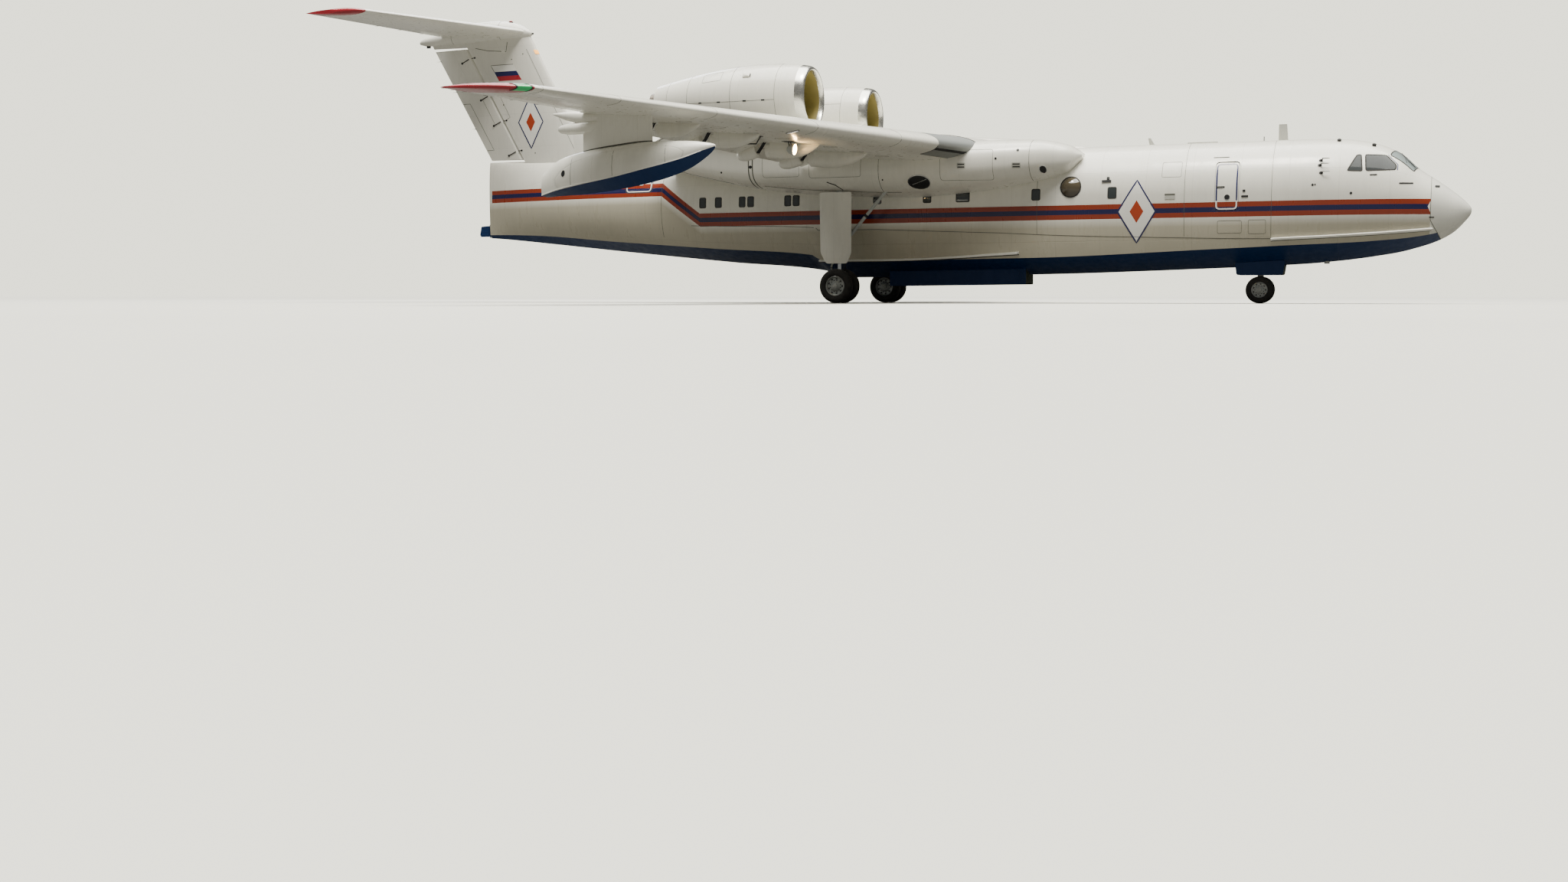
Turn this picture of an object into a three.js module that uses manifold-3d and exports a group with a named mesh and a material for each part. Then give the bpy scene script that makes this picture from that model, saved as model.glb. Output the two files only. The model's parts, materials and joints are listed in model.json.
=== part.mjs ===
// Twin-jet amphibious flying boat, parked on its landing gear.
// Millimetres. +X points to the nose, +Y to port, +Z up, the ground is at 0.
// Every height in the tables is measured from the height of the nose tip.
import * as THREE from "three";
import { mergeVertices } from "three/addons/utils/BufferGeometryUtils.js";
import Module from "manifold-3d";

const wasm = await Module();
wasm.setup();

// Driving dimensions
const HALF_LENGTH = 16025;
const NOSE_HEIGHT = 2350;
const GROUND = -NOSE_HEIGHT;
const SEAT = 0.5; // between pieces that touch
const RUN = 8; // between pieces that move past each other
const SKIN = 60; // depth of a door, from the outer skin
const GLASS = 30; // depth of a flight deck pane

// Hull
const RADOME_JOINT = [[15060, 2500], [15060, -250], [15140, -400], [15360, -740], [15600, -1300]];
const FRONT_JOINT = 5200;
const STEP = -1200;
const STERN = -12960;

// Wing, in plan: leading and trailing edge at the reference span, and their slopes
const WING = {
  reference: 1900, lead: 3770, leadSlope: -0.4036, trail: -1030, trailSlope: -0.1745,
  middle: 1800, middleSlope: 0.0174, thick: 0.16, thickSlope: -3.2e-6, camber: 0.012,
};
const WING_ROOT = 620;
const WING_TIP = 15700;
const HALF_SPAN = 16390;
const WING_HINGE = 0.72; // part of the chord in front of the flap and aileron hinges

// Tail
const FIN = {
  reference: 2120, lead: -9340, leadSlope: -0.5308, trail: -12870, trailSlope: -0.582,
  middle: 0, middleSlope: 0, thick: 0.1, thickSlope: 0, camber: 0,
};
const FIN_TOP = 6000;
const FIN_HINGE = 0.685;
const RUDDER_BOTTOM = 2170;
const RUDDER_TOP = 5720;
const STABILIZER = {
  reference: 250, lead: -11600, leadSlope: -0.543, trail: -14570, trailSlope: -0.3022,
  middle: 6140, middleSlope: 0.012, thick: 0.1, thickSlope: 0, camber: 0,
};
const STABILIZER_TIP = 4800;
const STABILIZER_HALF_SPAN = 5050;
const STABILIZER_HINGE = 0.7;

// Engines
const ENGINE_Y = 2600;
const ENGINE_Z = 3310;
const ENGINE_SIDES = 24;
const FAN_BLADES = 16;
const FAN_RADIUS = 668;
const FAN_BACK = -1950;

// Floats
const FLOAT_Y = 11900;

// Landing gear
const NOSE_GEAR_X = 10940;
const NOSE_TYRE = { radius: 360, width: 200, middle: 185, axle: 40 };
const MAIN_GEAR_X = -200;
const MAIN_GEAR_Y = 2150;
const MAIN_TYRE = { radius: 475, width: 290, middle: 275, axle: 60 };
const WHEEL_SIDES = 24;

// Openings in the hull
const BAY = { front: 4700, back: 700, hinge: 420, roof: -1000, door: 26 };
const ENTRY = { front: 10460, back: 9870, sill: 50, hingeAngle: 34 };

// Flat pads for jacks
const JACK = { radius: 70, x: 2600, y: 1600, z: 640, noseX: 12600, noseZ: -1310 };

// Control surface positions at rest, in degrees, trailing edge down
const FLAP_REST = 20;

const DEGREE = Math.PI / 180;
const point = (x, y, z) => new THREE.Vector3(x, y, z);

// Finishes
const finish = (color, roughness, metalness) =>
  new THREE.MeshStandardMaterial({ color, roughness, metalness });
const whitePaint = finish(0xe9e7df, 0.35, 0);
const navyPaint = finish(0x13213f, 0.4, 0);
const darkGlass = finish(0x3a3f42, 0.08, 0);
const bladeMetal = finish(0x6d7074, 0.35, 1);
const hotMetal = finish(0x6a5f55, 0.45, 1);
const gearMetal = finish(0xc4c6c4, 0.4, 0.6);
const tyreRubber = finish(0x1c1c1e, 0.85, 0);

// Solids
function solid(positions, index) {
  let volume = 0;
  const corner = (i) => point(...positions.slice(3 * i, 3 * i + 3));
  for (let i = 0; i < index.length; i += 3) {
    volume += corner(index[i]).dot(corner(index[i + 1]).cross(corner(index[i + 2])));
  }
  const faces = Uint32Array.from(index);
  if (volume < 0) faces.reverse();
  const mesh = new wasm.Mesh({
    numProp: 3,
    vertProperties: Float32Array.from(positions),
    triVerts: faces,
  });
  return new wasm.Manifold(mesh);
}

function fromGeometry(geometry) {
  const bare = geometry.clone();
  bare.deleteAttribute("normal");
  bare.deleteAttribute("uv");
  const merged = mergeVertices(bare, 1e-3);
  const index = [];
  const faces = merged.index.array;
  for (let i = 0; i < faces.length; i += 3) {
    const [a, b, c] = faces.slice(i, i + 3);
    if (a !== b && b !== c && c !== a) index.push(a, b, c);
  }
  return solid(Array.from(merged.attributes.position.array), index);
}

function toGeometry(made) {
  const mesh = made.getMesh();
  const geometry = new THREE.BufferGeometry();
  geometry.setAttribute("position", new THREE.BufferAttribute(mesh.vertProperties, 3));
  geometry.setIndex(new THREE.BufferAttribute(mesh.triVerts, 1));
  geometry.computeVertexNormals();
  return geometry;
}

// Rings of points that each go round the same way, closed by a flat end at each side.
function loft(rings) {
  const count = rings[0].length;
  const positions = rings.flat().flatMap((p) => [p.x, p.y, p.z]);
  const index = [];
  for (let r = 0; r + 1 < rings.length; r += 1) {
    for (let i = 0; i < count; i += 1) {
      const a = r * count + i;
      const b = r * count + ((i + 1) % count);
      // The second half is split the other way, so that a ring that starts on the centre line
      // gives a body that is its own mirror image.
      if (i < count / 2) index.push(a, b, b + count, a, b + count, a + count);
      else index.push(a, b, a + count, b, b + count, a + count);
    }
  }
  for (const [ring, start, turn] of [[rings[0], 0, 1], [rings.at(-1), (rings.length - 1) * count, 0]]) {
    const centre = positions.length / 3;
    const middle = ring.reduce((sum, p) => sum.add(p), point(0, 0, 0)).divideScalar(count);
    positions.push(middle.x, middle.y, middle.z);
    for (let i = 0; i < count; i += 1) {
      const a = start + i;
      const b = start + ((i + 1) % count);
      index.push(...(turn ? [centre, b, a] : [centre, a, b]));
    }
  }
  return solid(positions, index);
}

const box = (x0, x1, y0, y1, z0, z1) => fromGeometry(
  new THREE.BoxGeometry(x1 - x0, y1 - y0, z1 - z0)
    .translate((x0 + x1) / 2, (y0 + y1) / 2, (z0 + z1) / 2),
);

function extruded(outline, depth) {
  const shape = new THREE.Shape(outline.map(([u, v]) => new THREE.Vector2(u, v)));
  return new THREE.ExtrudeGeometry(shape, { depth, bevelEnabled: false });
}

// An outline of [x, z] pushed through from y0 to y1, and one of [y, z] from x0 to x1.
const prismAcross = (outline, y0, y1) =>
  fromGeometry(extruded(outline, y1 - y0).rotateX(Math.PI / 2).translate(0, y1, 0));
const ALONG_X = new THREE.Matrix4().makeBasis(point(0, 1, 0), point(0, 0, 1), point(1, 0, 0));
const prismAlong = (outline, x0, x1) =>
  fromGeometry(extruded(outline, x1 - x0).applyMatrix4(ALONG_X).translate(x0, 0, 0));

function rod(from, to, radius, sides = 16) {
  const axis = to.clone().sub(from);
  const turn = new THREE.Quaternion().setFromUnitVectors(point(0, 1, 0), axis.clone().normalize());
  const geometry = new THREE.CylinderGeometry(radius, radius, axis.length(), sides);
  const middle = from.clone().add(to).multiplyScalar(0.5);
  return fromGeometry(geometry.applyQuaternion(turn).translate(middle.x, middle.y, middle.z));
}

// A profile of [radius, along] turned about the x axis or the y axis.
function turned(profile, sides, axis) {
  const geometry = new THREE.LatheGeometry(profile.map(([r, a]) => new THREE.Vector2(r, a)), sides);
  geometry.rotateY(Math.PI / sides);
  if (axis === "x") geometry.rotateZ(-Math.PI / 2);
  return fromGeometry(geometry);
}

// Places in the scene: the left side is modelled, and the right side is its mirror image
const aircraft = new THREE.Group();
const airframe = new THREE.Group();
airframe.position.z = NOSE_HEIGHT;
aircraft.add(airframe);
const sides = { left: new THREE.Group(), right: new THREE.Group() };
sides.right.scale.y = -1;
airframe.add(sides.left, sides.right);

function addNode(name, made, material, place = new THREE.Matrix4(), home = airframe) {
  const mesh = new THREE.Mesh(toGeometry(made), material);
  mesh.name = name;
  mesh.applyMatrix4(place);
  home.add(mesh);
}

function addPair(name, made, material, place) {
  for (const [side, group] of Object.entries(sides)) {
    addNode(`${name}_${side}`, made, material, place, group);
  }
}

// Hull sections
const HULL_SECTIONS = [
  // x, keel z, chine y, chine z, widest y, widest z, top z
  [HALF_LENGTH, -40, 25, -25, 35, 0, 35],
  [15900, -250, 170, -170, 235, -10, 215],
  [15600, -560, 370, -400, 490, 0, 480],
  [15200, -780, 540, -570, 740, 60, 780],
  [14750, -930, 720, -660, 950, 150, 1090],
  [14320, -1040, 860, -715, 1105, 240, 1480],
  [13900, -1110, 950, -750, 1215, 310, 1690],
  [13500, -1170, 1020, -780, 1290, 370, 1810],
  [12900, -1240, 1090, -810, 1370, 440, 1890],
  [12100, -1310, 1150, -838, 1415, 480, 1920],
  [9560, -1420, 1240, -946, 1430, 490, 1920],
  [5030, -1550, 1250, -1116, 1430, 490, 1920],
  [STEP + 5, -1610, 1250, -1160, 1430, 490, 1940],
  [STEP - 5, -1440, 1235, -1000, 1430, 490, 1940],
  [-4500, -1130, 1120, -760, 1395, 510, 1970],
  [-8000, -790, 800, -500, 1120, 560, 2030],
  [-10800, -500, 420, -270, 640, 640, 2080],
  [-12300, -350, 170, -210, 290, 700, 2110],
  [STERN, -300, 70, -200, 100, 700, 2118],
];
const HULL_ARC = 7;

function hullRing([x, keel, chineY, chineZ, wideY, wideZ, top], grow) {
  const half = [[chineY + grow, chineZ]];
  const bend = chineZ + 0.45 * (wideZ - chineZ);
  for (const t of [0.33, 0.66]) {
    const y = (1 - t) ** 2 * chineY + (2 * t * (1 - t) + t * t) * wideY;
    const z = (1 - t) ** 2 * chineZ + 2 * t * (1 - t) * bend + t * t * wideZ;
    half.push([y + grow, z]);
  }
  for (let i = 0; i < HULL_ARC; i += 1) {
    const angle = (i / HULL_ARC) * 90 * DEGREE;
    half.push([(wideY + grow) * Math.cos(angle), wideZ + (top - wideZ + grow) * Math.sin(angle)]);
  }
  const other = half.map(([y, z]) => [-y, z]).reverse();
  const outline = [[0, keel - grow], ...half, [0, top + grow], ...other];
  return outline.map(([y, z]) => point(x, y, z));
}

// grow moves the skin out, or in where it is less than nothing
const hullSolid = (grow = 0) => loft(HULL_SECTIONS.map((row) => hullRing(row, grow)));

// Lifting surfaces
const leadAt = (panel, out) => panel.lead + panel.leadSlope * (out - panel.reference);
const trailAt = (panel, out) => panel.trail + panel.trailSlope * (out - panel.reference);
const chordAt = (panel, out) => leadAt(panel, out) - trailAt(panel, out);
const middleAt = (panel, out) => panel.middle + panel.middleSlope * (out - panel.reference);
const thickAt = (panel, out) => panel.thick + panel.thickSlope * (out - panel.reference);
const CHORD_STEPS = [1, 0.86, 0.72, 0.52, 0.32, 0.16, 0.06, 0.015, 0];
const EDGE = 5; // half thickness of a trailing edge

// Half thickness of the section, as a part of its chord, for a section one chord thick
const sectionShape = (f) =>
  5 * (0.2969 * Math.sqrt(f) - 0.126 * f - 0.3516 * f ** 2 + 0.2843 * f ** 3 - 0.1036 * f ** 4);
const camberAt = (panel, f) => 4 * panel.camber * f * (1 - f);

// One section, between leading edge x and trailing edge x. upright stands the span along z.
function sectionRing(panel, out, lead, trail, upright, grow = 0) {
  const chord = lead - trail;
  const place = (f, side) => {
    const x = lead - f * chord + grow * (1 - 2 * f);
    const half = sectionShape(f) * thickAt(panel, out) * chord + EDGE * f + grow;
    const n = camberAt(panel, f) * chord + side * half;
    return upright ? point(x, n, out) : point(x, out, middleAt(panel, out) + n);
  };
  const over = CHORD_STEPS.map((f) => place(f, 1));
  const under = CHORD_STEPS.slice(0, -1).map((f) => place(f, -1)).reverse();
  return [...over, ...under];
}

const plainRing = (panel, out, upright, grow) =>
  sectionRing(panel, out, leadAt(panel, out), trailAt(panel, out), upright, grow);

// The frame of a hinge: its x axis points forward, its y axis runs along the hinge.
function hingeFrame(panel, hinge, inner, outer, upright = false) {
  const on = (out) => {
    const x = leadAt(panel, out) - hinge * chordAt(panel, out);
    const n = camberAt(panel, hinge) * chordAt(panel, out);
    return upright ? point(x, 0, out) : point(x, out, middleAt(panel, out) + n);
  };
  const start = on(inner);
  const along = on(outer).sub(start);
  const length = along.length();
  along.normalize();
  const up = point(1, 0, 0).cross(along).normalize();
  const forward = along.clone().cross(up);
  const matrix = new THREE.Matrix4().makeBasis(forward, along, up).setPosition(start);
  // Distance from a point of the hinge back to the trailing edge, square to the hinge
  const back = (from) => {
    const spanOf = (v) => (upright ? v.z : v.y);
    const gap = from.x - trailAt(panel, spanOf(from));
    return gap / (forward.x - panel.trailSlope * spanOf(forward));
  };
  const nose = (out) => sectionShape(hinge) * thickAt(panel, out) * chordAt(panel, out) + EDGE * hinge - 2;
  return {
    matrix,
    length,
    noses: [nose(inner), nose(outer)],
    backs: [back(start), back(on(outer))],
  };
}

const NOSE_ARC = 6;
const PIN = 20;
const PIN_REACH = 40;
const SOCKET = PIN + 0.9;

// A flap, aileron, elevator or rudder in its hinge frame, with a pin at each end
function controlSurface(hinge, trailRise = 0) {
  const ring = (s, nose, back) => {
    const points = [];
    for (let i = 0; i <= NOSE_ARC; i += 1) {
      const angle = (96 - (i / NOSE_ARC) * 192) * DEGREE;
      points.push(point(nose * Math.cos(angle), s, nose * Math.sin(angle)));
    }
    points.push(point(-back, s, trailRise - EDGE), point(-back, s, trailRise + EDGE));
    return points;
  };
  const blade = loft([
    ring(0, hinge.noses[0], hinge.backs[0]),
    ring(hinge.length, hinge.noses[1], hinge.backs[1]),
  ]);
  return blade.add(rod(point(0, -PIN_REACH, 0), point(0, hinge.length + PIN_REACH, 0), PIN, 12));
}

// What the surface needs cut out of the panel that carries it
function controlCutter(hinge) {
  const outline = [
    [hinge.noses[0] + RUN, -RUN],
    [hinge.noses[1] + RUN, hinge.length + RUN],
    [-3 * hinge.backs[1], hinge.length + RUN],
    [-3 * hinge.backs[0], -RUN],
  ];
  const height = 1600;
  const slot = extruded(outline, height).translate(0, 0, -height / 2).applyMatrix4(hinge.matrix);
  const end = (s) => point(0, s, 0).applyMatrix4(hinge.matrix);
  const sockets = rod(end(-PIN_REACH - SEAT), end(hinge.length + PIN_REACH + SEAT), SOCKET, 12);
  return fromGeometry(slot).add(sockets);
}

// Wing panel, with its rounded tip
const WING_TIP_SECTIONS = [
  // span, leading edge x, trailing edge x
  [16000, -2170, -3510],
  [16220, -2560, -3560],
  [16340, -2960, -3590],
  [HALF_SPAN, -3330, -3590],
];

function wingPanel(grow = 0) {
  const rings = [WING_ROOT, 1900, 6500, WING_TIP].map((out) => plainRing(WING, out, false, grow));
  for (const [out, lead, trail] of WING_TIP_SECTIONS) {
    rings.push(sectionRing(WING, out, lead, trail, false, grow));
  }
  return loft(rings);
}

const wingHinge = (inner, outer) => hingeFrame(WING, WING_HINGE, inner, outer);
const flapInner = wingHinge(3050, 7250);
const flapOuter = wingHinge(7400, 11600);
const aileron = wingHinge(12270, 15450);

// Canoe fairings below the wing, at these spans. The front stays, the cone goes with the flap.
const CANOES = [
  // span, length in front of the hinge, length behind it, half width
  [4400, 1500, 1250, 105],
  [6300, 1350, 1150, 100],
  [8500, 1200, 1050, 92],
  [10500, 1050, 950, 85],
];
const CANOE_DROP = 150; // from the wing's underside to the canoe's axis
const CANOE_SIDES = 8;

function canoe(rows) {
  return loft(rows.map(([x, y, z, half]) => {
    const ring = [];
    for (let i = 0; i < CANOE_SIDES; i += 1) {
      const angle = ((i + 0.5) / CANOE_SIDES) * 2 * Math.PI;
      ring.push(point(x, y + half * Math.cos(angle), z + 1.5 * half * Math.sin(angle)));
    }
    return ring;
  }));
}

function canoeFront([out, front, , half]) {
  const hingeX = leadAt(WING, out) - WING_HINGE * chordAt(WING, out);
  const under = (x) => {
    const f = (leadAt(WING, out) - x) / chordAt(WING, out);
    const depth = sectionShape(f) * thickAt(WING, out) - camberAt(WING, f);
    return middleAt(WING, out) - depth * chordAt(WING, out);
  };
  return canoe([[front, 0.1, 0.2], [0.75 * front, 0.7, 0.6], [0.4 * front, 1, 1], [250, 1, 1]]
    .map(([ahead, width, drop]) =>
      [hingeX + ahead, out, under(hingeX + ahead) - drop * (CANOE_DROP - 90), width * half]));
}

function canoeCone([out, , back, half], hinge) {
  const matrix = hinge.matrix.clone().invert();
  const hingeX = leadAt(WING, out) - WING_HINGE * chordAt(WING, out);
  const local = point(hingeX, out, middleAt(WING, out)).applyMatrix4(matrix);
  const low = -hinge.noses[1] - 70;
  return canoe([[230, 0.95, 0], [0.5 * back, 0.8, 20], [0.8 * back, 0.5, 45], [back, 0.15, 70]]
    .map(([behind, width, rise]) => [-behind, local.y - 0.24 * behind, low + rise, width * half]));
}

// Wing root and gear fairing beside the hull
const FAIRING_SECTIONS = [
  // x, outer y, bottom z, top z
  [6350, 1180, 1540, 1680],
  [6000, 1620, 1140, 1900],
  [5200, 2060, 930, 2060],
  [4000, 2400, 740, 2080],
  [1740, 2660, 585, 2040],
  [-600, 2760, 680, 2020],
  [-2740, 2770, 888, 2180],
  [-4500, 2700, 1250, 2260],
  [-5850, 2560, 1610, 2240],
  [-6000, 2480, 1700, 2200],
];
const FAIRING_INNER = 601;

function fairingSolid(grow = 0) {
  return loft(FAIRING_SECTIONS.map(([x, outer, bottom, top]) => {
    const middle = (top + bottom) / 2;
    const shoulder = FAIRING_INNER + 0.3 * (outer - FAIRING_INNER);
    const ring = [point(x, FAIRING_INNER, bottom - grow)];
    for (let i = 0; i <= 8; i += 1) {
      const angle = (-90 + i * 22.5) * DEGREE;
      const bulge = (v) => Math.sign(v) * Math.abs(v) ** 0.8;
      const y = shoulder + (outer - shoulder + grow) * bulge(Math.cos(angle));
      const z = middle + ((top - bottom) / 2 + grow) * bulge(Math.sin(angle));
      ring.push(point(x, y, z));
    }
    ring.push(point(x, FAIRING_INNER, top + grow));
    return ring;
  }));
}

// Fairing over the middle of the wing, from the hull's crown
const CROWN_SECTIONS = [
  // x, half width, top z
  [6300, 120, 1930],
  [5600, 420, 2010],
  [4400, 600, 2200],
  [2600, 600, 2330],
  [-1500, 600, 2360],
  [-5000, 560, 2420],
  [-6900, 380, 2480],
  [-7000, 372, 2480],
];

function crownSolid() {
  return loft(CROWN_SECTIONS.map(([x, half, top]) => {
    const base = 1500;
    const ring = [point(x, 0, base), point(x, half, base)];
    for (let i = 0; i <= 6; i += 1) {
      const angle = i * 30 * DEGREE;
      const z = top - 260 + 260 * Math.sin(angle);
      ring.push(point(x, half * Math.cos(angle), z));
    }
    ring.push(point(x, -half, base));
    return ring;
  }));
}

// Fin, with the ridge that runs forward from it
const RIDGE_SECTIONS = [
  // x, half width, top z
  [-7000.5, 300, 2540],
  [-7710, 250, 2660],
  [-8430, 200, 2780],
  [-9340, 150, 3020],
  [-9950, 110, 3270],
  [-10600, 60, 3300],
];

function finPanel() {
  const ridge = loft(RIDGE_SECTIONS.map(([x, half, top]) => [
    point(x, 0, 1900),
    point(x, half * 1.2, 1900),
    point(x, half, top - 0.45 * (top - 1900)),
    point(x, half * 0.7, top - 0.12 * (top - 1900)),
    point(x, 0, top),
    point(x, -half * 0.7, top - 0.12 * (top - 1900)),
    point(x, -half, top - 0.45 * (top - 1900)),
    point(x, -half * 1.2, 1900),
  ]));
  const rings = [1900, 4000, FIN_TOP].map((out) => plainRing(FIN, out, true));
  return loft(rings).add(ridge);
}

const rudderHinge = hingeFrame(FIN, FIN_HINGE, 1900, 6000, true);
const RUDDER_SWING_RISE = 80; // room for the rudder's top as it swings

function rudderSlot() {
  const reach = rudderHinge.noses[0] + RUN;
  const top = RUDDER_TOP + RUDDER_SWING_RISE;
  const edge = (z) => leadAt(FIN, z) - FIN_HINGE * chordAt(FIN, z) + reach * 1.16;
  const outline = [[edge(1700), 1700], [edge(top), top], [-17000, top], [-17000, 1700]];
  return prismAcross(outline, -600, 600);
}

// Bullet on top of the fin
const BULLET_SECTIONS = [
  // x, radius, centre z
  [-11350, 30, 6080],
  [-11520, 150, 6110],
  [-11900, 260, 6165],
  [-12600, 335, 6215],
  [-13500, 335, 6200],
  [-14400, 240, 6130],
  [-15100, 120, 6060],
  [-15530, 30, 6020],
];

const bulletSolid = (grow = 0) => loft(BULLET_SECTIONS.map(([x, radius, z]) => {
  const ring = [];
  for (let i = 0; i < 16; i += 1) {
    const angle = (i / 16) * 2 * Math.PI - Math.PI / 2;
    ring.push(point(x, (radius + grow) * Math.cos(angle), z + (radius + grow) * Math.sin(angle)));
  }
  return ring;
}));

// Stabilizer half, with its rounded tip
const STABILIZER_TIP_SECTIONS = [
  // span, leading edge x, trailing edge x
  [4980, -14330, -16005],
  [STABILIZER_HALF_SPAN, -14900, -HALF_LENGTH],
];

function stabilizerPanel() {
  const rings = [20, 2500, STABILIZER_TIP].map((out) => plainRing(STABILIZER, out, false));
  for (const [out, lead, trail] of STABILIZER_TIP_SECTIONS) {
    rings.push(sectionRing(STABILIZER, out, lead, trail, false));
  }
  return loft(rings);
}

const elevatorHinge = hingeFrame(STABILIZER, STABILIZER_HINGE, 620, 4600);

// Engine nacelle: an open duct with a thick wall
const NACELLE_OUTER = [
  // radius, x
  [770, -800],
  [815, -830],
  [880, -1000],
  [935, -1450],
  [965, -2300],
  [955, -3500],
  [880, -4700],
  [765, -5500],
];
const NACELLE_INNER = [
  // radius, x
  [740, -5500],
  [765, -4700],
  [755, -3000],
  [695, -2300],
  [690, -1550],
  [690, -1150],
  [730, -860],
];
const CORE = [
  // radius, x
  [0, FAN_BACK - SEAT],
  [260, FAN_BACK - SEAT],
  [400, -2200],
  [470, -3200],
  [450, -4700],
  [340, -5750],
  [300, -5750],
  [290, -5300],
  [200, -5500],
  [60, -6150],
  [0, -6150],
];

function nacelleSolid(grow = 0) {
  const outer = NACELLE_OUTER.map(([r, x]) => [r + grow, x]);
  const inner = NACELLE_INNER.map(([r, x]) => [r - grow, x]);
  return turned([...outer, ...inner, outer[0]], ENGINE_SIDES, "x");
}

function engineSolid() {
  let made = turned(CORE, ENGINE_SIDES, "x");
  const vanes = 6;
  for (let i = 0; i < vanes; i += 1) {
    const vane = new THREE.BoxGeometry(420, 28, 480).translate(-2750, 0, 620);
    made = made.add(fromGeometry(vane.rotateX((i / vanes) * 2 * Math.PI)));
  }
  return made.subtract(nacelleSolid(SEAT));
}

function fanSolid() {
  const hub = [[0, -1480], [60, -1490], [150, -1570], [220, -1700], [250, -1800], [250, FAN_BACK], [0, FAN_BACK]];
  let made = turned(hub, 16, "x");
  // A blade's rings: radius, chord, turn out of the fan's plane in degrees
  const bladeRows = [[200, 120, 56], [FAN_RADIUS, 165, 28]];
  for (let i = 0; i < FAN_BLADES; i += 1) {
    const turn = new THREE.Matrix4().makeRotationX((i / FAN_BLADES) * 2 * Math.PI);
    const rings = bladeRows.map(([radius, chord, pitch]) => {
      const c = Math.cos(pitch * DEGREE);
      const s = Math.sin(pitch * DEGREE);
      const corners = [[-0.5 * chord, 0], [0, 9], [0.5 * chord, 0], [0, -9]];
      return corners.map(([u, v]) =>
        point(-1860 + u * s * 0.9 - v * c, u * c + v * s, radius).applyMatrix4(turn));
    });
    made = made.add(loft(rings));
  }
  return made;
}

// Pylon between the gear fairing and the nacelle, along the engine's axis
function enginePylon() {
  const rows = [
    // x, half width
    [-1350, 15],
    [-1700, 130],
    [-2600, 210],
    [-4200, 190],
    [-5300, 60],
    [-5450, 15],
  ];
  const outline = [...rows, ...rows.map(([x, half]) => [x, -half]).reverse()]
    .map(([x, y]) => [x, y + 2480]);
  const base = 1950;
  return fromGeometry(extruded(outline, ENGINE_Z - 450 - base).translate(0, 0, base));
}

// Wing float and its pylon
const FLOAT_SECTIONS = [
  // x, half width, keel z, chine z, top z
  [460, 30, 1100, 1125, 1160],
  [250, 170, 900, 1035, 1215],
  [-250, 300, 620, 850, 1265],
  [-1100, 390, 380, 650, 1280],
  [-2000, 390, 235, 470, 1210],
  [-2820, 340, 160, 340, 1090],
  [-3810, 240, 110, 220, 670],
];

function floatSolid(grow = 0) {
  return loft(FLOAT_SECTIONS.map(([x, half, keel, chine, top]) => {
    const right = [[half + grow, chine]];
    for (const [width, rise] of [[1.04, 0.35], [0.9, 0.7], [0.55, 0.93]]) {
      right.push([half * width + grow, chine + rise * (top - chine)]);
    }
    const left = right.map(([y, z]) => [-y, z]).reverse();
    return [[0, keel], ...right, [0, top + grow], ...left].map(([y, z]) => point(x, y + FLOAT_Y, z));
  }));
}

function floatPylon() {
  const rows = [[-1080, 20], [-1250, 75], [-1700, 110], [-2300, 85], [-2840, 12]];
  const outline = [...rows, ...rows.map(([x, half]) => [x, -half]).reverse()]
    .map(([x, y]) => [x, y + FLOAT_Y]);
  const topMiddle = middleAt(WING, FLOAT_Y) + 10;
  return fromGeometry(extruded(outline, topMiddle - 900).translate(0, 0, 900));
}

// Wheels: two tyres on one axle that turns with them, about the y axis
function wheelPair({ radius, width, middle, axle }) {
  const rim = 0.57 * radius;
  const outerFace = middle + width / 2;
  const innerFace = middle - width / 2;
  const half = [
    [axle, 0],
    [axle, innerFace + 0.12 * width],
    [rim, innerFace + 0.12 * width],
    [0.7 * radius, innerFace],
    [0.93 * radius, innerFace + 0.08 * width],
    [radius, innerFace + 0.27 * width],
    [radius, outerFace - 0.27 * width],
    [0.93 * radius, outerFace - 0.08 * width],
    [0.7 * radius, outerFace],
    [rim, outerFace - 0.1 * width],
    [0.45 * rim, outerFace - 0.26 * width],
    [0, outerFace - 0.26 * width],
  ];
  const flat = 1 / Math.cos(Math.PI / WHEEL_SIDES); // the flats, not the corners, are the rolling radius
  const scaled = half.map(([r, y]) => [r > axle ? r * flat : r, y]);
  const profile = [...scaled.slice(1).map(([r, y]) => [r, -y]).reverse(), ...scaled.slice(1)];
  return turned(profile, WHEEL_SIDES, "y");
}

// A boss with a bore for the axle, about the y axis
const axleBoss = (radius, half, axle) =>
  rod(point(0, -half, 0), point(0, half, 0), radius, 20)
    .subtract(rod(point(0, -half - 1, 0), point(0, half + 1, 0), (axle + 0.6) / Math.cos(Math.PI / 24), 24));

// Hull, cut into its sections
const whole = hullSolid();
const around = hullSolid(SEAT);
const radomeCutter = (gap) => prismAcross(
  [...RADOME_JOINT.map(([x, z]) => [x + gap, z]), [HALF_LENGTH + 500, -1300], [HALF_LENGTH + 500, 2500]],
  -2000, 2000,
);
const slab = (x0, x1) => box(x0, x1, -3000, 3000, -3000, 4000);

const PANES = {
  // outlines in x and z
  windscreen: { from: 28, outline: [[14075, 1400], [14330, 1600], [14800, 1110], [14640, 960]] },
  side_window: { from: 300, outline: [[13520, 990], [13490, 1410], [13985, 1390], [14225, 1130], [14215, 1010]] },
  quarter_window: { from: 300, outline: [[13080, 1000], [13290, 1400], [13390, 1410], [13430, 985]] },
};
const deep = hullSolid(-GLASS);
const deeper = hullSolid(-GLASS - SEAT);
const middleOf = (outline) => [0, 1].map((k) => outline.reduce((sum, p) => sum + p[k], 0) / outline.length);

function shrunk(outline, gap) {
  const [cx, cz] = middleOf(outline);
  return outline.map(([x, z]) => {
    const reach = Math.hypot(x - cx, z - cz);
    return [x + (gap * (cx - x)) / reach, z + (gap * (cz - z)) / reach];
  });
}

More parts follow.
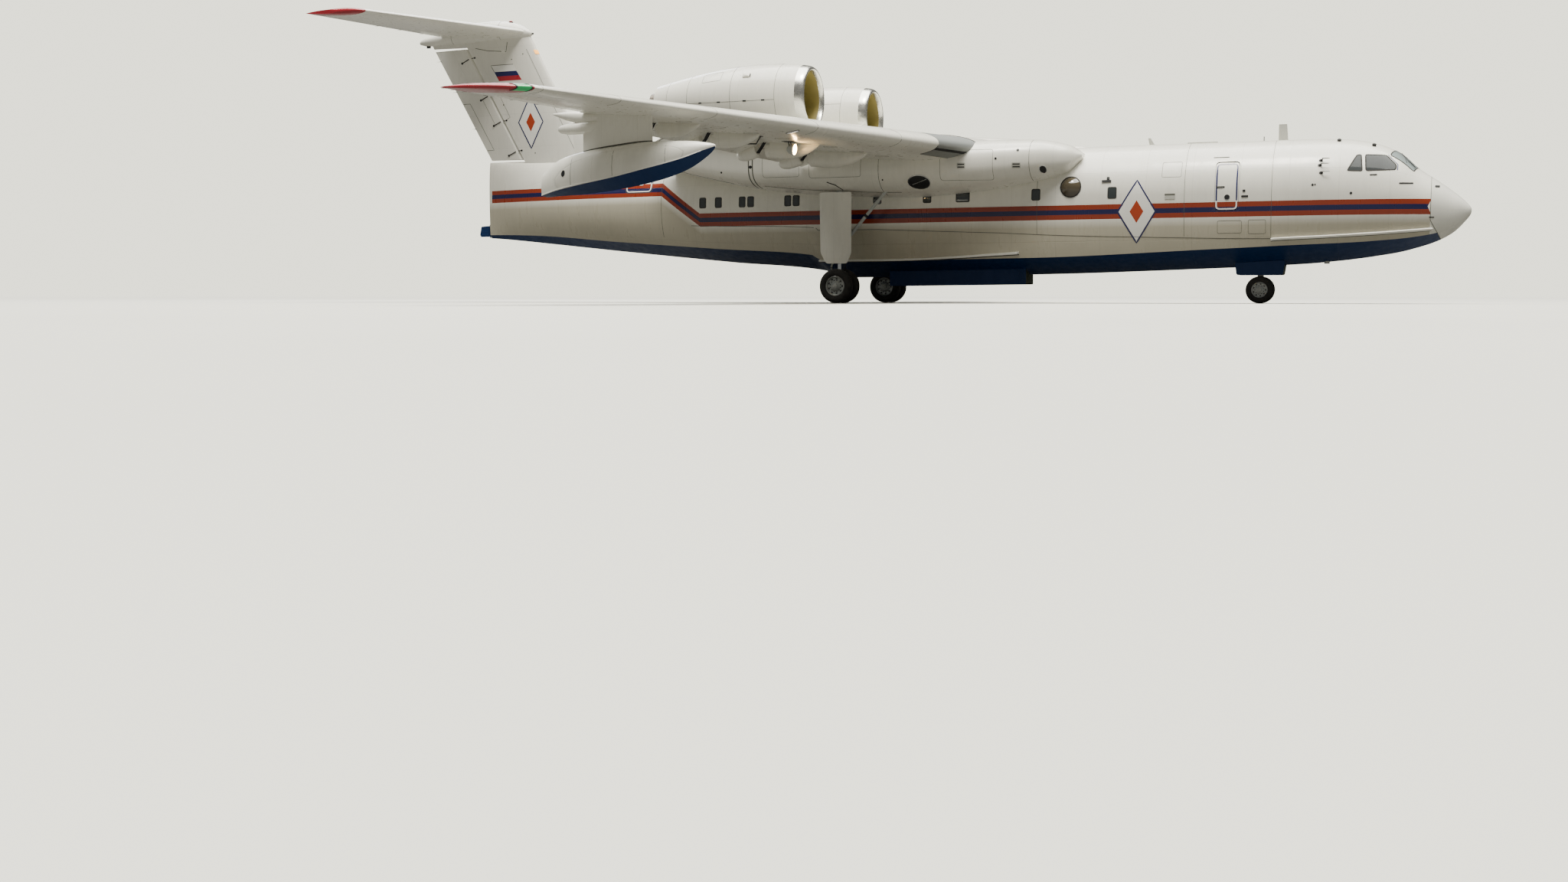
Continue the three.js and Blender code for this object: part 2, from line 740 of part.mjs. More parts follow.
// The entry door's section: below a line that runs out from the hull's axis through the hinge
const entryAxis = point(0, 0, 488);
const entryOut = point(0, Math.cos(ENTRY.hingeAngle * DEGREE), Math.sin(ENTRY.hingeAngle * DEGREE));
const entryHinge = entryAxis.clone().addScaledVector(entryOut, 1427 - SKIN / 2);
function entrySection(rise, sill) {
  const lift = point(0, -entryOut.z, entryOut.y).multiplyScalar(rise);
  const line = (reach) => {
    const p = entryAxis.clone().addScaledVector(entryOut, reach).add(lift);
    return [p.y, p.z];
  };
  return [line(500), line(2200), [2200, sill], [300, sill]];
}

function entryDoor() {
  const shell = whole.subtract(hullSolid(-SKIN));
  const panel = shell.intersect(prismAlong(entrySection(0, ENTRY.sill), ENTRY.back, ENTRY.front));
  const axis = (x) => point(x, entryHinge.y, entryHinge.z);
  const barrel = rod(axis(ENTRY.back), axis(ENTRY.front), SKIN / 2 - 1, 16);
  const pins = rod(axis(ENTRY.back - PIN_REACH), axis(ENTRY.front + PIN_REACH), 12, 12);
  return panel.add(barrel).add(pins);
}

function entryRecess() {
  const floor = hullSolid(-SKIN - 20);
  const recess = hullSolid(50).subtract(floor)
    .intersect(prismAlong(entrySection(SKIN / 2 + RUN, ENTRY.sill - RUN), ENTRY.back - RUN, ENTRY.front + RUN));
  const reach = PIN_REACH + SEAT;
  const axis = (x) => point(x, entryHinge.y, entryHinge.z);
  return recess.add(rod(axis(ENTRY.back - reach), axis(ENTRY.front + reach), 13, 12));
}

// Water doors: each is a strip of the planing bottom, hinged along its outer edge
const keelAt = (x) => {
  const rows = HULL_SECTIONS;
  const i = rows.findIndex((row) => row[0] <= x);
  const [a, b] = [rows[i - 1], rows[i]];
  const t = (a[0] - x) / (a[0] - b[0]);
  return {
    keel: a[1] + t * (b[1] - a[1]),
    slope: (a[3] - a[1]) / a[2] + t * ((b[3] - b[1]) / b[2] - (a[3] - a[1]) / a[2]),
  };
};
const DOOR_REST = 72; // degrees that the water doors hang open
const doorEnds = [BAY.back, BAY.front].map((x) => {
  const { keel, slope } = keelAt(x);
  return point(x, BAY.hinge, keel + slope * BAY.hinge + BAY.door / 2 + 3);
});
const doorLine = doorEnds[1].clone().sub(doorEnds[0]);
const bottomSlope = Math.atan(keelAt((BAY.front + BAY.back) / 2).slope);

// In the door's frame x runs forward along the hinge, y towards the keel when it is closed
const doorMatrix = (() => {
  const along = doorLine.clone().normalize();
  const inward = point(0, -Math.cos(bottomSlope), -Math.sin(bottomSlope));
  const down = along.clone().cross(inward).normalize();
  const across = down.clone().cross(along);
  return new THREE.Matrix4().makeBasis(along, across, down).setPosition(doorEnds[0]);
})();

function waterDoor() {
  const width = BAY.hinge / Math.cos(bottomSlope) - RUN;
  const length = doorLine.length() - 2 * RUN;
  const plate = box(RUN, RUN + length, 0, width, -BAY.door / 2, BAY.door / 2);
  const barrel = rod(point(RUN, 0, 0), point(RUN + length, 0, 0), BAY.door / 2, 16);
  const pins = rod(point(RUN - PIN_REACH, 0, 0), point(RUN + length + PIN_REACH, 0, 0), 8, 12);
  return plate.add(barrel).add(pins);
}

function waterBay() {
  const half = BAY.hinge + BAY.door / 2 + RUN;
  const room = box(BAY.back, BAY.front, -half, half, -2500, BAY.roof);
  const reach = PIN_REACH + SEAT;
  let made = room;
  for (const side of [1, -1]) {
    const end = (s) => {
      const p = point(s, 0, 0).applyMatrix4(doorMatrix);
      return point(p.x, side * p.y, p.z);
    };
    made = made.add(rod(end(RUN - reach), end(doorLine.length() - RUN + reach), 9, 12));
  }
  return made;
}

const rudderAxis = (z) => point(leadAt(FIN, z) - FIN_HINGE * chordAt(FIN, z), 0, z);
const rudderPin = (radius) => rod(rudderAxis(1960), rudderAxis(RUDDER_TOP + 160), radius, 12);

// Water rudder at the stern
const STERN_RUDDER = { hinge: STERN - 45, tip: -13400, bottom: -250, top: 100, half: 26, pin: 12 };
const sternPin = (reach, radius) => rod(
  point(STERN_RUDDER.hinge, 0, STERN_RUDDER.bottom - reach),
  point(STERN_RUDDER.hinge, 0, STERN_RUDDER.top + reach),
  radius, 12,
);
function sternLugs() {
  const { hinge, bottom, top } = STERN_RUDDER;
  const lug = (z0, z1) => box(hinge - 26, STERN + 60, -26, 26, z0, z1);
  return lug(bottom - 34, bottom - 4).add(lug(top + 4, top + 34)).subtract(sternPin(40, STERN_RUDDER.pin + 0.8));
}

let hullFront = whole.intersect(slab(FRONT_JOINT + SEAT, 17000)).subtract(radomeCutter(0));
for (const { from, outline } of Object.values(PANES)) {
  const hole = prismAcross(outline, from, 2500).subtract(deeper);
  const other = prismAcross(outline, -2500, -from).subtract(deeper);
  hullFront = hullFront.subtract(hole).subtract(other);
}
const recessLeft = entryRecess();
const mirrored = (made) => {
  const geometry = toGeometry(made).scale(1, -1, 1);
  return fromGeometry(geometry);
};
hullFront = hullFront.subtract(recessLeft).subtract(mirrored(recessLeft));
const jackPad = (x, y, z) => rod(point(x, y, z), point(x, y, z + 200), JACK.radius, 16);
hullFront = hullFront.add(jackPad(JACK.noseX, 0, JACK.noseZ));
addNode("hull_front", hullFront, whitePaint);
addNode("radome", whole.intersect(radomeCutter(SEAT)), whitePaint);
addNode("hull_centre", whole.intersect(slab(STEP + SEAT, FRONT_JOINT)).subtract(waterBay()), whitePaint);
const hullRear = whole.intersect(slab(STERN - 10, STEP)).add(sternLugs()).subtract(rudderPin(SOCKET));
addNode("hull_rear", hullRear, whitePaint);

for (const [name, { from, outline }] of Object.entries(PANES)) {
  addPair(name, prismAcross(shrunk(outline, 2 * SEAT), from + SEAT, 2500).intersect(whole).subtract(deep), darkGlass);
}
addPair("entry_door", entryDoor(), whitePaint);

// The door is modelled closed, and hangs open at rest
const doorPlace = doorMatrix.clone().multiply(new THREE.Matrix4().makeRotationX(DOOR_REST * DEGREE));
addPair("water_door", waterDoor(), navyPaint, doorPlace);

// Wing and what it carries
const wingSolid = wingPanel().add(CANOES.map(canoeFront).reduce((sum, made) => sum.add(made)));
const wingCut = [flapInner, flapOuter, aileron].reduce((made, hinge) => made.subtract(controlCutter(hinge)), wingSolid);
const wingAround = wingPanel(SEAT);
const crown = crownSolid().subtract(around);
addNode("wing_centre_fairing", crown, whitePaint);
addPair("wing", wingCut.subtract(around), whitePaint);

const flapPlace = (hinge, angle) =>
  hinge.matrix.clone().multiply(new THREE.Matrix4().makeRotationY(-angle * DEGREE));
const flapDrop = (hinge) => -0.012 * hinge.backs[0];
const withCones = (hinge, rows) => rows.reduce(
  (made, row) => made.add(canoeCone(row, hinge)),
  controlSurface(hinge, flapDrop(hinge)),
);
addPair("flap_inner", withCones(flapInner, CANOES.slice(0, 2)), whitePaint, flapPlace(flapInner, FLAP_REST));
addPair("flap_outer", withCones(flapOuter, CANOES.slice(2)), whitePaint, flapPlace(flapOuter, FLAP_REST));
addPair("aileron", controlSurface(aileron, flapDrop(aileron)), whitePaint, flapPlace(aileron, 0));

const fairing = fairingSolid().add(jackPad(JACK.x, JACK.y, JACK.z)).subtract(around).subtract(wingAround);
addPair("gear_fairing", fairing, whitePaint);
addPair("float", floatSolid(), whitePaint);
addPair("float_pylon", floatPylon().subtract(floatSolid(SEAT)).subtract(wingAround), whitePaint);

// Engines
const engineAt = new THREE.Matrix4().makeTranslation(0, ENGINE_Y, ENGINE_Z);
const nacelleShell = nacelleSolid();
const nacelleBlock = fromGeometry(
  new THREE.LatheGeometry(
    [[0, NACELLE_OUTER[0][1]], ...NACELLE_OUTER.map(([r, x]) => [r + SEAT, x]), [0, -5500]]
      .map(([r, x]) => new THREE.Vector2(r, x)),
    ENGINE_SIDES,
  ).rotateY(Math.PI / ENGINE_SIDES).rotateZ(-Math.PI / 2).translate(0, ENGINE_Y, ENGINE_Z),
);
addPair("engine_pylon", enginePylon().subtract(nacelleBlock).subtract(fairingSolid(SEAT)).subtract(wingAround), whitePaint);
addPair("nacelle", nacelleShell, whitePaint, engineAt);
addPair("engine", engineSolid(), hotMetal, engineAt);
addPair("fan", fanSolid(), bladeMetal, engineAt);

// Tail
const bulletAround = bulletSolid(SEAT);
const finSolid = finPanel().subtract(rudderSlot()).subtract(around).subtract(bulletAround)
  .subtract(rudderPin(SOCKET));
addNode("fin", finSolid, whitePaint);
addNode("fin_bullet", bulletSolid().subtract(rudderPin(SOCKET)), whitePaint);
const rudderBlade = controlSurface(rudderHinge).subtract(rod(point(0, -900, 0), point(0, -2, 0), 60))
  .subtract(rod(point(0, rudderHinge.length + 2, 0), point(0, rudderHinge.length + 900, 0), 60));
const rudderBack = rudderHinge.matrix.clone().invert();
const clip = fromGeometry(
  new THREE.BoxGeometry(9000, 1200, RUDDER_TOP - RUDDER_BOTTOM)
    .translate(-13000, 0, (RUDDER_TOP + RUDDER_BOTTOM) / 2).applyMatrix4(rudderBack),
);
const pinLocal = rod(rudderAxis(2000).applyMatrix4(rudderBack), rudderAxis(RUDDER_TOP + 140).applyMatrix4(rudderBack), PIN, 12);
addNode("rudder", rudderBlade.intersect(clip).add(pinLocal), whitePaint, rudderHinge.matrix);
addPair("stabilizer", stabilizerPanel().subtract(bulletAround).subtract(controlCutter(elevatorHinge)), whitePaint);
addPair("elevator", controlSurface(elevatorHinge), whitePaint, elevatorHinge.matrix);

const { hinge: sternHinge, tip, bottom, top, half: sternHalf } = STERN_RUDDER;
const sternBlade = prismAcross(
  [[sternHinge, bottom], [sternHinge, top], [tip + 60, top - 20], [tip, bottom + 60], [tip + 40, bottom]],
  -12, 12,
).add(rod(point(sternHinge, 0, bottom), point(sternHinge, 0, top), sternHalf, 16)).add(sternPin(30, STERN_RUDDER.pin));
addNode("water_rudder", sternBlade, navyPaint);

// Nose gear: a fixed upper leg, a steered lower leg and a pair of wheels
const noseAxle = GROUND + NOSE_TYRE.radius;
const steerFace = -1560;
const legJoin = point(NOSE_GEAR_X, 0, -1440);
const noseLeg = rod(point(NOSE_GEAR_X, 0, steerFace), point(NOSE_GEAR_X, 0, -1250), 85, 20)
  .add(rod(legJoin, point(NOSE_GEAR_X + 420, 0, -1250), 38, 12))
  .subtract(around);
addNode("nose_leg", noseLeg, gearMetal);
const steered = rod(point(0, 0, 60), point(0, 0, steerFace - SEAT - noseAxle), 62, 20)
  .add(rod(point(0, 0, steerFace - 130 - noseAxle), point(0, 0, steerFace - SEAT - noseAxle), 82, 20))
  .add(rod(point(0, -66, 0), point(0, 66, 0), 88, 20))
  .subtract(rod(point(0, -90, 0), point(0, 90, 0), (NOSE_TYRE.axle + 0.6) / Math.cos(Math.PI / 24), 24));
const noseAt = new THREE.Matrix4().makeTranslation(NOSE_GEAR_X, 0, noseAxle);
addNode("nose_steering", steered, gearMetal, noseAt);
addNode("nose_wheels", wheelPair(NOSE_TYRE), tyreRubber, noseAt);
const noseDoor = box(NOSE_GEAR_X - 640, NOSE_GEAR_X + 640, 300, 326, -1600, -1000).subtract(around);
addPair("nose_gear_door", noseDoor, navyPaint);

// Main gear
const mainAxle = GROUND + MAIN_TYRE.radius;
const mainFoot = point(MAIN_GEAR_X, MAIN_GEAR_Y, mainAxle);
const fairingAround = fairingSolid(SEAT);
const mainLeg = rod(mainFoot.clone().setZ(mainAxle + 60), mainFoot.clone().setZ(900), 78, 20)
  .add(rod(mainFoot.clone().setZ(-900), mainFoot.clone().setZ(900), 105, 20))
  .add(rod(mainFoot.clone().setZ(-820), point(MAIN_GEAR_X + 1500, MAIN_GEAR_Y, 900), 48, 12))
  .add(rod(mainFoot.clone().setZ(-760), point(MAIN_GEAR_X, 1250, -150), 48, 12))
  .add(rod(point(MAIN_GEAR_X, MAIN_GEAR_Y - 100, mainAxle), point(MAIN_GEAR_X, MAIN_GEAR_Y + 100, mainAxle), 118, 20))
  .subtract(rod(point(MAIN_GEAR_X, MAIN_GEAR_Y - 120, mainAxle), point(MAIN_GEAR_X, MAIN_GEAR_Y + 120, mainAxle),
    (MAIN_TYRE.axle + 0.6) / Math.cos(Math.PI / 24), 24))
  .subtract(around)
  .subtract(fairingAround);
addPair("main_leg", mainLeg, gearMetal);
addPair("main_wheels", wheelPair(MAIN_TYRE), tyreRubber, new THREE.Matrix4().setPosition(mainFoot));
const doorY = MAIN_GEAR_Y + 215;
const stay = (z) => rod(point(MAIN_GEAR_X, MAIN_GEAR_Y + 105 + SEAT, z), point(MAIN_GEAR_X, doorY + 5, z), 22, 10);
const mainDoor = box(MAIN_GEAR_X - 520, MAIN_GEAR_X + 420, doorY, doorY + 28, -1250, 900)
  .add(stay(-650)).add(stay(150)).subtract(fairingAround);
addPair("main_gear_door", mainDoor, whitePaint);

export default aircraft;
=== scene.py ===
# %% [markdown]
# # A twin-jet flying boat on its landing gear
#
# The real aircraft takes off from land or water, scoops water up as it planes and drops it through
# doors beside its keel. A plain solid model of it, split into moving bodies, is read in, and this
# script dresses that model: smooth skins, paint, glass, landing gear and small fittings. Every cell
# makes one piece or one finish, after a few words on how the real thing looks and how it is made here.

import bisect
import functools
import json
import math

import bmesh
import bpy
from mathutils import Matrix, Vector

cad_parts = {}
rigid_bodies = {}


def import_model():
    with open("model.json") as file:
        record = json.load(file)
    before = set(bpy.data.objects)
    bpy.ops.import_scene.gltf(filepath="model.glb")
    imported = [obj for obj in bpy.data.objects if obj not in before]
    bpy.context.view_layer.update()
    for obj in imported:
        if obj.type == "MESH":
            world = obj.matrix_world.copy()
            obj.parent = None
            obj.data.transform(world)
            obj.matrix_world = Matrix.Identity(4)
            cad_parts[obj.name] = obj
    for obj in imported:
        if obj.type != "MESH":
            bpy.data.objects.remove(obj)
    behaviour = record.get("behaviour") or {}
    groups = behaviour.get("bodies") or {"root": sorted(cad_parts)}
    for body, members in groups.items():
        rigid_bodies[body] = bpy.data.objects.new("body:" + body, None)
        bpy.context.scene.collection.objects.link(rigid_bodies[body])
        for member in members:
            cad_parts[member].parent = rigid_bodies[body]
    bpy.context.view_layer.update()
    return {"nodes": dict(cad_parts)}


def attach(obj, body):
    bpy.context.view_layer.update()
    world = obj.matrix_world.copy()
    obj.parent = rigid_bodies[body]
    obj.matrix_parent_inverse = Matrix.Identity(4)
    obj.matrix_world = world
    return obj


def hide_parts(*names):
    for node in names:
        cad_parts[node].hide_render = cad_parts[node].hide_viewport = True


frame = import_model()
print("Nodes in the plain model:", len(frame["nodes"]))

# %% [markdown]
# ## Colours and nodes
#
# Colours are easiest to pick as hex values, but Blender's sockets are linear, so one function turns
# them. Another one adds a shader or geometry node with its settings and links, and the short ones
# below it name what each node is for. A node tree then reads from top to bottom like a recipe.

# %% Colours and nodes
def linear(hex_colour):
    """An sRGB hex colour as linear red, green, blue and alpha."""
    parts = [int(hex_colour[i:i + 2], 16) / 255 for i in (1, 3, 5)]
    return [c / 12.92 if c <= 0.04045 else ((c + 0.055) / 1.055) ** 2.4 for c in parts] + [1.0]


def feed(tree, node, inputs):
    """Sets inputs. Each takes a value, a socket to link, or a node whose first output is linked."""
    for name, value in inputs.items():
        if isinstance(value, bpy.types.Node):
            value = value.outputs[0]
        if isinstance(value, bpy.types.NodeSocket):
            tree.links.new(value, node.inputs[name])
        else:
            node.inputs[name].default_value = value


def add_node(tree, kind, inputs=None, **settings):
    node = tree.nodes.new(kind)
    for name, value in settings.items():
        setattr(node, name, value)
    feed(tree, node, inputs or {})
    return node


def compute(tree, operation, *values):
    return add_node(tree, "ShaderNodeMath", dict(enumerate(values)), operation=operation)


def rescaled(tree, value, low, high, new_low, new_high):
    return add_node(tree, "ShaderNodeMapRange", {
        "Value": value, "From Min": low, "From Max": high, "To Min": new_low, "To Max": new_high})


def mixed(tree, factor, first, second, **settings):
    """A mix of two colours. Its colour comes out at output 2."""
    return add_node(tree, "ShaderNodeMix", {"Factor": factor, 6: first, 7: second}, data_type="RGBA",
                    **settings)


def two_tone(tree, factor, first, second):
    ramp = add_node(tree, "ShaderNodeValToRGB", {0: factor})
    ramp.color_ramp.elements[0].color, ramp.color_ramp.elements[1].color = first, second
    return ramp


def noise(tree, place, scale, detail, roughness=0.5):
    return add_node(tree, "ShaderNodeTexNoise", {
        "Vector": place, "Scale": scale, "Detail": detail, "Roughness": roughness})


def bumped(tree, height, strength, distance, inputs=None, **settings):
    return add_node(tree, "ShaderNodeBump", {
        "Height": height, "Strength": strength, "Distance": distance, **(inputs or {})}, **settings)


def own_place(tree):
    """The place on the piece in metres, so that a pattern stays on it when it moves."""
    return add_node(tree, "ShaderNodeTexCoord").outputs["Object"]


def new_finish(name, **sockets):
    """A material with one Principled shader. Returns the material, its tree and the shader."""
    material = bpy.data.materials.new(name)
    material.use_nodes = True
    tree = material.node_tree
    tree.nodes.clear()
    shader = add_node(tree, "ShaderNodeBsdfPrincipled", {k.replace("_", " "): v for k, v in sockets.items()})
    add_node(tree, "ShaderNodeOutputMaterial", {"Surface": shader})
    return material, tree, shader


# %% [markdown]
# ## Gloss paint over riveted skin
#
# The skin is aluminium sheet on frames and stringers, sprayed with gloss polyurethane enamel. From
# some way off the eye sees an even warm white, thin grey lines where sheets meet, a little grime that
# has run down from them, and sheets that sag slightly between the frames. Real joints are 2 to 3 mm
# wide. They are drawn 12 mm wide so that they show from the camera.

# %% Gloss paint
WHITE, NAVY, RADOME_WHITE = "#e9e7dd", "#10305e", "#e2e1d8"
NOSE_HEIGHT = 2.35  # most heights below are measured from the nose tip
HULL_RADIUS = 1.43
HULL_MIDDLE = NOSE_HEIGHT + 0.49
FIN_LEAD_SLOPE = -0.5308
WING_LEAD_SLOPE = -0.4036
JOINT_WIDTH = 0.012
JOINT_GREY = 0.38  # how much of the soiled colour a joint takes
SHEET_SAG_SIZE = 0.55  # between frames


def sheet_joints(tree, coordinate, spacing, shift=0.0):
    """1 on a sheet joint and 0 away from it, along one coordinate in metres."""
    away = compute(tree, "PINGPONG", compute(tree, "ADD", coordinate, shift), spacing / 2)
    return rescaled(tree, away, 0.0, JOINT_WIDTH / 2, 1.0, 0.0)


def gloss_paint(name, colour, joints=(), roughness=0.3, grime=0.16, coat=0.35, shine=0.5):
    """Enamel on sheet. joints lists (function that gives a coordinate from x, |y| and z, spacing, shift).
    Returns the material, its tree and the node that mixes the clean colour, 6, with the soiled one, 7."""
    clean = linear(colour)
    material, tree, shader = new_finish(
        name, Base_Color=clean, Roughness=roughness, Coat_Weight=coat, Coat_Roughness=0.12,
        Specular_IOR_Level=shine)
    place = own_place(tree)
    x, y, z = add_node(tree, "ShaderNodeSeparateXYZ", {0: place}).outputs
    side = compute(tree, "ABSOLUTE", y)
    streak_place = add_node(tree, "ShaderNodeMapping", {"Vector": place, "Scale": (3.2, 3.2, 0.45)})
    streak = noise(tree, streak_place, 1.6, 6.0, 0.62)
    grey = compute(tree, "MULTIPLY", noise(tree, place, 0.7, 4.0, 0.55), streak)
    dirt = rescaled(tree, grey, 0.18, 0.42, 0.0, grime)
    bump = bumped(tree, noise(tree, place, 1 / SHEET_SAG_SIZE, 1.0), 0.35, 0.012)
    if joints:
        lines = 0.0
        for coordinate, spacing, shift in joints:
            line = sheet_joints(tree, coordinate(tree, x, side, z), spacing, shift)
            lines = compute(tree, "MAXIMUM", lines, line)
        dirt = compute(tree, "MAXIMUM", dirt, compute(tree, "MULTIPLY", lines, JOINT_GREY))
        bump = bumped(tree, lines, 0.8, 0.003, {"Normal": bump}, invert=True)
    soiled = mixed(tree, dirt, clean, [0.45 * c for c in clean[:3]] + [1.0])
    wear = rescaled(tree, streak, 0.3, 0.7, roughness - 0.07, roughness + 0.1)
    feed(tree, shader, {"Base Color": soiled.outputs[2], "Roughness": wear, "Normal": bump})
    return material, tree, soiled


def along_x(tree, x, side, z):
    return x


def along_span(tree, x, side, z):
    return side


def upwards(tree, x, side, z):
    return z


def round_hull(tree, x, side, z):
    """The angle round the hull's middle line, times its radius: metres along the skin."""
    angle = compute(tree, "ARCTAN2", compute(tree, "SUBTRACT", z, HULL_MIDDLE), side)
    return compute(tree, "MULTIPLY", angle, HULL_RADIUS)


def along_wing_sweep(tree, x, side, z):
    """Metres back from the wing's swept leading edge."""
    return compute(tree, "SUBTRACT", x, compute(tree, "MULTIPLY", side, WING_LEAD_SLOPE))


def along_fin_sweep(tree, x, side, z):
    return compute(tree, "SUBTRACT", x, compute(tree, "MULTIPLY", z, FIN_LEAD_SLOPE))


FRAMES = (along_x, 1.2, 0.3)
BOTTOM = {"joints": [FRAMES], "roughness": 0.42, "grime": 0.2, "coat": 0.0, "shine": 0.25}
skin_white = gloss_paint("white_enamel_plain", WHITE, [FRAMES])[0]
wing_white = gloss_paint("white_enamel_wing", "#e6e4da",
                         [(along_span, 1.55, 0.2), (along_wing_sweep, 0.92, 0.25)],
                         grime=0.2)[0]
tail_white = gloss_paint("white_enamel_tail", "#e7e5dc",
                         [(upwards, 1.05, 0.35), (along_fin_sweep, 0.9, 0.1)])[0]
radome_white = gloss_paint("white_radome_enamel", RADOME_WHITE, grime=0.12)[0]
bottom_navy = gloss_paint("navy_enamel_bottom", NAVY, **BOTTOM)[0]
tip_red = gloss_paint("red_enamel", "#a8202e", grime=0.2)[0]
line_blue = gloss_paint("blue_enamel", "#161a55", grime=0.12)[0]
mark_orange = gloss_paint("orange_enamel", "#a83a12", grime=0.12)[0]
flag_white = gloss_paint("white_enamel_marks", "#efeee8", grime=0.08)[0]
print("Paints:", len(bpy.data.materials))

# %% [markdown]
# ## The stripes along the hull
#
# Three bands, orange, blue and orange, run from the radome to the tail and step up behind the wing.
# They are sprayed on the same skin, so they share its joints and grime: only the base colour changes.
# A band is a test on the distance from the stripe's middle line, which keeps its edge sharp. Below it
# the white turns darker, a painted shade. The navy bottom ends at the radome's slanted joint.

# %% Stripes
STRIPE_HALF, BLUE_HALF = 0.193, 0.064
STRIPE_FRONT_MIDDLE, STRIPE_REAR_MIDDLE = 0.08, 1.005
STRIPE_RISE_START, STRIPE_RISE_END = -4.9, -6.2
STRIPE_FRONT, STRIPE_REAR = 14.99, -12.84
NOTCH_SLOPE = 0.47  # the front end is cut like an arrow's tail
# Where the painted shade below the stripes reaches its full darkness
PAINTED_SHADE_FULL = -0.42  # below the middle line
NAVY_FRONT = 16.31  # x + 0.6 z on the radome's joint

hull_paint, tree, soiled = gloss_paint("white_enamel_with_stripes", WHITE, [FRAMES, (round_hull, 0.84, 0.2)])
x, _, z = add_node(tree, "ShaderNodeSeparateXYZ", {0: own_place(tree)}).outputs
middle = rescaled(tree, x, STRIPE_RISE_END, STRIPE_RISE_START,
                  NOSE_HEIGHT + STRIPE_REAR_MIDDLE, NOSE_HEIGHT + STRIPE_FRONT_MIDDLE)
offset = compute(tree, "SUBTRACT", z, middle)
away = compute(tree, "ABSOLUTE", offset)
behind = compute(tree, "LESS_THAN", compute(tree, "MULTIPLY_ADD", away, -NOTCH_SLOPE, x), STRIPE_FRONT)
length = compute(tree, "MULTIPLY", behind, compute(tree, "GREATER_THAN", x, STRIPE_REAR))
# Painted shade: below the stripes the white darkens towards #bdb7a4.
colour = mixed(tree, rescaled(tree, offset, PAINTED_SHADE_FULL, -STRIPE_HALF, 1.0, 0.0), linear(WHITE),
               linear("#bdb7a4"))
for half, paint in ((STRIPE_HALF, "#8d3012"), (BLUE_HALF, "#0b1048")):
    band = compute(tree, "MULTIPLY", compute(tree, "LESS_THAN", away, half), length)
    colour = mixed(tree, band, colour.outputs[2], linear(paint))
soot = mixed(tree, 1.0, colour.outputs[2], linear("#b3b3b3"), blend_type="MULTIPLY")
feed(tree, soiled, {6: colour.outputs[2], 7: soot.outputs[2]})

hull_bottom, tree, soiled = gloss_paint("navy_enamel_hull_bottom", NAVY, **BOTTOM)
x, _, z = add_node(tree, "ShaderNodeSeparateXYZ", {0: own_place(tree)}).outputs
in_front = compute(tree, "GREATER_THAN", compute(tree, "MULTIPLY_ADD", z, 0.6, x), NAVY_FRONT)
feed(tree, soiled, {6: mixed(tree, in_front, linear(NAVY), linear(RADOME_WHITE)).outputs[2]})
print("Stripes and bottom: 2 paints")

# %% [markdown]
# ## Metals, glass and rubber
#
# Bare parts each get their own finish. The intake lips are polished aluminium, the ducts are coated in
# olive primer, fan blades and nozzles are titanium, the nozzle's tinted by heat. Landing gear legs are
# steel with grey enamel, their pistons hard chrome. Tyres are black rubber, dull and a little dusty.

# %% Bare metals
def bare_metal(name, colour, roughness, metallic=1.0, grain=(40.0, 40.0, 40.0), spread=0.12, depth=0.0006,
               heat=()):
    """A metal or enamel whose roughness varies along its grain. heat gives two colours to mix."""
    material, tree, shader = new_finish(name, Base_Color=linear(colour), Metallic=metallic, Roughness=roughness)
    grain_place = add_node(tree, "ShaderNodeMapping", {"Vector": own_place(tree), "Scale": grain})
    pattern = noise(tree, grain_place, 1.0, 5.0)
    feed(tree, shader, {
        "Roughness": rescaled(tree, pattern, 0.3, 0.7, roughness - spread / 2, roughness + spread),
        "Normal": bumped(tree, pattern, 0.4, depth)})
    if heat:
        feed(tree, shader, {"Base Color": two_tone(tree, pattern, *map(linear, heat))})
    return material


def even(size):
    return (size, size, size)


lip_metal = bare_metal("polished_aluminium_lip", "#d2d1cb", 0.24, grain=(5.0, 9.0, 9.0), spread=0.06,
                       depth=0.0002)
blade_metal = bare_metal("titanium_blades", "#7d7f82", 0.32, grain=(90.0, 14.0, 14.0))
spinner_metal = bare_metal("spinner_grey_enamel", "#5c5f62", 0.4, 0.2)
chrome = bare_metal("hard_chrome_piston", "#d7d9da", 0.08, spread=0.04)
gear_grey = bare_metal("grey_enamel_on_steel", "#b4b7b4", 0.38, 0.0, even(9.0), 0.2)
wheel_alloy = bare_metal("forged_alloy_wheel", "#a3a6a4", 0.35, 0.7, even(25.0))
dark_steel = bare_metal("dark_steel", "#3b3d3f", 0.45, 0.8)
bay_primer = bare_metal("bay_primer", "#6f7568", 0.6, 0.0, even(4.0), 0.2)
duct_olive = bare_metal("olive_primer_duct", "#85783f", 0.5, 0.0, even(3.0), 0.15)
# Grey joint sealant. The same grey is also the painted shadow under the spray strips.
sealant_and_painted_shadow = bare_metal("grey_sealant_and_painted_shadow", "#55564f", 0.7, 0.0)
mark_black = bare_metal("black_fitting", "#17181a", 0.55, 0.0)
strip_white = bare_metal("white_enamel_strip", "#efede4", 0.32, 0.0, even(2.0), 0.1)
aerial_grey = bare_metal("grey_aerial_enamel", "#b9b9b1", 0.45, 0.0)
cuff_grey = bare_metal("grey_heated_cuff", "#8b8e8d", 0.4, 0.3)
nozzle_metal = bare_metal("heat_tinted_nozzle", "#8a7d70", 0.36, grain=(3.0, 24.0, 24.0),
                          heat=("#6b5c4e", "#9a9690"))

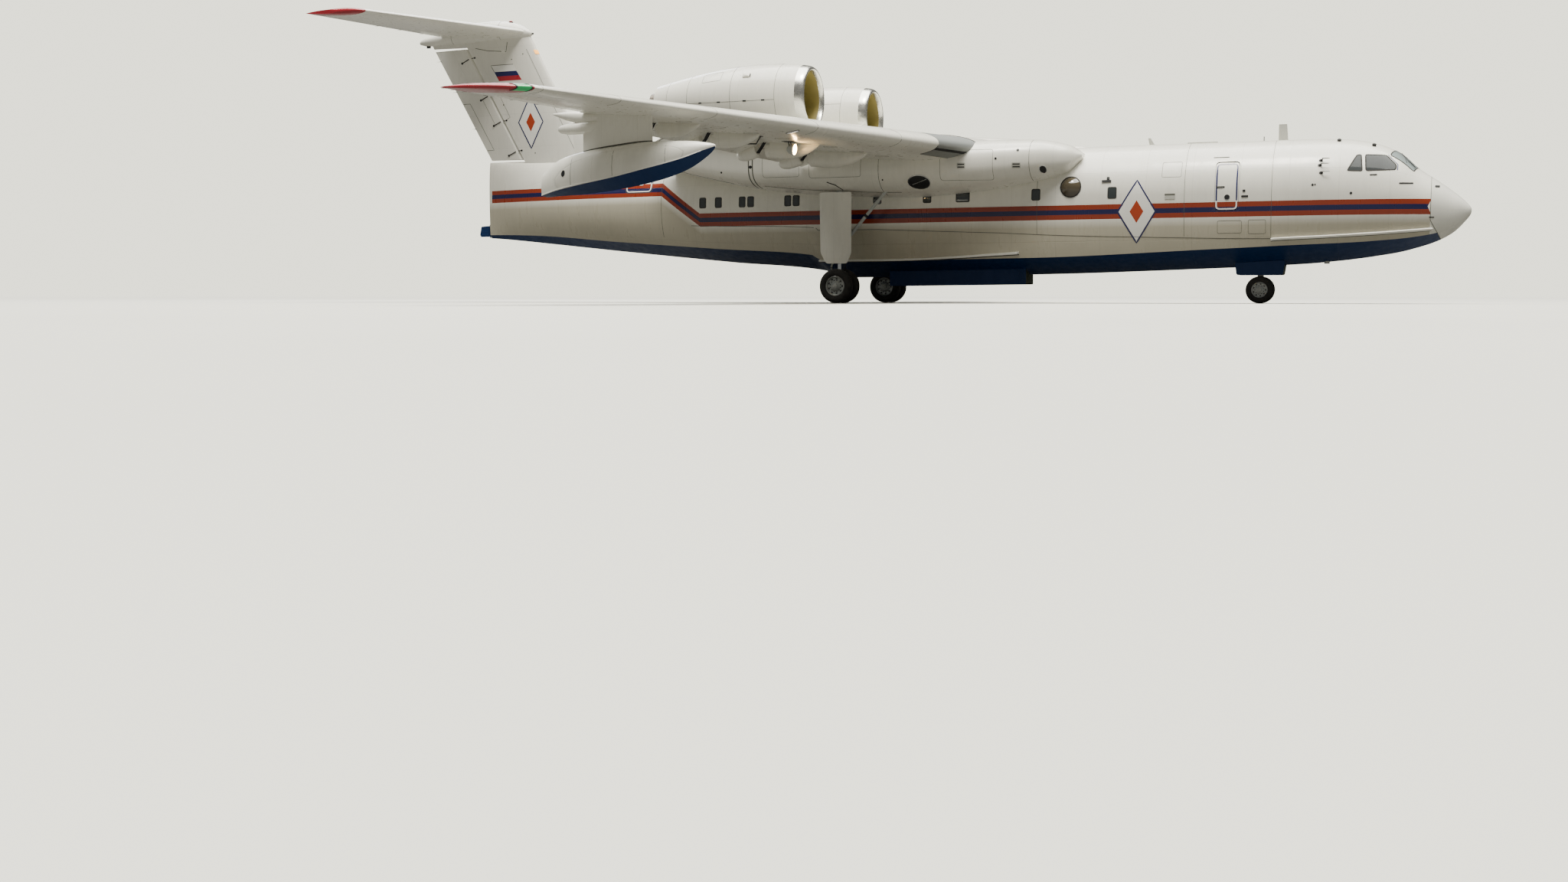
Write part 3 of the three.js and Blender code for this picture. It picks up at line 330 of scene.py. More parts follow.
# %% Glass and rubber
def dark_pane(name, colour, coat=1.0, shine=0.5):
    """Glass with a dark room behind it: a dark base under a clear, smooth coat."""
    dark = linear(colour)
    material, tree, shader = new_finish(
        name, Base_Color=dark, Roughness=0.06, Specular_IOR_Level=shine, IOR=1.52, Coat_Weight=coat,
        Coat_Roughness=0.02)
    tones = [[min(1.0, share * c) for c in dark[:3]] + [1.0] for share in (0.7, 1.35)]
    feed(tree, shader, {"Base Color": two_tone(tree, noise(tree, own_place(tree), 2.2, 2.0), *tones)})
    return material


def lamp_glass(name, colour, glow):
    """A lamp's cover, lit from inside, with ribs moulded in the glass."""
    material, tree, shader = new_finish(
        name, Base_Color=linear(colour), Roughness=0.12, IOR=1.5, Coat_Weight=0.6,
        Emission_Color=linear(colour), Emission_Strength=glow)
    ribs = add_node(tree, "ShaderNodeTexWave", {"Vector": own_place(tree), "Scale": 30.0})
    feed(tree, shader, {"Normal": bumped(tree, ribs, 0.3, 0.002)})
    return material


flight_deck_glass = dark_pane("flight_deck_glass", "#3f4243", coat=0.0, shine=0.2)
screen_glass = dark_pane("windscreen_glass", "#8b9696")
cabin_glass = dark_pane("cabin_window_glass", "#2f3536")
dome_glass = dark_pane("dome_window_glass", "#4a4232")
landing_lamp = lamp_glass("landing_lamp_glass", "#ffd08a", 60.0)
clear_lamp = lamp_glass("clear_lamp_glass", "#f2efe6", 0.4)
red_lamp = lamp_glass("red_lamp_glass", "#b81420", 0.5)
green_lamp = lamp_glass("green_lamp_glass", "#1b8a4a", 0.5)
amber_lamp = lamp_glass("amber_lamp_glass", "#e9a24a", 3.0)

rubber, tree, shader = new_finish("tyre_rubber", Base_Color=linear("#1b1b1c"), Roughness=0.82)
place = own_place(tree)
feed(tree, shader, {
    "Base Color": two_tone(tree, noise(tree, place, 9.0, 6.0), linear("#161617"), linear("#3a3835")),
    "Normal": bumped(tree, noise(tree, place, 220.0, 2.0), 0.3, 0.001)})
print("Finishes:", len(bpy.data.materials))

# %% [markdown]
# ## Gathering points and faces
#
# Most pieces here are lofts: closed rings of points, joined one to the next. A small class gathers
# points and faces from several lofts, tubes and patches, then makes one clean mesh of them. A patch
# and a ribbon follow a curved skin, because they are built from a function that gives the skin's point
# and its outward direction. Windows, doors, seams and spray strips all come from these two.

# %% Gathering points and faces
def circle(sides, radius=1.0, turn=0.0):
    steps = [turn + 2 * math.pi * i / sides for i in range(sides)]
    return [(radius * math.cos(a), radius * math.sin(a)) for a in steps]


def across(direction):
    """Two directions square to this one and to each other."""
    direction = direction.normalized()
    helper = Vector((0, 0, 1)) if abs(direction.z) < 0.9 else Vector((1, 0, 0))
    first = direction.cross(helper).normalized()
    return first, direction.cross(first)


def rounded(outline, radius, steps=4):
    """An outline with its corners rounded."""
    made = []
    for i, corner in enumerate(outline):
        before, here, after = (Vector(outline[j % len(outline)]) for j in (i - 1, i, i + 1))
        back, on = before - here, after - here
        reach = min(radius, 0.45 * back.length, 0.45 * on.length)
        start, end = here + back.normalized() * reach, here + on.normalized() * reach
        for k in range(steps + 1):
            t = k / steps
            made.append(tuple((1 - t) ** 2 * start + 2 * t * (1 - t) * here + t * t * end))
    return made


def oval(u, v, half_u, half_v, sides=28):
    return [(u + half_u * c, v + half_v * s) for c, s in circle(sides)]


def box_outline(u0, u1, v0, v1):
    return [(u0, v0), (u1, v0), (u1, v1), (u0, v1)]


def refined(path, skin, step, closed):
    """A path with its long stretches divided, so that it follows the skin."""
    spots = [skin(*p)[0] for p in path]
    made = []
    for i in range(len(path) if closed else len(path) - 1):
        j = (i + 1) % len(path)
        parts = max(1, math.ceil((spots[j] - spots[i]).length / step))
        made += [tuple(a + (b - a) * k / parts for a, b in zip(path[i], path[j])) for k in range(parts)]
    return made if closed else [*made, path[-1]]


class Shape:
    """Points, faces and the finish of each face."""

    def __init__(self):
        self.points, self.faces, self.finishes = [], [], []

    def add(self, points, faces, finish=0):
        start = len(self.points)
        self.points += [tuple(p) for p in points]
        self.faces += [[start + i for i in face] for face in faces]
        self.finishes += finish if isinstance(finish, list) else [finish] * len(faces)

    def loft(self, rings, finish=0, ends=True):
        """Closed rings joined in turn. finish may be a function of the ring and the place round it."""
        count = len(rings[0])
        faces, finishes = [], []
        for r in range(len(rings) - 1):
            for i in range(count):
                a, b = r * count + i, r * count + (i + 1) % count
                faces.append([a, b, b + count, a + count])
                finishes.append(finish(r, i) if callable(finish) else finish)
        if ends:
            faces += [list(range(count)), [(len(rings) - 1) * count + i for i in range(count)]]
            finishes += [finish(0, -1) if callable(finish) else finish] * 2
        self.add([p for ring in rings for p in ring], faces, finishes)

    def tube(self, path, radius, sides=12, finish=0, squash=1.0):
        """A round bar along a path. radius is one number, or one for each point."""
        path = [Vector(p) for p in path]
        radii = radius if isinstance(radius, (list, tuple)) else [radius] * len(path)
        first, second = across(path[1] - path[0])
        rings = []
        for i, (p, r) in enumerate(zip(path, radii)):
            ahead = (path[min(i + 1, len(path) - 1)] - path[max(i - 1, 0)]).normalized()
            first = (first - ahead * first.dot(ahead)).normalized()
            second = ahead.cross(first)
            rings.append([p + first * (r * c) + second * (r * s * squash) for c, s in circle(sides)])
        self.loft(rings, finish)

    def turned(self, profile, sides, matrix, finish=0, closed=False):
        """A profile of (distance along the axis, radius) turned about matrix's x axis."""
        rings = [[matrix @ Vector((x, r * c, r * s)) for c, s in circle(sides)] for x, r in profile]
        if closed:
            rings.append(rings[0])
        self.loft(rings, finish, ends=not closed)

    def prism(self, outline, matrix, low, high, finish=0):
        """An outline in matrix's x and y, raised from low to high along its z."""
        rings = [[matrix @ Vector((u, v, h)) for u, v in outline] for h in (low, high)]
        self.loft(rings, finish)

    def box(self, low, high, matrix=Matrix(), finish=0, soft=0.0):
        """A block, with its upright edges rounded by soft."""
        outline = box_outline(low[0], high[0], low[1], high[1])
        self.prism(rounded(outline, soft, 3) if soft else outline, matrix, low[2], high[2], finish)

    def patch(self, outline, skin, height, depth, finish=0, rings=5, crown=0.0, under=None, step=0.08):
        """A plate that follows a skin. crown lifts its middle, and under is the finish of its back."""
        outline = refined(outline, skin, step, True)
        centre = [sum(p[k] for p in outline) / len(outline) for k in (0, 1)]
        count = len(outline)
        steps = [(k / rings, height + crown * (1 - (k / rings) ** 2)) for k in range(1, rings + 1)]
        steps += [(1.0, -depth), *((k / rings, -depth) for k in range(rings - 1, 0, -1))]

        def on(u, v, out):
            point, normal = skin(u, v)
            return point + normal * out

        loops = []
        for share, out in steps:
            loops.append([on(centre[0] + share * (u - centre[0]), centre[1] + share * (v - centre[1]), out)
                          for u, v in outline])
        points = [p for loop in loops for p in loop]
        faces = []
        for r in range(len(loops) - 1):
            for i in range(count):
                a, b = r * count + i, r * count + (i + 1) % count
                faces.append([a, b, b + count, a + count])
        top, bottom = len(points), len(points) + 1
        points += [on(*centre, height + crown), on(*centre, -depth)]
        last = (len(loops) - 1) * count
        faces += [[top, i, (i + 1) % count] for i in range(count)]
        faces += [[bottom, last + i, last + (i + 1) % count] for i in range(count)]
        back = finish if under is None else under
        finishes = [finish] * (rings * count) + [back] * (len(faces) - (rings + 2) * count) + [finish] * count + [back] * count
        self.add(points, faces, finishes)

    def ribbon(self, path, width, skin, height, depth, finish=0, closed=False, step=0.08):
        """A strip that follows a skin along a path, sunk into it by depth."""
        path = refined(path, skin, step, closed)
        spots = [skin(*p) for p in path]
        count = len(spots)
        rings = []
        for i, (point, normal) in enumerate(spots):
            if closed:
                along = spots[(i + 1) % count][0] - spots[i - 1][0]
            else:
                along = spots[min(i + 1, count - 1)][0] - spots[max(i - 1, 0)][0]
            sideways = along.cross(normal).normalized() * (width / 2)
            up, down = normal * height, -normal * depth
            rings.append([point - sideways + down, point - sideways + up, point + sideways + up,
                          point + sideways + down])
        if closed:
            rings.append(rings[0])
        self.loft(rings, finish, ends=not closed)

    def mirrored(self):
        """The same on the other side of the aircraft."""
        other = Shape()
        other.add([(x, -y, z) for x, y, z in self.points], [face[::-1] for face in self.faces],
                  list(self.finishes))
        return other

    def both(self):
        """This side and the other one together."""
        other = self.mirrored()
        other.add(self.points, self.faces, list(self.finishes))
        return other

    def mesh(self, name, finishes):
        mesh = bpy.data.meshes.new(name)
        mesh.from_pydata(self.points, [], self.faces)
        for finish in finishes:
            mesh.materials.append(finish)
        mesh.polygons.foreach_set("material_index", self.finishes)
        clean_mesh(mesh)
        return mesh


def clean_mesh(mesh):
    """Merges doubled points and turns every face outwards."""
    work = bmesh.new()
    work.from_mesh(mesh)
    bmesh.ops.remove_doubles(work, verts=work.verts, dist=2e-5)
    bmesh.ops.recalc_face_normals(work, faces=work.faces)
    work.to_mesh(mesh)
    work.free()


def add_piece(name, mesh, body="airframe", stands_for=(), slot=None, crease=32, bevel=0.0):
    """Shows a mesh as a piece that moves with a body and may stand for nodes of the plain model."""
    mesh.shade_smooth()
    mesh.set_sharp_from_angle(angle=math.radians(crease))
    piece = bpy.data.objects.new(name, mesh)
    bpy.context.scene.collection.objects.link(piece)
    if bevel:
        modifier = piece.modifiers.new("soft edges", "BEVEL")
        modifier.width, modifier.segments, modifier.limit_method = bevel, 2, "ANGLE"
        modifier.harden_normals = True
    if stands_for:
        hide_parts(*stands_for)
    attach(piece, body)
    return piece


def carve(mesh, cutters):
    """The mesh with each cutter's volume taken out of it. Cut walls keep the cutter's finish."""
    scene = bpy.context.scene.collection.objects
    base = bpy.data.objects.new("carved", mesh)
    scene.link(base)
    tools = []
    for cutter in cutters:
        tool = bpy.data.objects.new("cutter", cutter)
        scene.link(tool)
        modifier = base.modifiers.new("cut", "BOOLEAN")
        modifier.operation, modifier.solver, modifier.object = "DIFFERENCE", "EXACT", tool
        tools.append(tool)
    view = bpy.context.evaluated_depsgraph_get()
    made = bpy.data.meshes.new_from_object(base.evaluated_get(view))
    for thing in [base, *tools]:
        bpy.data.objects.remove(thing)
    return made


SIDES = {"left": 1, "right": -1}


def add_pair(name, shape, finishes, body="airframe", stands_for=(), **more):
    """One piece on each side. {} in body and in the nodes' names becomes the side."""
    for side, sign in SIDES.items():
        form = shape if sign > 0 else shape.mirrored()
        title = f"{name}_{side}"
        add_piece(title, form.mesh(title, finishes), body.format(side),
                  [node.format(side) for node in stands_for], **more)

# %% [markdown]
# ## The hull's skin
#
# The hull is a boat below and a round pressure cabin above, with a hard edge, the chine, between
# them. Its sections are given in a table at 19 places, and a curve without overshoot runs through
# each column. Near the nose the table is read on a stretched axis, so that the tip comes out round.
# A place on the skin is (x, v): v is -1 at the keel, 0 at the chine, 1 where the hull is widest and 2
# at the top. Everything that sits on the hull uses the same function, so nothing needs fitting.

# %% Smooth tables
def smooth_curve(places, values):
    """A curve through the values, without overshoot. Places go up."""
    steps = [b - a for a, b in zip(places, places[1:])]
    slopes = [(b - a) / s for a, b, s in zip(values, values[1:], steps)]
    tangents = [slopes[0], *(2 * a * b / (a + b) if a * b > 0 else 0.0 for a, b in zip(slopes, slopes[1:])),
                slopes[-1]]

    def at(place):
        i = min(max(bisect.bisect_right(places, place) - 1, 0), len(steps) - 1)
        t = min(max((place - places[i]) / steps[i], 0.0), 1.0)
        start = (1 + 2 * t) * (1 - t) ** 2 * values[i] + t * (1 - t) ** 2 * steps[i] * tangents[i]
        end = t * t * (3 - 2 * t) * values[i + 1] - t * t * (1 - t) * steps[i] * tangents[i + 1]
        return start + end
    return at


def smooth_table(rows, stretch=lambda x: x):
    """Each column of a table as a smooth curve of its first column."""
    rows = sorted(rows)
    places = [stretch(row[0]) for row in rows]
    curves = [smooth_curve(places, [row[k] for row in rows]) for k in range(1, len(rows[0]))]

    @functools.lru_cache(None)
    def at(x):
        return tuple(curve(stretch(x)) for curve in curves)
    return at


def smooth_path(points, steps=6):
    """A curve through points, as a list of points."""
    points = [Vector(p) for p in points]
    padded = [2 * points[0] - points[1], *points, 2 * points[-1] - points[-2]]
    made = []
    for a, b, c, d in zip(padded, padded[1:], padded[2:], padded[3:]):
        for k in range(steps):
            t = k / steps
            made.append(0.5 * (2 * b + (c - a) * t + (2 * a - 5 * b + 4 * c - d) * t * t
                               + (3 * b - a - 3 * c + d) * t ** 3))
    return [*made, points[-1]]


def spread(start, end, count):
    return [start + (end - start) * i / (count - 1) for i in range(count)]


# %% The hull's sections
HULL_SECTIONS = [
    # x, keel, chine y, chine z, widest y, widest z, top
    (16.025, -0.040, 0.025, -0.025, 0.035, 0.000, 0.035),
    (15.900, -0.250, 0.170, -0.170, 0.235, -0.010, 0.215),
    (15.600, -0.560, 0.370, -0.400, 0.490, 0.000, 0.480),
    (15.200, -0.780, 0.540, -0.570, 0.740, 0.060, 0.780),
    (14.750, -0.930, 0.720, -0.660, 0.950, 0.150, 1.090),
    (14.320, -1.040, 0.860, -0.715, 1.105, 0.240, 1.480),
    (13.900, -1.110, 0.950, -0.750, 1.215, 0.310, 1.690),
    (13.500, -1.170, 1.020, -0.780, 1.290, 0.370, 1.810),
    (12.900, -1.240, 1.090, -0.810, 1.370, 0.440, 1.890),
    (12.100, -1.310, 1.150, -0.838, 1.415, 0.480, 1.920),
    (9.560, -1.420, 1.240, -0.946, 1.430, 0.490, 1.920),
    (5.030, -1.550, 1.250, -1.116, 1.430, 0.490, 1.920),
    (-1.195, -1.610, 1.250, -1.160, 1.430, 0.490, 1.940),
    (-1.205, -1.440, 1.235, -1.000, 1.430, 0.490, 1.940),
    (-4.500, -1.130, 1.120, -0.760, 1.395, 0.510, 1.970),
    (-8.000, -0.790, 0.800, -0.500, 1.120, 0.560, 2.030),
    (-10.800, -0.500, 0.420, -0.270, 0.640, 0.640, 2.080),
    (-12.300, -0.350, 0.170, -0.210, 0.290, 0.700, 2.110),
    (-12.960, -0.300, 0.070, -0.200, 0.100, 0.700, 2.118),
]
STRAIGHT_FROM = 13.0  # the hull's axis is stretched in front of here
ROUND_TIP = 16.03
TIP_ROOT = math.sqrt(ROUND_TIP - STRAIGHT_FROM)
BOTTOM_STEPS = 6
SIDE_BEND = 0.45


def stretched(x):
    return x if x < STRAIGHT_FROM else STRAIGHT_FROM + 2 * TIP_ROOT * (TIP_ROOT - math.sqrt(ROUND_TIP - x))


def unstretched(p):
    return p if p < STRAIGHT_FROM else ROUND_TIP - (TIP_ROOT - (p - STRAIGHT_FROM) / (2 * TIP_ROOT)) ** 2


hull_row = smooth_table(HULL_SECTIONS, stretched)


def hull_point(x, v):
    keel, chine_y, chine_z, wide_y, wide_z, top = hull_row(x)
    if v < 0:
        y, z = chine_y * (1 + v), keel + (chine_z - keel) * (1 + v)
    elif v < 1:
        bend = chine_z + SIDE_BEND * (wide_z - chine_z)
        y = (1 - v) ** 2 * chine_y + (1 - (1 - v) ** 2) * wide_y
        z = (1 - v) ** 2 * chine_z + 2 * v * (1 - v) * bend + v * v * wide_z
    else:
        angle = (v - 1) * math.pi / 2
        y, z = wide_y * math.cos(angle), wide_z + (top - wide_z) * math.sin(angle)
    return Vector((x, y, z + NOSE_HEIGHT))


def hull_skin(x, v):
    """The point of the skin, and the direction out of it."""
    small = 0.002
    ahead = hull_point(min(x + small, ROUND_TIP - 0.006), v) - hull_point(x - small, v)
    low, high = max(v - small, -1.0), min(v + small, 2.0)
    if low < 0 <= v:
        low = 0.0
    up = hull_point(x, high) - hull_point(x, low)
    normal = ahead.cross(up).normalized()
    return hull_point(x, v), normal if normal.y > 0 or v > 1.9 and normal.z > 0 else -normal


def v_at(x, z):
    """The v of a height, measured from the nose tip."""
    keel, _, chine_z, _, wide_z, top = hull_row(x)
    if z < chine_z:
        return (z - keel) / (chine_z - keel) - 1
    if z < wide_z:
        return (math.sqrt(0.81 + 0.4 * (z - chine_z) / (wide_z - chine_z)) - 0.9) / 0.2
    return 1 + math.asin(min((z - wide_z) / (top - wide_z), 1.0)) / (math.pi / 2)


def hull_side(x, z):
    return hull_skin(x, v_at(x, z))


HULL_V = [-1 + i / BOTTOM_STEPS for i in range(BOTTOM_STEPS)] + spread(0, 1, 9)[:-1] + spread(1, 2, 21)


def hull_ring(x):
    half = [hull_point(x, v) for v in HULL_V]
    return half + [Vector((p.x, -p.y, p.z)) for p in half[-2:0:-1]]


def hull_shell(rear, front, step=0.19):
    """A length of the hull. Its finishes are 0 above the chine and 1 below it."""
    count = max(2, math.ceil((stretched(front) - stretched(rear)) / step) + 1)
    xs = [unstretched(p) for p in spread(stretched(rear), stretched(front), count)]
    around = 2 * len(HULL_V) - 2
    shell = Shape()
    shell.loft([hull_ring(x) for x in xs],
               lambda r, i: 1 if 0 <= i < BOTTOM_STEPS or i >= around - BOTTOM_STEPS else 0)
    return shell


# %% [markdown]
# ## The openings in the hull
#
# Two entry doors fill shallow recesses high on the sides, and the water doors hang in a bay cut into
# the bottom. The skins are made whole and the openings are cut out with exact Booleans. The recesses'
# cutters are built from the same skin function, so that their floors follow the hull. The bay's is a box.

# %% Hull skins
RADOME_JOINT = 15.06
FRONT_JOINT = 5.2
STEP_X = -1.2
STERN_X = -12.96
DOOR_REAR, DOOR_FRONT, DOOR_SILL = 9.87, 10.46, 0.05
DOOR_HINGE_Z = 0.49 + 1.43 * math.sin(math.radians(34))
DOOR_GAP = 0.008
RECESS_RISE = 0.032  # above the hinge, for the door's edge to turn into
RECESS_DEPTH = 0.08
DOOR_THICK = 0.058
BAY_REAR, BAY_FRONT, BAY_HALF, BAY_ROOF = 0.7, 4.7, 0.441, -1.0

recess = Shape()
recess.patch(
    rounded(box_outline(DOOR_REAR - DOOR_GAP, DOOR_FRONT + DOOR_GAP,
                        DOOR_SILL - DOOR_GAP, DOOR_HINGE_Z + RECESS_RISE), 0.1),
    hull_side, 0.1, RECESS_DEPTH, finish=3, rings=6)
hull_finishes = [hull_paint, hull_bottom, bay_primer, skin_white]
front_mesh = carve(hull_shell(FRONT_JOINT, RADOME_JOINT).mesh("hull_front_skin", hull_finishes), [
    recess.mesh("recess_left", hull_finishes), recess.mirrored().mesh("recess_right", hull_finishes)])
front_mesh.name = "hull_front_skin"
add_piece("hull_front_skin", front_mesh, stands_for=["hull_front"], slot="white_paint")

bay = Shape()
bay.box((BAY_REAR, -BAY_HALF, 0.2), (BAY_FRONT, BAY_HALF, NOSE_HEIGHT + BAY_ROOF), finish=2)
centre_shell = hull_shell(STEP_X, FRONT_JOINT)
centre_shell.finishes[-2:] = [1, 1]
centre_mesh = carve(centre_shell.mesh("hull_centre_skin", hull_finishes), [bay.mesh("bay", hull_finishes)])
add_piece("hull_centre_skin", centre_mesh, stands_for=["hull_centre"], slot="white_paint")
add_piece("hull_rear_skin", hull_shell(STERN_X, STEP_X).mesh("hull_rear_skin", hull_finishes),
          stands_for=["hull_rear"], slot="white_paint")
add_piece("radome_skin", hull_shell(RADOME_JOINT, 16.025).mesh("radome_skin", [radome_white, hull_bottom]),
          stands_for=["radome"], slot="white_paint")

# %% [markdown]
# ## Wings, fin and stabiliser
#
# All three share one form: a symmetrical aerofoil whose half thickness follows the classic
# four-digit formula, drawn between a straight leading and trailing edge, with a rounded tip. The
# control surfaces leave bays in the trailing edge. A grid of points has a line exactly on each bay's
# front wall and side walls, so the bays are left out of the skin and closed with walls, and the skin
# still shades as one smooth form.

# %% Aerofoil panels
RUN = 0.008  # between pieces that move past each other
EDGE = 0.005  # half thickness of a trailing edge


def section_shape(f):
    return 5 * (0.2969 * math.sqrt(f) - 0.126 * f - 0.3516 * f ** 2 + 0.2843 * f ** 3 - 0.1036 * f ** 4)


class Panel:
    """A wing, stabiliser or fin. A fin's span runs up."""

    def __init__(self, reference, lead, lead_slope, trail, trail_slope, middle=0.0, middle_slope=0.0,
                 thick=0.1, thick_slope=0.0, camber=0.0, tip=(), upright=False):
        self.reference, self.lead, self.lead_slope = reference, lead, lead_slope
        self.trail, self.trail_slope, self.upright = trail, trail_slope, upright
        self.middle, self.middle_slope = middle, middle_slope
        self.thick, self.thick_slope, self.camber = thick, thick_slope, camber
        self.tip_start = tip[0] if tip else None
        self.tip = smooth_table([(tip[0], *self.straight_edges(tip[0])), *tip[1]]) if tip else None

    def straight_edges(self, out):
        away = out - self.reference
        return self.lead + self.lead_slope * away, self.trail + self.trail_slope * away

    def edges(self, out):
        return self.tip(out) if self.tip and out > self.tip_start else self.straight_edges(out)

    def point(self, x, out, side):
        """The point of the skin at x and a span, side 1 for the upper or port face and -1 for the other."""
        lead, trail = self.edges(out)
        chord = lead - trail
        f = min(max((lead - x) / chord, 0.0), 1.0)
        away = out - self.reference
        half = section_shape(f) * (self.thick + self.thick_slope * away) * chord + EDGE * f
        n = 4 * self.camber * f * (1 - f) * chord + side * half
        if self.upright:
            return Vector((x, n, out))
        return Vector((x, out, self.middle + self.middle_slope * away + n))

    def skin(self, side):
        """A function of (x, span) that gives the skin's point and outward direction."""
        def at(x, out):
            small = 0.004
            back = self.point(x - small, out, side) - self.point(x + small, out, side)
            along = self.point(x, out + small, side) - self.point(x, out - small, side)
            normal = back.cross(along).normalized()
            wanted = normal.y if self.upright else normal.z
            return self.point(x, out, side), normal if wanted * side > 0 else -normal
        return at

    def half_thickness(self, share, out):
        lead, trail = self.straight_edges(out)
        return section_shape(share) * (self.thick + self.thick_slope * (out - self.reference)) * (lead - trail) + EDGE * share


class Hinge:
    """Where a control surface turns. In its matrix x points forward and y runs along the hinge."""

    def __init__(self, panel, share, inner, outer):
        def on(out):
            lead, trail = panel.straight_edges(out)
            x = lead - share * (lead - trail)
            if panel.upright:
                return Vector((x, 0, out))
            rise = panel.middle + panel.middle_slope * (out - panel.reference)
            return Vector((x, out, rise + 4 * panel.camber * share * (1 - share) * (lead - trail)))
        start, end = on(inner), on(outer)
        along = (end - start).normalized()
        up = Vector((1, 0, 0)).cross(along).normalized()
        forward = along.cross(up)
        self.matrix = Matrix.Translation(start) @ Matrix((forward, along, up)).transposed().to_4x4()
        self.length = (end - start).length
        self.forward = forward
        self.noses = [panel.half_thickness(share, out) - 0.002 for out in (inner, outer)]
        self.backs = []
        for spot in (start, end):
            out = spot.z if panel.upright else spot.y
            step = forward.z if panel.upright else forward.y
            trail = panel.straight_edges(out)[1]
            self.backs.append((spot.x - trail) / (forward.x - panel.trail_slope * step))

    def bay(self):
        """The front corners of the bay that it leaves, as (span, x)."""
        corners = [self.matrix @ Vector((self.noses[0] + RUN, -RUN, 0)),
                   self.matrix @ Vector((self.noses[1] + RUN, self.length + RUN, 0))]
        return [(p.y, p.x) for p in corners]


def panel_shape(panel, spans, bays, forward=None, tip_finish_from=None, front_steps=15, aft_steps=5,
                cut_share=0.7):
    """The skin of a panel. bays lists [(span, x), (span, x)], the front corners of each bay, and
    forward is square to the hinges."""
    nodes = [node for bay in bays for node in bay]
    spans = sorted(set([*spans, *(out for out, _ in nodes)]))
    slant = forward.y / forward.x if forward else 0.0

    def cut_x(out):
        if nodes and nodes[0][0] <= out <= nodes[-1][0]:
            for (a, xa), (b, xb) in zip(nodes, nodes[1:]):
                if a <= out <= b:
                    return xa + (xb - xa) * (out - a) / max(b - a, 1e-9)
        lead, trail = panel.edges(out)
        share = cut_share
        if nodes:
            near_out, near_x = nodes[0] if out < nodes[0][0] else nodes[-1]
            near_lead, near_trail = panel.edges(near_out)
            share = (near_lead - near_x) / (near_lead - near_trail)
        return lead - share * (lead - trail)

    def ring(out):
        lead, _ = panel.edges(out)
        cut = cut_x(out)
        front = [lead - (lead - cut) * (1 - k / front_steps) ** 2 for k in range(front_steps + 1)]
        lean = slant
        if not nodes or out < nodes[0][0]:
            lean = slant * 0.5 if nodes else 0.0
        elif out > nodes[-1][0]:
            lean = slant * max(0.0, 1 - (out - nodes[-1][0]) / (0.7 * (spans[-1] - nodes[-1][0])))
        aft = []
        for k in range(aft_steps, 0, -1):
            reach = (cut - panel.edges(out)[1]) / (1 - panel.trail_slope * lean) * k / aft_steps
            spot_out = min(max(out - lean * reach, spans[0]), spans[-1])
            x = cut - reach if k < aft_steps else panel.edges(spot_out)[1]
            aft.append((max(x, panel.edges(spot_out)[1]), spot_out))
        places = aft + [(x, out) for x in front]
        upper = [panel.point(x, o, 1) for x, o in places]
        lower = [panel.point(x, o, -1) for x, o in places[:-1]]
        return upper + lower[::-1]

    rings = [ring(out) for out in spans]
    count = len(rings[0])
    cut_up, cut_low = aft_steps, count - 1 - aft_steps
    shape = Shape()
    faces, finishes = [], []
    in_bay = [any(bay[0][0] - 1e-6 <= a and b <= bay[1][0] + 1e-6 for bay in bays) for a,
              b in zip(spans, spans[1:])]
    for r, (a, b) in enumerate(zip(spans, spans[1:])):
        finish = 1 if tip_finish_from and a >= tip_finish_from - 1e-6 else 0
        low, high = r * count, (r + 1) * count
        span_faces = range(cut_up, cut_low) if in_bay[r] else range(count)
        for i in span_faces:
            j = (i + 1) % count
            faces.append([low + i, low + j, high + j, high + i])
            finishes.append(finish)
        if in_bay[r]:
            faces.append([low + cut_up, low + cut_low, high + cut_low, high + cut_up])
            finishes.append(finish)
    for r in range(len(spans)):
        before, after = (in_bay[r - 1] if r else None), (in_bay[r] if r < len(in_bay) else None)
        start = r * count
        whole = list(range(start, start + count))
        rib = whole[:cut_up + 1] + whole[cut_low:]
        if r in (0, len(spans) - 1):
            in_use = after if r == 0 else before
            faces.append(whole[cut_up:cut_low + 1] if in_use else whole)
            finishes.append(1 if r and tip_finish_from else 0)
        elif before != after:
            faces.append(rib)
            finishes.append(0)
    shape.add([p for one in rings for p in one], faces, finishes)
    return shape


def control_shape(hinge, trail_rise=0.0, arc_steps=14, turn=0.0):
    """A surface that turns about its hinge: a round nose that tapers to a thin trailing edge."""
    matrix = hinge.matrix @ Matrix.Rotation(math.radians(turn), 4, "Y")
    rings = []
    for s, nose, back in zip((0.0, hinge.length), hinge.noses, hinge.backs):
        ring = []
        for k in range(arc_steps + 1):
            angle = math.radians(96 - 192 * k / arc_steps)
            ring.append(Vector((nose * math.cos(angle), s, nose * math.sin(angle))))
        low = [(1 - t) ** 1.06 * -nose + t * (trail_rise - EDGE) for t in (0.25, 0.5, 0.75, 1.0)]
        high = [(1 - t) ** 1.06 * nose + t * (trail_rise + EDGE) for t in (1.0, 0.75, 0.5, 0.25)]
        ring += [Vector((-back * t, s, z)) for t, z in zip((0.25, 0.5, 0.75, 1.0), low)]
        ring += [Vector((-back * t, s, z)) for t, z in zip((1.0, 0.75, 0.5, 0.25), high)]
        rings.append([matrix @ p for p in ring])
    middle = [[a.lerp(b, t) for a, b in zip(*rings)] for t in (0.25, 0.5, 0.75)]
    shape = Shape()
    shape.loft([rings[0], *middle, rings[1]])
    return shape


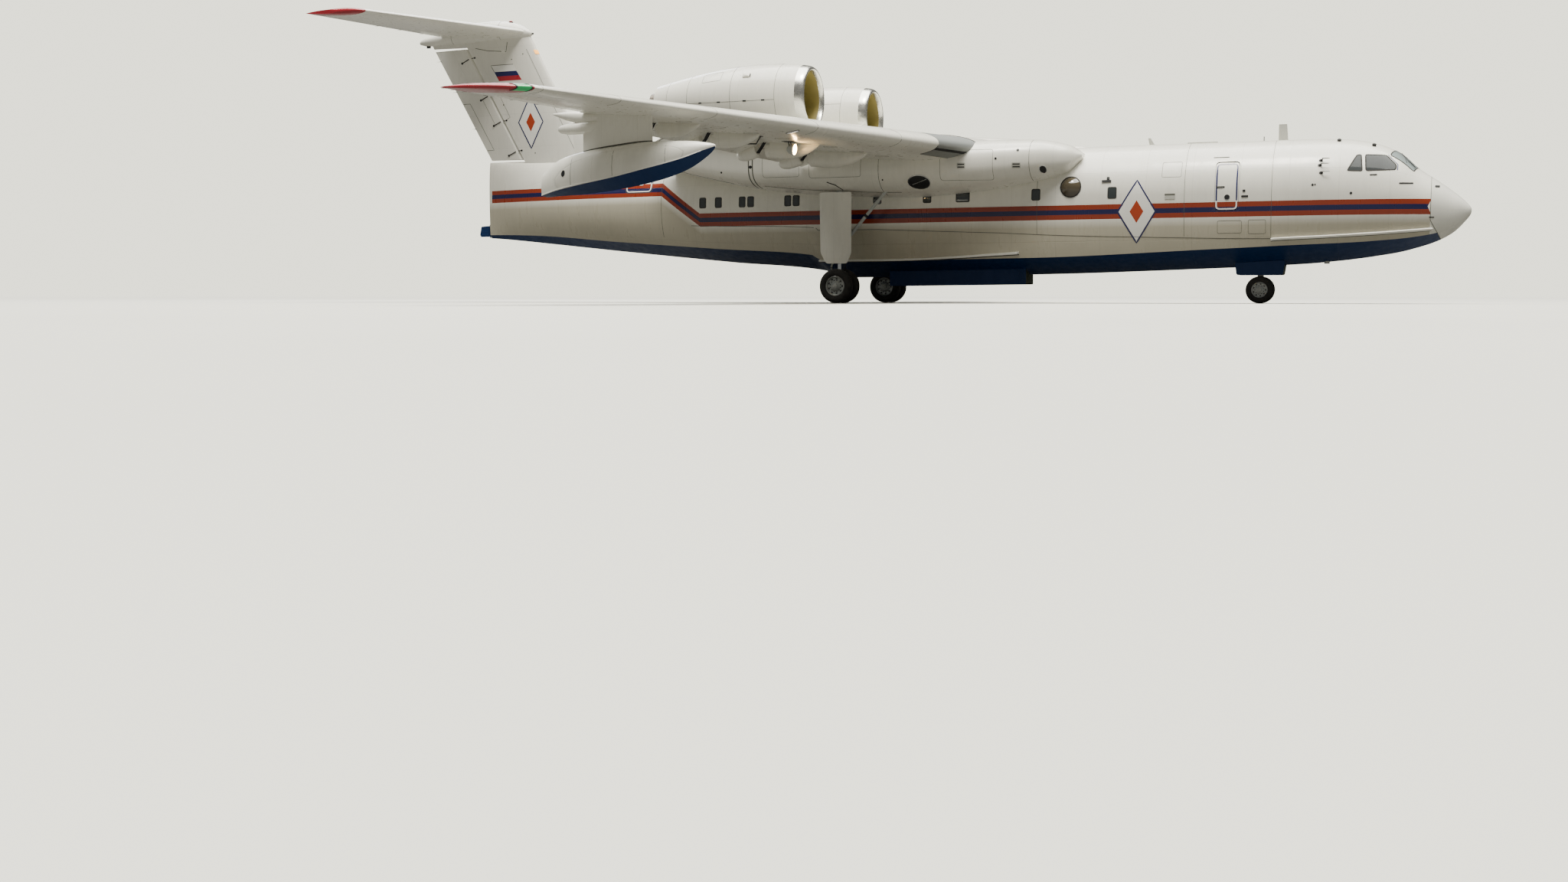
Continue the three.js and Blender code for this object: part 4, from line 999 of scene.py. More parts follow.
# %% Wing
FLAP_REST = 20  # degrees down
WING_TIP_START = 15.7
HALF_SPAN = 16.39
wing_panel = Panel(
    1.9, 3.77, WING_LEAD_SLOPE, -1.03, -0.1745, NOSE_HEIGHT + 1.8, 0.0174, 0.16, -0.0032, 0.012,
    tip=(WING_TIP_START, [(16.0, -2.17, -3.51), (16.22, -2.56, -3.56), (16.34, -2.96, -3.59),
                          (HALF_SPAN, -3.33, -3.59)]))
flap_inner = Hinge(wing_panel, 0.72, 3.05, 7.25)
flap_outer = Hinge(wing_panel, 0.72, 7.4, 11.6)
aileron = Hinge(wing_panel, 0.72, 12.27, 15.45)
tip_spans = [WING_TIP_START + (HALF_SPAN - WING_TIP_START) * math.sin(math.radians(a)) for a in range(0, 91,
        10)]
wing = panel_shape(wing_panel, [0.62, 1.9, 2.5, 4.4, 5.8, 9.5, 12.0, 13.8, *tip_spans],
                   [h.bay() for h in (flap_inner, flap_outer, aileron)], flap_inner.forward,
                   tip_finish_from=WING_TIP_START)

CANOES = [
    # span, length in front of the hinge, length behind it, half width, depth below the skin
    (4.4, 1.66, 1.25, 0.140, 0.42),
    (6.3, 1.50, 1.15, 0.132, 0.39),
    (8.5, 1.34, 1.05, 0.122, 0.36),
    (10.5, 1.18, 0.95, 0.112, 0.33),
]
CANOE_REAR = 0.06  # how far in front of the hinge the fixed part ends
CANOE_TUCK = 0.035  # how far below the skin its tail passes under the flap's nose


def canoe_rings(rows, matrix=Matrix()):
    """Rounded deep sections: rows of (x, y, top, bottom, half width)."""
    return [[matrix @ Vector((x, y + half * math.copysign(abs(c) ** 0.85, c),
                              (top + bottom) / 2 + (top - bottom) / 2 * s))
             for c, s in circle(24)] for x, y, top, bottom, half in rows]


for span, front, back, half, depth in CANOES:
    lead, trail = wing_panel.straight_edges(span)
    hinge_x = lead - 0.72 * (lead - trail)
    bay_x = hinge_x + wing_panel.half_thickness(0.72, span) + RUN
    rows = []
    for share, fullness in ((0.0, 0.03), (0.03, 0.16), (0.1, 0.34), (0.22, 0.58), (0.38, 0.8), (0.56, 0.95),
                            (0.75, 1.0), (1.0, 1.0)):
        x = hinge_x + front + (bay_x + 0.02 - hinge_x - front) * share
        under = wing_panel.point(x, span, -1).z
        rows.append((x, span, under + 0.08 * fullness, under - depth * fullness, half * fullness ** 0.7))
    for x, fullness in ((bay_x + 0.012, 1.0), (hinge_x + CANOE_REAR + 0.03, 0.98), (hinge_x + CANOE_REAR, 0.9)):
        under = wing_panel.point(bay_x, span, -1).z
        rows.append((x, span, under - CANOE_TUCK, under - depth * fullness, half * fullness))
    wing.loft(canoe_rings(rows))

# Between flap and aileron the float's strut runs out behind the wing: a point over a round stub
FLOAT_Y = 11.9
STRUT_TAILS = [
    # x, top, bottom, half width
    [(-2.30, 1.98, 1.80, 0.05), (-2.70, 2.00, 1.74, 0.10), (-3.00, 2.02, 1.76, 0.11), (-3.30, 2.02, 1.84, 0.08),
     (-3.62, 2.00, 1.97, 0.012)],
    [(-2.30, 1.85, 1.70, 0.05), (-2.60, 1.80, 1.55, 0.11), (-2.90, 1.78, 1.51, 0.13), (-3.20, 1.76, 1.51, 0.13),
     (-3.40, 1.72, 1.54, 0.10), (-3.47, 1.68, 1.59, 0.05)],
]
for tail in STRUT_TAILS:
    wing.loft(canoe_rings([(x, FLOAT_Y, NOSE_HEIGHT + top, NOSE_HEIGHT + bottom, half) for x, top, bottom,
                           half in tail]))
wing_finishes = [wing_white, tip_red]
add_pair("wing_skin", wing, wing_finishes, stands_for=["wing_{}"], slot="white_paint")

# %% Flaps and ailerons
for name, hinge, canoes in (("flap_inner", flap_inner, CANOES[:2]), ("flap_outer", flap_outer, CANOES[2:])):
    shape = control_shape(hinge, trail_rise=-0.012 * hinge.backs[0], turn=-FLAP_REST)
    turned_matrix = hinge.matrix @ Matrix.Rotation(math.radians(-FLAP_REST), 4, "Y")
    inverse = hinge.matrix.inverted()
    for span, front, back, half, depth in canoes:
        lead, trail = wing_panel.straight_edges(span)
        middle = wing_panel.middle + wing_panel.middle_slope * (span - wing_panel.reference)
        local = inverse @ Vector((lead - 0.72 * (lead - trail), span, middle))
        nose = wing_panel.half_thickness(0.72, span)
        rows = []
        for behind, width, sag in ((0.40, 0.86, 0.86), (0.43, 0.95, 0.95), (0.5, 1.0, 1.0),
                                   (0.62 * back, 0.97, 0.97), (0.78 * back, 0.86, 0.88),
                                   (0.9 * back, 0.7, 0.72), (0.97 * back, 0.5, 0.52), (0.995 * back, 0.3, 0.36),
                                   (back, 0.1, 0.2)):
            top = -nose * (1 - behind / hinge.backs[0]) + 0.06 * sag
            rows.append((-behind, local.y - 0.24 * behind, top, top - (0.8 * depth + 0.03) * sag,
                         0.92 * half * width))
        shape.loft(canoe_rings(rows, turned_matrix))
        # The push rod's arm, from the cone's face to below the flap's nose
        for y in (-0.035, 0.035):
            arm = [(-0.44, -nose - 0.14), (-0.22, -nose - 0.06), (-0.05, -nose + 0.02)]
            shape.tube([turned_matrix @ Vector((x, local.y + y - 0.24 * -x, z)) for x, z in arm], 0.02, 10, 1)
    add_pair(f"{name}_skin", shape, [wing_white, dark_steel], name + "_{}", [name + "_{}"], slot="white_paint")
add_pair("aileron_skin", control_shape(aileron, trail_rise=-0.012 * aileron.backs[0]), [wing_white],
         "aileron_{}", ["aileron_{}"], slot="white_paint")

# %% Tail
RUDDER_BOTTOM, RUDDER_TOP = NOSE_HEIGHT + 2.17, NOSE_HEIGHT + 5.72
fin_panel = Panel(NOSE_HEIGHT + 2.12, -9.34, FIN_LEAD_SLOPE, -12.87, -0.582, thick=0.1, upright=True)
FIN_HINGE = 0.685
rudder_hinge = Hinge(fin_panel, FIN_HINGE, NOSE_HEIGHT + 1.9, NOSE_HEIGHT + 6.0)


def fin_hinge_x(z):
    lead, trail = fin_panel.straight_edges(z)
    return lead - FIN_HINGE * (lead - trail)


def fin_cut_x(z):
    return fin_hinge_x(z) + (rudder_hinge.noses[0] + RUN) * 1.16


rudder_bay = [(NOSE_HEIGHT + 1.9, fin_cut_x(NOSE_HEIGHT + 1.9)),
              (RUDDER_TOP + 0.08, fin_cut_x(RUDDER_TOP + 0.08))]
fin = panel_shape(fin_panel, spread(NOSE_HEIGHT + 1.9, NOSE_HEIGHT + 6.0, 8), [rudder_bay])
ridge_row = smooth_table([
    # x, half width, top
    (-7.0005, 0.300, 2.540), (-7.710, 0.250, 2.660), (-8.430, 0.200, 2.780),
    (-9.340, 0.150, 3.020), (-9.950, 0.110, 3.270), (-10.600, 0.060, 3.300)])
rings = []
for x in spread(-10.6, -7.0, 18):
    half, top = ridge_row(x)
    ring = [Vector((x, 0, NOSE_HEIGHT + 1.9))]
    for k in range(13):
        angle = math.pi * k / 12
        flare = 1 + 0.2 * (1 - math.sin(angle))
        y = half * flare * math.copysign(abs(math.cos(angle)) ** 0.8, math.cos(angle))
        ring.append(Vector((x, y, NOSE_HEIGHT + 1.9 + (top - 1.9) * math.sin(angle) ** 0.9)))
    rings.append(ring)
fin.loft(rings)
add_piece("fin_skin", fin.mesh("fin_skin", [tail_white]), stands_for=["fin"], slot="white_paint")

rudder = Shape()
rings = []
for z in spread(RUDDER_BOTTOM, RUDDER_TOP, 9):
    nose = rudder_hinge.noses[0] + (rudder_hinge.noses[1] - rudder_hinge.noses[0]) * (z - NOSE_HEIGHT - 1.9) / 4.1
    x0, trail = fin_hinge_x(z), fin_panel.straight_edges(z)[1]
    ring = []
    for k in range(15):
        angle = math.radians(96 - 192 * k / 14)
        ring.append(Vector((x0 + 1.12 * nose * math.cos(angle), nose * math.sin(angle), z)))
    for t in (0.25, 0.5, 0.75, 1.0):
        ring.append(Vector((x0 + (trail - x0) * t, -nose * (1 - t) - EDGE * t, z)))
    for t in (1.0, 0.75, 0.5, 0.25):
        ring.append(Vector((x0 + (trail - x0) * t, nose * (1 - t) + EDGE * t, z)))
    rings.append(ring)
rudder.loft(rings)
add_piece("rudder_skin", rudder.mesh("rudder_skin", [tail_white]), "rudder", ["rudder"], slot="white_paint")

bullet_row = smooth_table([
    # x, radius, centre z
    (-11.35, 0.030, 6.08), (-11.52, 0.150, 6.11), (-11.90, 0.260, 6.165), (-12.60, 0.335, 6.215),
    (-13.50, 0.335, 6.200), (-14.40, 0.240, 6.130), (-15.10, 0.155, 6.065), (-15.40, 0.112, 6.045),
    (-15.53, 0.060, 6.035)],
    lambda x: -math.sqrt(max(-11.34 - x, 0.0)) if x > -12.3 else -math.sqrt(0.96) + (x + 12.3) * 0.51)
bullet = Shape()
bullet_xs = [-11.34 - 0.96 * (k / 9) ** 2 for k in range(1, 10)] + spread(-12.5, -15.53, 18)
bullet.loft([[Vector((x, bullet_row(x)[0] * s, NOSE_HEIGHT + bullet_row(x)[1] - bullet_row(x)[0] * c))
              for c, s in circle(32)] for x in bullet_xs])
add_piece("bullet_skin", bullet.mesh("bullet_skin", [tail_white]), stands_for=["fin_bullet"],
          slot="white_paint")

stabilizer_panel = Panel(
    0.25, -11.6, -0.543, -14.57, -0.3022, NOSE_HEIGHT + 6.14, 0.012,
    tip=(4.8, [(4.98, -14.33, -16.005), (5.05, -14.9, -16.025)]))
elevator_hinge = Hinge(stabilizer_panel, 0.7, 0.62, 4.6)
tip_spans = [4.8 + 0.25 * math.sin(math.radians(a)) for a in range(0, 91, 15)]
stabilizer = panel_shape(stabilizer_panel, [0.02, 1.5, 3.0, 4.3, *tip_spans], [elevator_hinge.bay()],
                         elevator_hinge.forward, tip_finish_from=4.8)
add_pair("stabilizer_skin", stabilizer, [tail_white, tip_red], stands_for=["stabilizer_{}"], slot="white_paint")
add_pair("elevator_skin", control_shape(elevator_hinge), [tail_white], "elevator_{}", ["elevator_{}"],
         slot="white_paint")

# %% [markdown]
# ## Fairings, floats and engines
#
# The big pods beside the hull hold the main wheels and carry the wing's root. The floats under the
# wings are small boats of their own, with a chine and a flat stern. The nacelles are turned forms:
# one profile runs from the nozzle forward over the lip and back down the duct.

# %% Gear fairings and the fairing over the wing
FAIRING_SECTIONS = [
    # x, outer y, bottom z, top z
    (6.35, 1.18, 1.540, 1.68),
    (6.00, 1.62, 1.140, 1.90),
    (5.20, 2.06, 0.930, 2.06),
    (4.00, 2.40, 0.740, 2.08),
    (1.74, 2.66, 0.585, 2.04),
    (-0.60, 2.76, 0.680, 2.02),
    (-2.74, 2.77, 0.888, 2.18),
    (-4.50, 2.70, 1.250, 2.26),
    (-5.85, 2.56, 1.610, 2.24),
    (-6.00, 2.48, 1.700, 2.20),
]
FAIRING_INNER = 0.601
fairing_row = smooth_table(FAIRING_SECTIONS)


def bulged(value, power):
    return math.copysign(abs(value) ** power, value)


def fairing_power(x):
    """How square the section is: round in front, boxy behind the wing."""
    return 0.8 - 0.28 * min(1.0, max(0.0, (-1.5 - x) / 2.5))


def fairing_point(x, angle):
    outer, bottom, top = fairing_row(x)
    power = fairing_power(x)
    shoulder = FAIRING_INNER + 0.3 * (outer - FAIRING_INNER)
    return Vector((x, shoulder + (outer - shoulder) * bulged(math.cos(angle), power),
                   NOSE_HEIGHT + (top + bottom) / 2 + (top - bottom) / 2 * bulged(math.sin(angle), power)))


def fairing_skin(x, z):
    """The point of the outer side of the gear fairing at x and a height, and its outward direction."""
    _, bottom, top = fairing_row(x)
    share = max(-0.999, min(0.999, (z - (top + bottom) / 2) / ((top - bottom) / 2)))
    angle = math.asin(bulged(share, 1 / fairing_power(x)))
    around = fairing_point(x, angle + 0.01) - fairing_point(x, angle - 0.01)
    ahead = fairing_point(x + 0.01, angle) - fairing_point(x - 0.01, angle)
    normal = ahead.cross(around).normalized()
    return fairing_point(x, angle), normal if normal.y > 0 else -normal


fairing_xs = spread(-6.0, -5.7, 5) + spread(-5.55, 5.0, 44) + spread(5.2, 6.35, 12)
fairing = Shape()
fairing.loft([[Vector((x, FAIRING_INNER, NOSE_HEIGHT + fairing_row(x)[1])),
               *(fairing_point(x, math.radians(a)) for a in spread(-90, 90, 33)),
               Vector((x, FAIRING_INNER, NOSE_HEIGHT + fairing_row(x)[2]))] for x in fairing_xs])
add_pair("gear_fairing_skin", fairing, [skin_white], stands_for=["gear_fairing_{}"], slot="white_paint")

crown_row = smooth_table([
    # x, half width, top
    (6.3, 0.12, 1.93), (5.6, 0.42, 2.01), (4.4, 0.60, 2.20), (2.6, 0.60, 2.33), (-1.5, 0.60, 2.36),
    (-5.0, 0.56, 2.42), (-6.9, 0.38, 2.48), (-7.0, 0.372, 2.48)])
crown = Shape()
rings = []
for x in spread(-7.0, 6.3, 54):
    half, top = crown_row(x)
    ring = [Vector((x, 0, NOSE_HEIGHT + 1.5)), Vector((x, half, NOSE_HEIGHT + 1.5))]
    ring += [Vector((x, half * math.cos(a), NOSE_HEIGHT + top - 0.26 + 0.26 * math.sin(a)))
             for a in (math.pi * k / 18 for k in range(19))]
    rings.append([*ring, Vector((x, -half, NOSE_HEIGHT + 1.5))])
crown.loft(rings)
add_piece("wing_centre_skin", crown.mesh("wing_centre_skin", [skin_white]),
          stands_for=["wing_centre_fairing"], slot="white_paint")

# %% Floats
FLOAT_SECTIONS = [
    # x, half width, keel z, chine z, top z
    (0.46, 0.030, 1.100, 1.125, 1.160),
    (0.25, 0.170, 0.900, 1.035, 1.215),
    (-0.25, 0.300, 0.620, 0.850, 1.265),
    (-1.10, 0.390, 0.380, 0.650, 1.280),
    (-2.00, 0.390, 0.235, 0.470, 1.210),
    (-2.82, 0.340, 0.160, 0.340, 1.110),
    (-3.42, 0.290, 0.130, 0.230, 0.955),
    (-3.81, 0.240, 0.110, 0.130, 0.690),
]
float_row = smooth_table(FLOAT_SECTIONS, lambda x: x if x < -1.1 else -1.1 + 2 * 1.26 * (1.26 - math.sqrt(0.4876 - x)))
FLOAT_SIDE = [(1.0, 0.0), (1.03, 0.17), (1.04, 0.35), (0.99, 0.53), (0.9, 0.7), (0.75, 0.83), (0.55, 0.93),
              (0.28, 0.985)]


def float_ring(x):
    half, keel, chine, top = float_row(x)
    side = [(half * t, keel + (chine - keel) * t) for t in (0.33, 0.67)]
    side += [(half * width, chine + rise * (top - chine)) for width, rise in FLOAT_SIDE]
    outline = [(0, keel), *side, (0, top), *((-y, z) for y, z in reversed(side))]
    return [Vector((x, FLOAT_Y + y, NOSE_HEIGHT + z)) for y, z in outline]


float_xs = spread(-3.81, -1.1, 22)[:-1] + [0.4876 - (1.26 - t) ** 2 for t in spread(0.0, 1.094, 16)]
wing_float = Shape()
around = len(float_ring(0.0))
wing_float.loft([float_ring(x) for x in float_xs], lambda r, i: 1 if 0 <= i < 3 or i >= around - 3 else 0)
add_pair("float_skin", wing_float, [wing_white, bottom_navy], stands_for=["float_{}"], slot="white_paint")

strut = Shape()
strut_rows = [(-1.08, 0.006), (-1.10, 0.03), (-1.25, 0.075), (-1.45, 0.1), (-1.7, 0.11), (-2.0, 0.1),
              (-2.3, 0.085),
              (-2.6, 0.045), (-2.84, 0.008)]
outline = [(x, half) for x, half in strut_rows] + [(x, -half) for x, half in reversed(strut_rows)]
strut_low, strut_high = NOSE_HEIGHT + 0.9, NOSE_HEIGHT + 1.98
strut.prism(outline, Matrix.Translation((0, FLOAT_Y, 0)), strut_low, strut_high)
add_pair("float_strut_skin", strut, [wing_white], stands_for=["float_pylon_{}"], slot="white_paint")

# %% Nacelles
ENGINE_Y, ENGINE_Z = 2.6, NOSE_HEIGHT + 3.31
ENGINE_SIDES = 72
engine_at = Matrix.Translation((0, ENGINE_Y, ENGINE_Z))
NACELLE_PATH = [
    # x, radius: over the outside to the lip, then back down the duct
    (-5.50, 0.530), (-5.10, 0.617), (-4.70, 0.697), (-4.10, 0.808), (-3.50, 0.895), (-2.90, 0.947),
    (-2.30, 0.965),
    (-1.85, 0.955), (-1.45, 0.935), (-1.20, 0.910), (-1.00, 0.880), (-0.90, 0.857), (-0.83, 0.823),
    (-0.80, 0.785),
    (-0.812, 0.755), (-0.86, 0.732), (-0.98, 0.706), (-1.15, 0.690), (-1.55, 0.690), (-2.30, 0.695),
    (-3.00, 0.755),
    (-4.10, 0.715), (-4.70, 0.625), (-5.50, 0.508),
]
path = [tuple(p) for p in smooth_path(NACELLE_PATH, 3)]
LIP_BACK_OUTSIDE, LIP_BACK_INSIDE = -1.02, -0.90
lip_from = min(i for i, (x, _) in enumerate(path) if x > LIP_BACK_OUTSIDE)
lip_to = max(i for i, (x, _) in enumerate(path) if x > LIP_BACK_INSIDE)


def nacelle_finish(r):
    if r < lip_from - 1:
        return 0
    if r <= lip_to:
        return 1
    return 2 if path[r][0] > -2.4 else 3


nacelle = Shape()
nacelle.turned(path, ENGINE_SIDES, engine_at, closed=True)
sides_count = len(nacelle.faces) // len(path)
nacelle.finishes = [nacelle_finish(k // sides_count) for k in range(len(nacelle.faces))]
add_pair("nacelle_skin", nacelle, [skin_white, lip_metal, duct_olive, nozzle_metal],
         stands_for=["nacelle_{}"], slot="white_paint")

core = Shape()
core_profile = smooth_path([(-1.951, 0.26), (-2.2, 0.4), (-3.2, 0.47), (-4.0, 0.468), (-4.7, 0.45),
                            (-5.75, 0.335)], 5)
core.turned([(-1.951, 0.001), *(tuple(p) for p in core_profile), (-5.75, 0.30), (-5.3, 0.29), (-5.5, 0.2),
             (-5.8, 0.12),
             (-6.05, 0.08), (-6.15, 0.001)], 48, engine_at)
add_pair("engine_core", core, [nozzle_metal], stands_for=["engine_{}"], slot="hot_metal")

# The pylon rises from the fairing's flank and narrows to the nacelle. Its tail slopes up and forward.
PYLON_Y, PYLON_BASE, PYLON_SHOULDER = 2.48, 1.92, 2.36
PYLON_TAIL, PYLON_TAIL_TOP, PYLON_TAIL_SLOPE = -5.86, 2.24, 0.47
pylon_row = smooth_table([
    # x, half width at the nacelle, inner and outer y at the base
    (-1.10, 0.020, 2.45, 2.51), (-1.20, 0.075, 2.40, 2.56), (-1.42, 0.115, 2.36, 2.60),
    (-1.70, 0.150, 2.32, 2.63), (-2.60, 0.200, 2.20, 2.70),
    (-4.20, 0.190, 2.17, 2.69), (-5.10, 0.140, 2.18, 2.63), (PYLON_TAIL, 0.080, 2.25, 2.52)])
cowl_row = smooth_table(NACELLE_PATH[:12])
engine_pylon = Shape()
rings, shoulder_line = [], []
for x in [*spread(PYLON_TAIL, -1.8, 34), -1.7, -1.55, -1.42, -1.3, -1.2, -1.15, -1.12, -1.1]:
    half, inner, outer = pylon_row(x)
    top = min(ENGINE_Z - NOSE_HEIGHT - cowl_row(x)[0] + 0.02,
              PYLON_TAIL_TOP + PYLON_TAIL_SLOPE * (x - PYLON_TAIL))
    low = min(PYLON_SHOULDER, top - 0.05)
    ring = [(outer, PYLON_BASE)] + [(PYLON_Y + half + (outer - PYLON_Y - half) * (1 - t) ** 1.7,
                                     low + (top - low) * t) for t in spread(0, 1, 6)]
    ring += [(PYLON_Y - half + (inner - PYLON_Y + half) * (1 - t) ** 1.7,
              low + (top - low) * t) for t in spread(1, 0, 6)] + [(inner, PYLON_BASE)]
    rings.append([Vector((x, y, NOSE_HEIGHT + z)) for y, z in ring])
    if x < -1.6:
        shoulder_line.append((x, outer + 0.001, NOSE_HEIGHT + low))
engine_pylon.loft(rings)
engine_pylon.tube(shoulder_line, 0.006, 8, 1)
add_pair("engine_pylon_skin", engine_pylon, [skin_white, sealant_and_painted_shadow], stands_for=["engine_pylon_{}"],
         slot="white_paint")

# %% [markdown]
# ## The flight deck's glass
#
# The windscreen is two curved panes of laminated glass, and each side has a large pane and a small
# triangular one behind it. They sit flush in black rubber seals. Each pane is a plate that follows
# the hull's own skin, with its seal as a ribbon along the same outline. A wiper rests on each screen.

# %% Flight deck glass
SCREEN = [(14.075, 1.63), (14.23, 1.975), (14.768, 1.975), (14.64, 1.57)]  # x and v
SIDE_PANE = [(13.52, 0.99), (13.49, 1.41), (13.985, 1.39), (14.225, 1.13), (14.215, 1.01)]  # x and height
QUARTER_PANE = [(13.08, 1.0), (13.29, 1.4), (13.39, 1.41), (13.43, 0.985)]


def pane(outline, skin, corner, seal=0.03, rings=6):
    """Glass, finish 0, in a rubber seal, finish 1."""
    outline = rounded(outline, corner)
    shape = Shape()
    shape.patch(outline, skin, 0.003, 0.02, 0, rings=rings, step=0.05)
    shape.ribbon(outline, seal, skin, 0.005, 0.01, 1, closed=True, step=0.04)
    return shape


def on_skin(skin, spots, out):
    """Points at heights above a skin. spots lists the two coordinates."""
    made = []
    for spot in spots:
        point, normal = skin(*spot)
        made.append(point + normal * out)
    return made


screen = pane(SCREEN, hull_skin, 0.05)
screen.tube(on_skin(hull_skin, [(14.65, 1.69), (14.50, 1.72)], 0.03), 0.011, 8, 2)
screen.tube(on_skin(hull_skin, [(14.50, 1.72), (14.36, 1.83)], 0.022), 0.007, 8, 2)
screen.tube(on_skin(hull_skin, [(14.46, 1.66), (14.36, 1.83), (14.33, 1.93)], 0.012), 0.008, 8, 2)
screen.tube(on_skin(hull_skin, [(14.65, 1.69), (14.652, 1.69)], 0.02), 0.022, 10, 2)
add_pair("windscreen_pane", screen, [screen_glass, rubber, mark_black], stands_for=["windscreen_{}"],
         slot="dark_glass")
add_pair("side_pane", pane(SIDE_PANE, hull_side, 0.05), [flight_deck_glass, rubber],
         stands_for=["side_window_{}"], slot="dark_glass")
add_pair("quarter_pane", pane(QUARTER_PANE, hull_side, 0.04), [flight_deck_glass, rubber],
         stands_for=["quarter_window_{}"], slot="dark_glass")
trim = Shape()
trim.ribbon([(14.02, 1.405), (14.262, 1.14), (14.255, 1.0)], 0.03, hull_side, 0.003, 0.004)
add_pair("side_pane_trim", trim, [line_blue])
print("Flight deck panes:", 6)

# %% [markdown]
# ## Entry doors
#
# A door on each side of the cabin is hinged along its upper edge and swings up and out. Its outer
# plate carries on the hull's curve and stripes, with a painted line round it that is blue on white
# and white over the stripes. Behind the plate are a frame and two beams. A recessed handle and a small
# round port are on it, and a barrel along the top turns on two pins.

# %% Entry doors
DOOR_INSET = 0.042
STRIPE_TOP = 0.273
HINGE_Y, HINGE_Z = 1.1582, 3.6192


def split_line(shape, outline, skin, level, width, finishes, height=0.003):
    """A closed painted line: one finish above a level and the other below it."""
    path = refined(outline, skin, 0.03, True)
    above = [i for i, spot in enumerate(path) if spot[1] >= level]
    first, last = above[0], above[-1]
    shape.ribbon(path[first:last + 1], width, skin, height, 0.002, finishes[0])
    shape.ribbon(path[last:] + path[:first + 1], width, skin, height, 0.002, finishes[1])


door = Shape()
door.patch(rounded(box_outline(DOOR_REAR, DOOR_FRONT, DOOR_SILL, DOOR_HINGE_Z), 0.1), hull_side,
           0.0, DOOR_THICK, 0, rings=8, under=1)
line = rounded(box_outline(DOOR_REAR + DOOR_INSET, DOOR_FRONT - DOOR_INSET, DOOR_SILL + DOOR_INSET,
                           DOOR_HINGE_Z - DOOR_INSET), 0.09)
split_line(door, line, hull_side, STRIPE_TOP, 0.036, (2, 3))
door.patch(rounded(box_outline(9.905, 10.115, 0.63, 0.675), 0.015), hull_side, 0.004, 0.01, 4, rings=2)
door.tube(on_skin(hull_side, [(9.93, 0.652), (9.94, 0.652), (10.07, 0.652), (10.08, 0.652)], 0.012), 0.008, 8,
          5)
door.patch(oval(10.18, 0.39, 0.062, 0.062), hull_side, 0.005, 0.01, 4, rings=2)
door.ribbon(oval(10.18, 0.39, 0.066, 0.066), 0.014, hull_side, 0.008, 0.01, 5, closed=True, step=0.02)
inner = rounded(box_outline(DOOR_REAR + 0.07, DOOR_FRONT - 0.07, DOOR_SILL + 0.07, DOOR_HINGE_Z - 0.09), 0.08)
door.ribbon(inner, 0.05, hull_side, -0.05, 0.07, 1, closed=True)
for height in (0.42, 0.82):
    door.ribbon([(DOOR_REAR + 0.08, height), (DOOR_FRONT - 0.08, height)], 0.05, hull_side, -0.05, 0.068, 1)
door.tube([(DOOR_REAR, HINGE_Y, HINGE_Z), (DOOR_FRONT, HINGE_Y, HINGE_Z)], 0.0275, 16, 6)
door.tube([(DOOR_REAR - 0.03, HINGE_Y, HINGE_Z), (DOOR_FRONT + 0.03, HINGE_Y, HINGE_Z)], 0.012, 12, 6)
add_pair("entry_door_panel", door,
         [hull_paint, bay_primer, line_blue, flag_white, mark_black, chrome, dark_steel],
         "entry_door_{}", ["entry_door_{}"], slot="white_paint")
print("Entry doors: 2")

# %% [markdown]
# ## Cabin windows
#
# Small windows with rounded corners run along the cabin at one height, some in pairs. Ahead of the
# wing a blown glass dome bulges out, so that an observer can look down. Each window is a plate on
# the skin in a thin black seal, and the dome is the same plate with its middle raised.

# %% Cabin windows
WINDOW_LOW, WINDOW_HIGH = 0.43, 0.72
CABIN_WINDOWS = [  # x and half width
    (7.22, 0.11), (5.17, 0.11), (3.13, 0.185), (2.11, 0.11), (0.65, 0.11), (-0.44, 0.11),
    (-1.81, 0.095), (-2.07, 0.095), (-3.24, 0.095), (-3.51, 0.095), (-4.28, 0.10), (-4.79, 0.10),
]
windows = Shape()
for x, half in CABIN_WINDOWS:
    outline = rounded(box_outline(x - half, x + half, WINDOW_LOW, WINDOW_HIGH), 0.04)
    windows.patch(outline, hull_side, 0.003, 0.02, 0, rings=3, step=0.05)
    windows.ribbon(outline, 0.022, hull_side, 0.005, 0.01, 1, closed=True, step=0.05)
add_pair("cabin_window_row", windows, [cabin_glass, rubber])

dome = Shape()
dome.patch(oval(6.11, 0.757, 0.265, 0.265, 40), hull_side, 0.003, 0.02, 0, rings=12, crown=0.11)
dome.ribbon(oval(6.11, 0.757, 0.272, 0.272, 40), 0.024, hull_side, 0.012, 0.01, 1, closed=True)
add_pair("observer_dome", dome, [dome_glass, mark_black])
print("Cabin windows on each side:", len(CABIN_WINDOWS))

# %% [markdown]
# ## Rear hatch
#
# A plug hatch behind the wing, on the right side only, lifts out in an emergency. It has no hinge, so
# it is drawn closed: a thin joint, the same two-colour line as the doors, and a flush handle.

# %% Rear hatch
HATCH = (-7.49, -6.55, 0.93, 1.49)
hatch = Shape()
hatch.ribbon(rounded(box_outline(*HATCH), 0.12), 0.012, hull_side, 0.002, 0.01, 0, closed=True)
inside = (HATCH[0] + 0.045, HATCH[1] - 0.045, HATCH[2] + 0.045, HATCH[3] - 0.045)
split_line(hatch, rounded(box_outline(*inside), 0.1), hull_side, 1.2, 0.036, (1, 2))
hatch.patch(rounded(box_outline(-7.2, -6.88, 1.16, 1.27), 0.03), hull_side, 0.006, 0.01, 2, rings=2)
hatch.tube(on_skin(hull_side, [(-7.16, 1.215), (-7.15, 1.215), (-6.93, 1.215), (-6.92, 1.215)], 0.015), 0.01, 8,
           3)
add_piece("rear_hatch", hatch.mirrored().mesh("rear_hatch", [sealant_and_painted_shadow, line_blue, flag_white, chrome]))

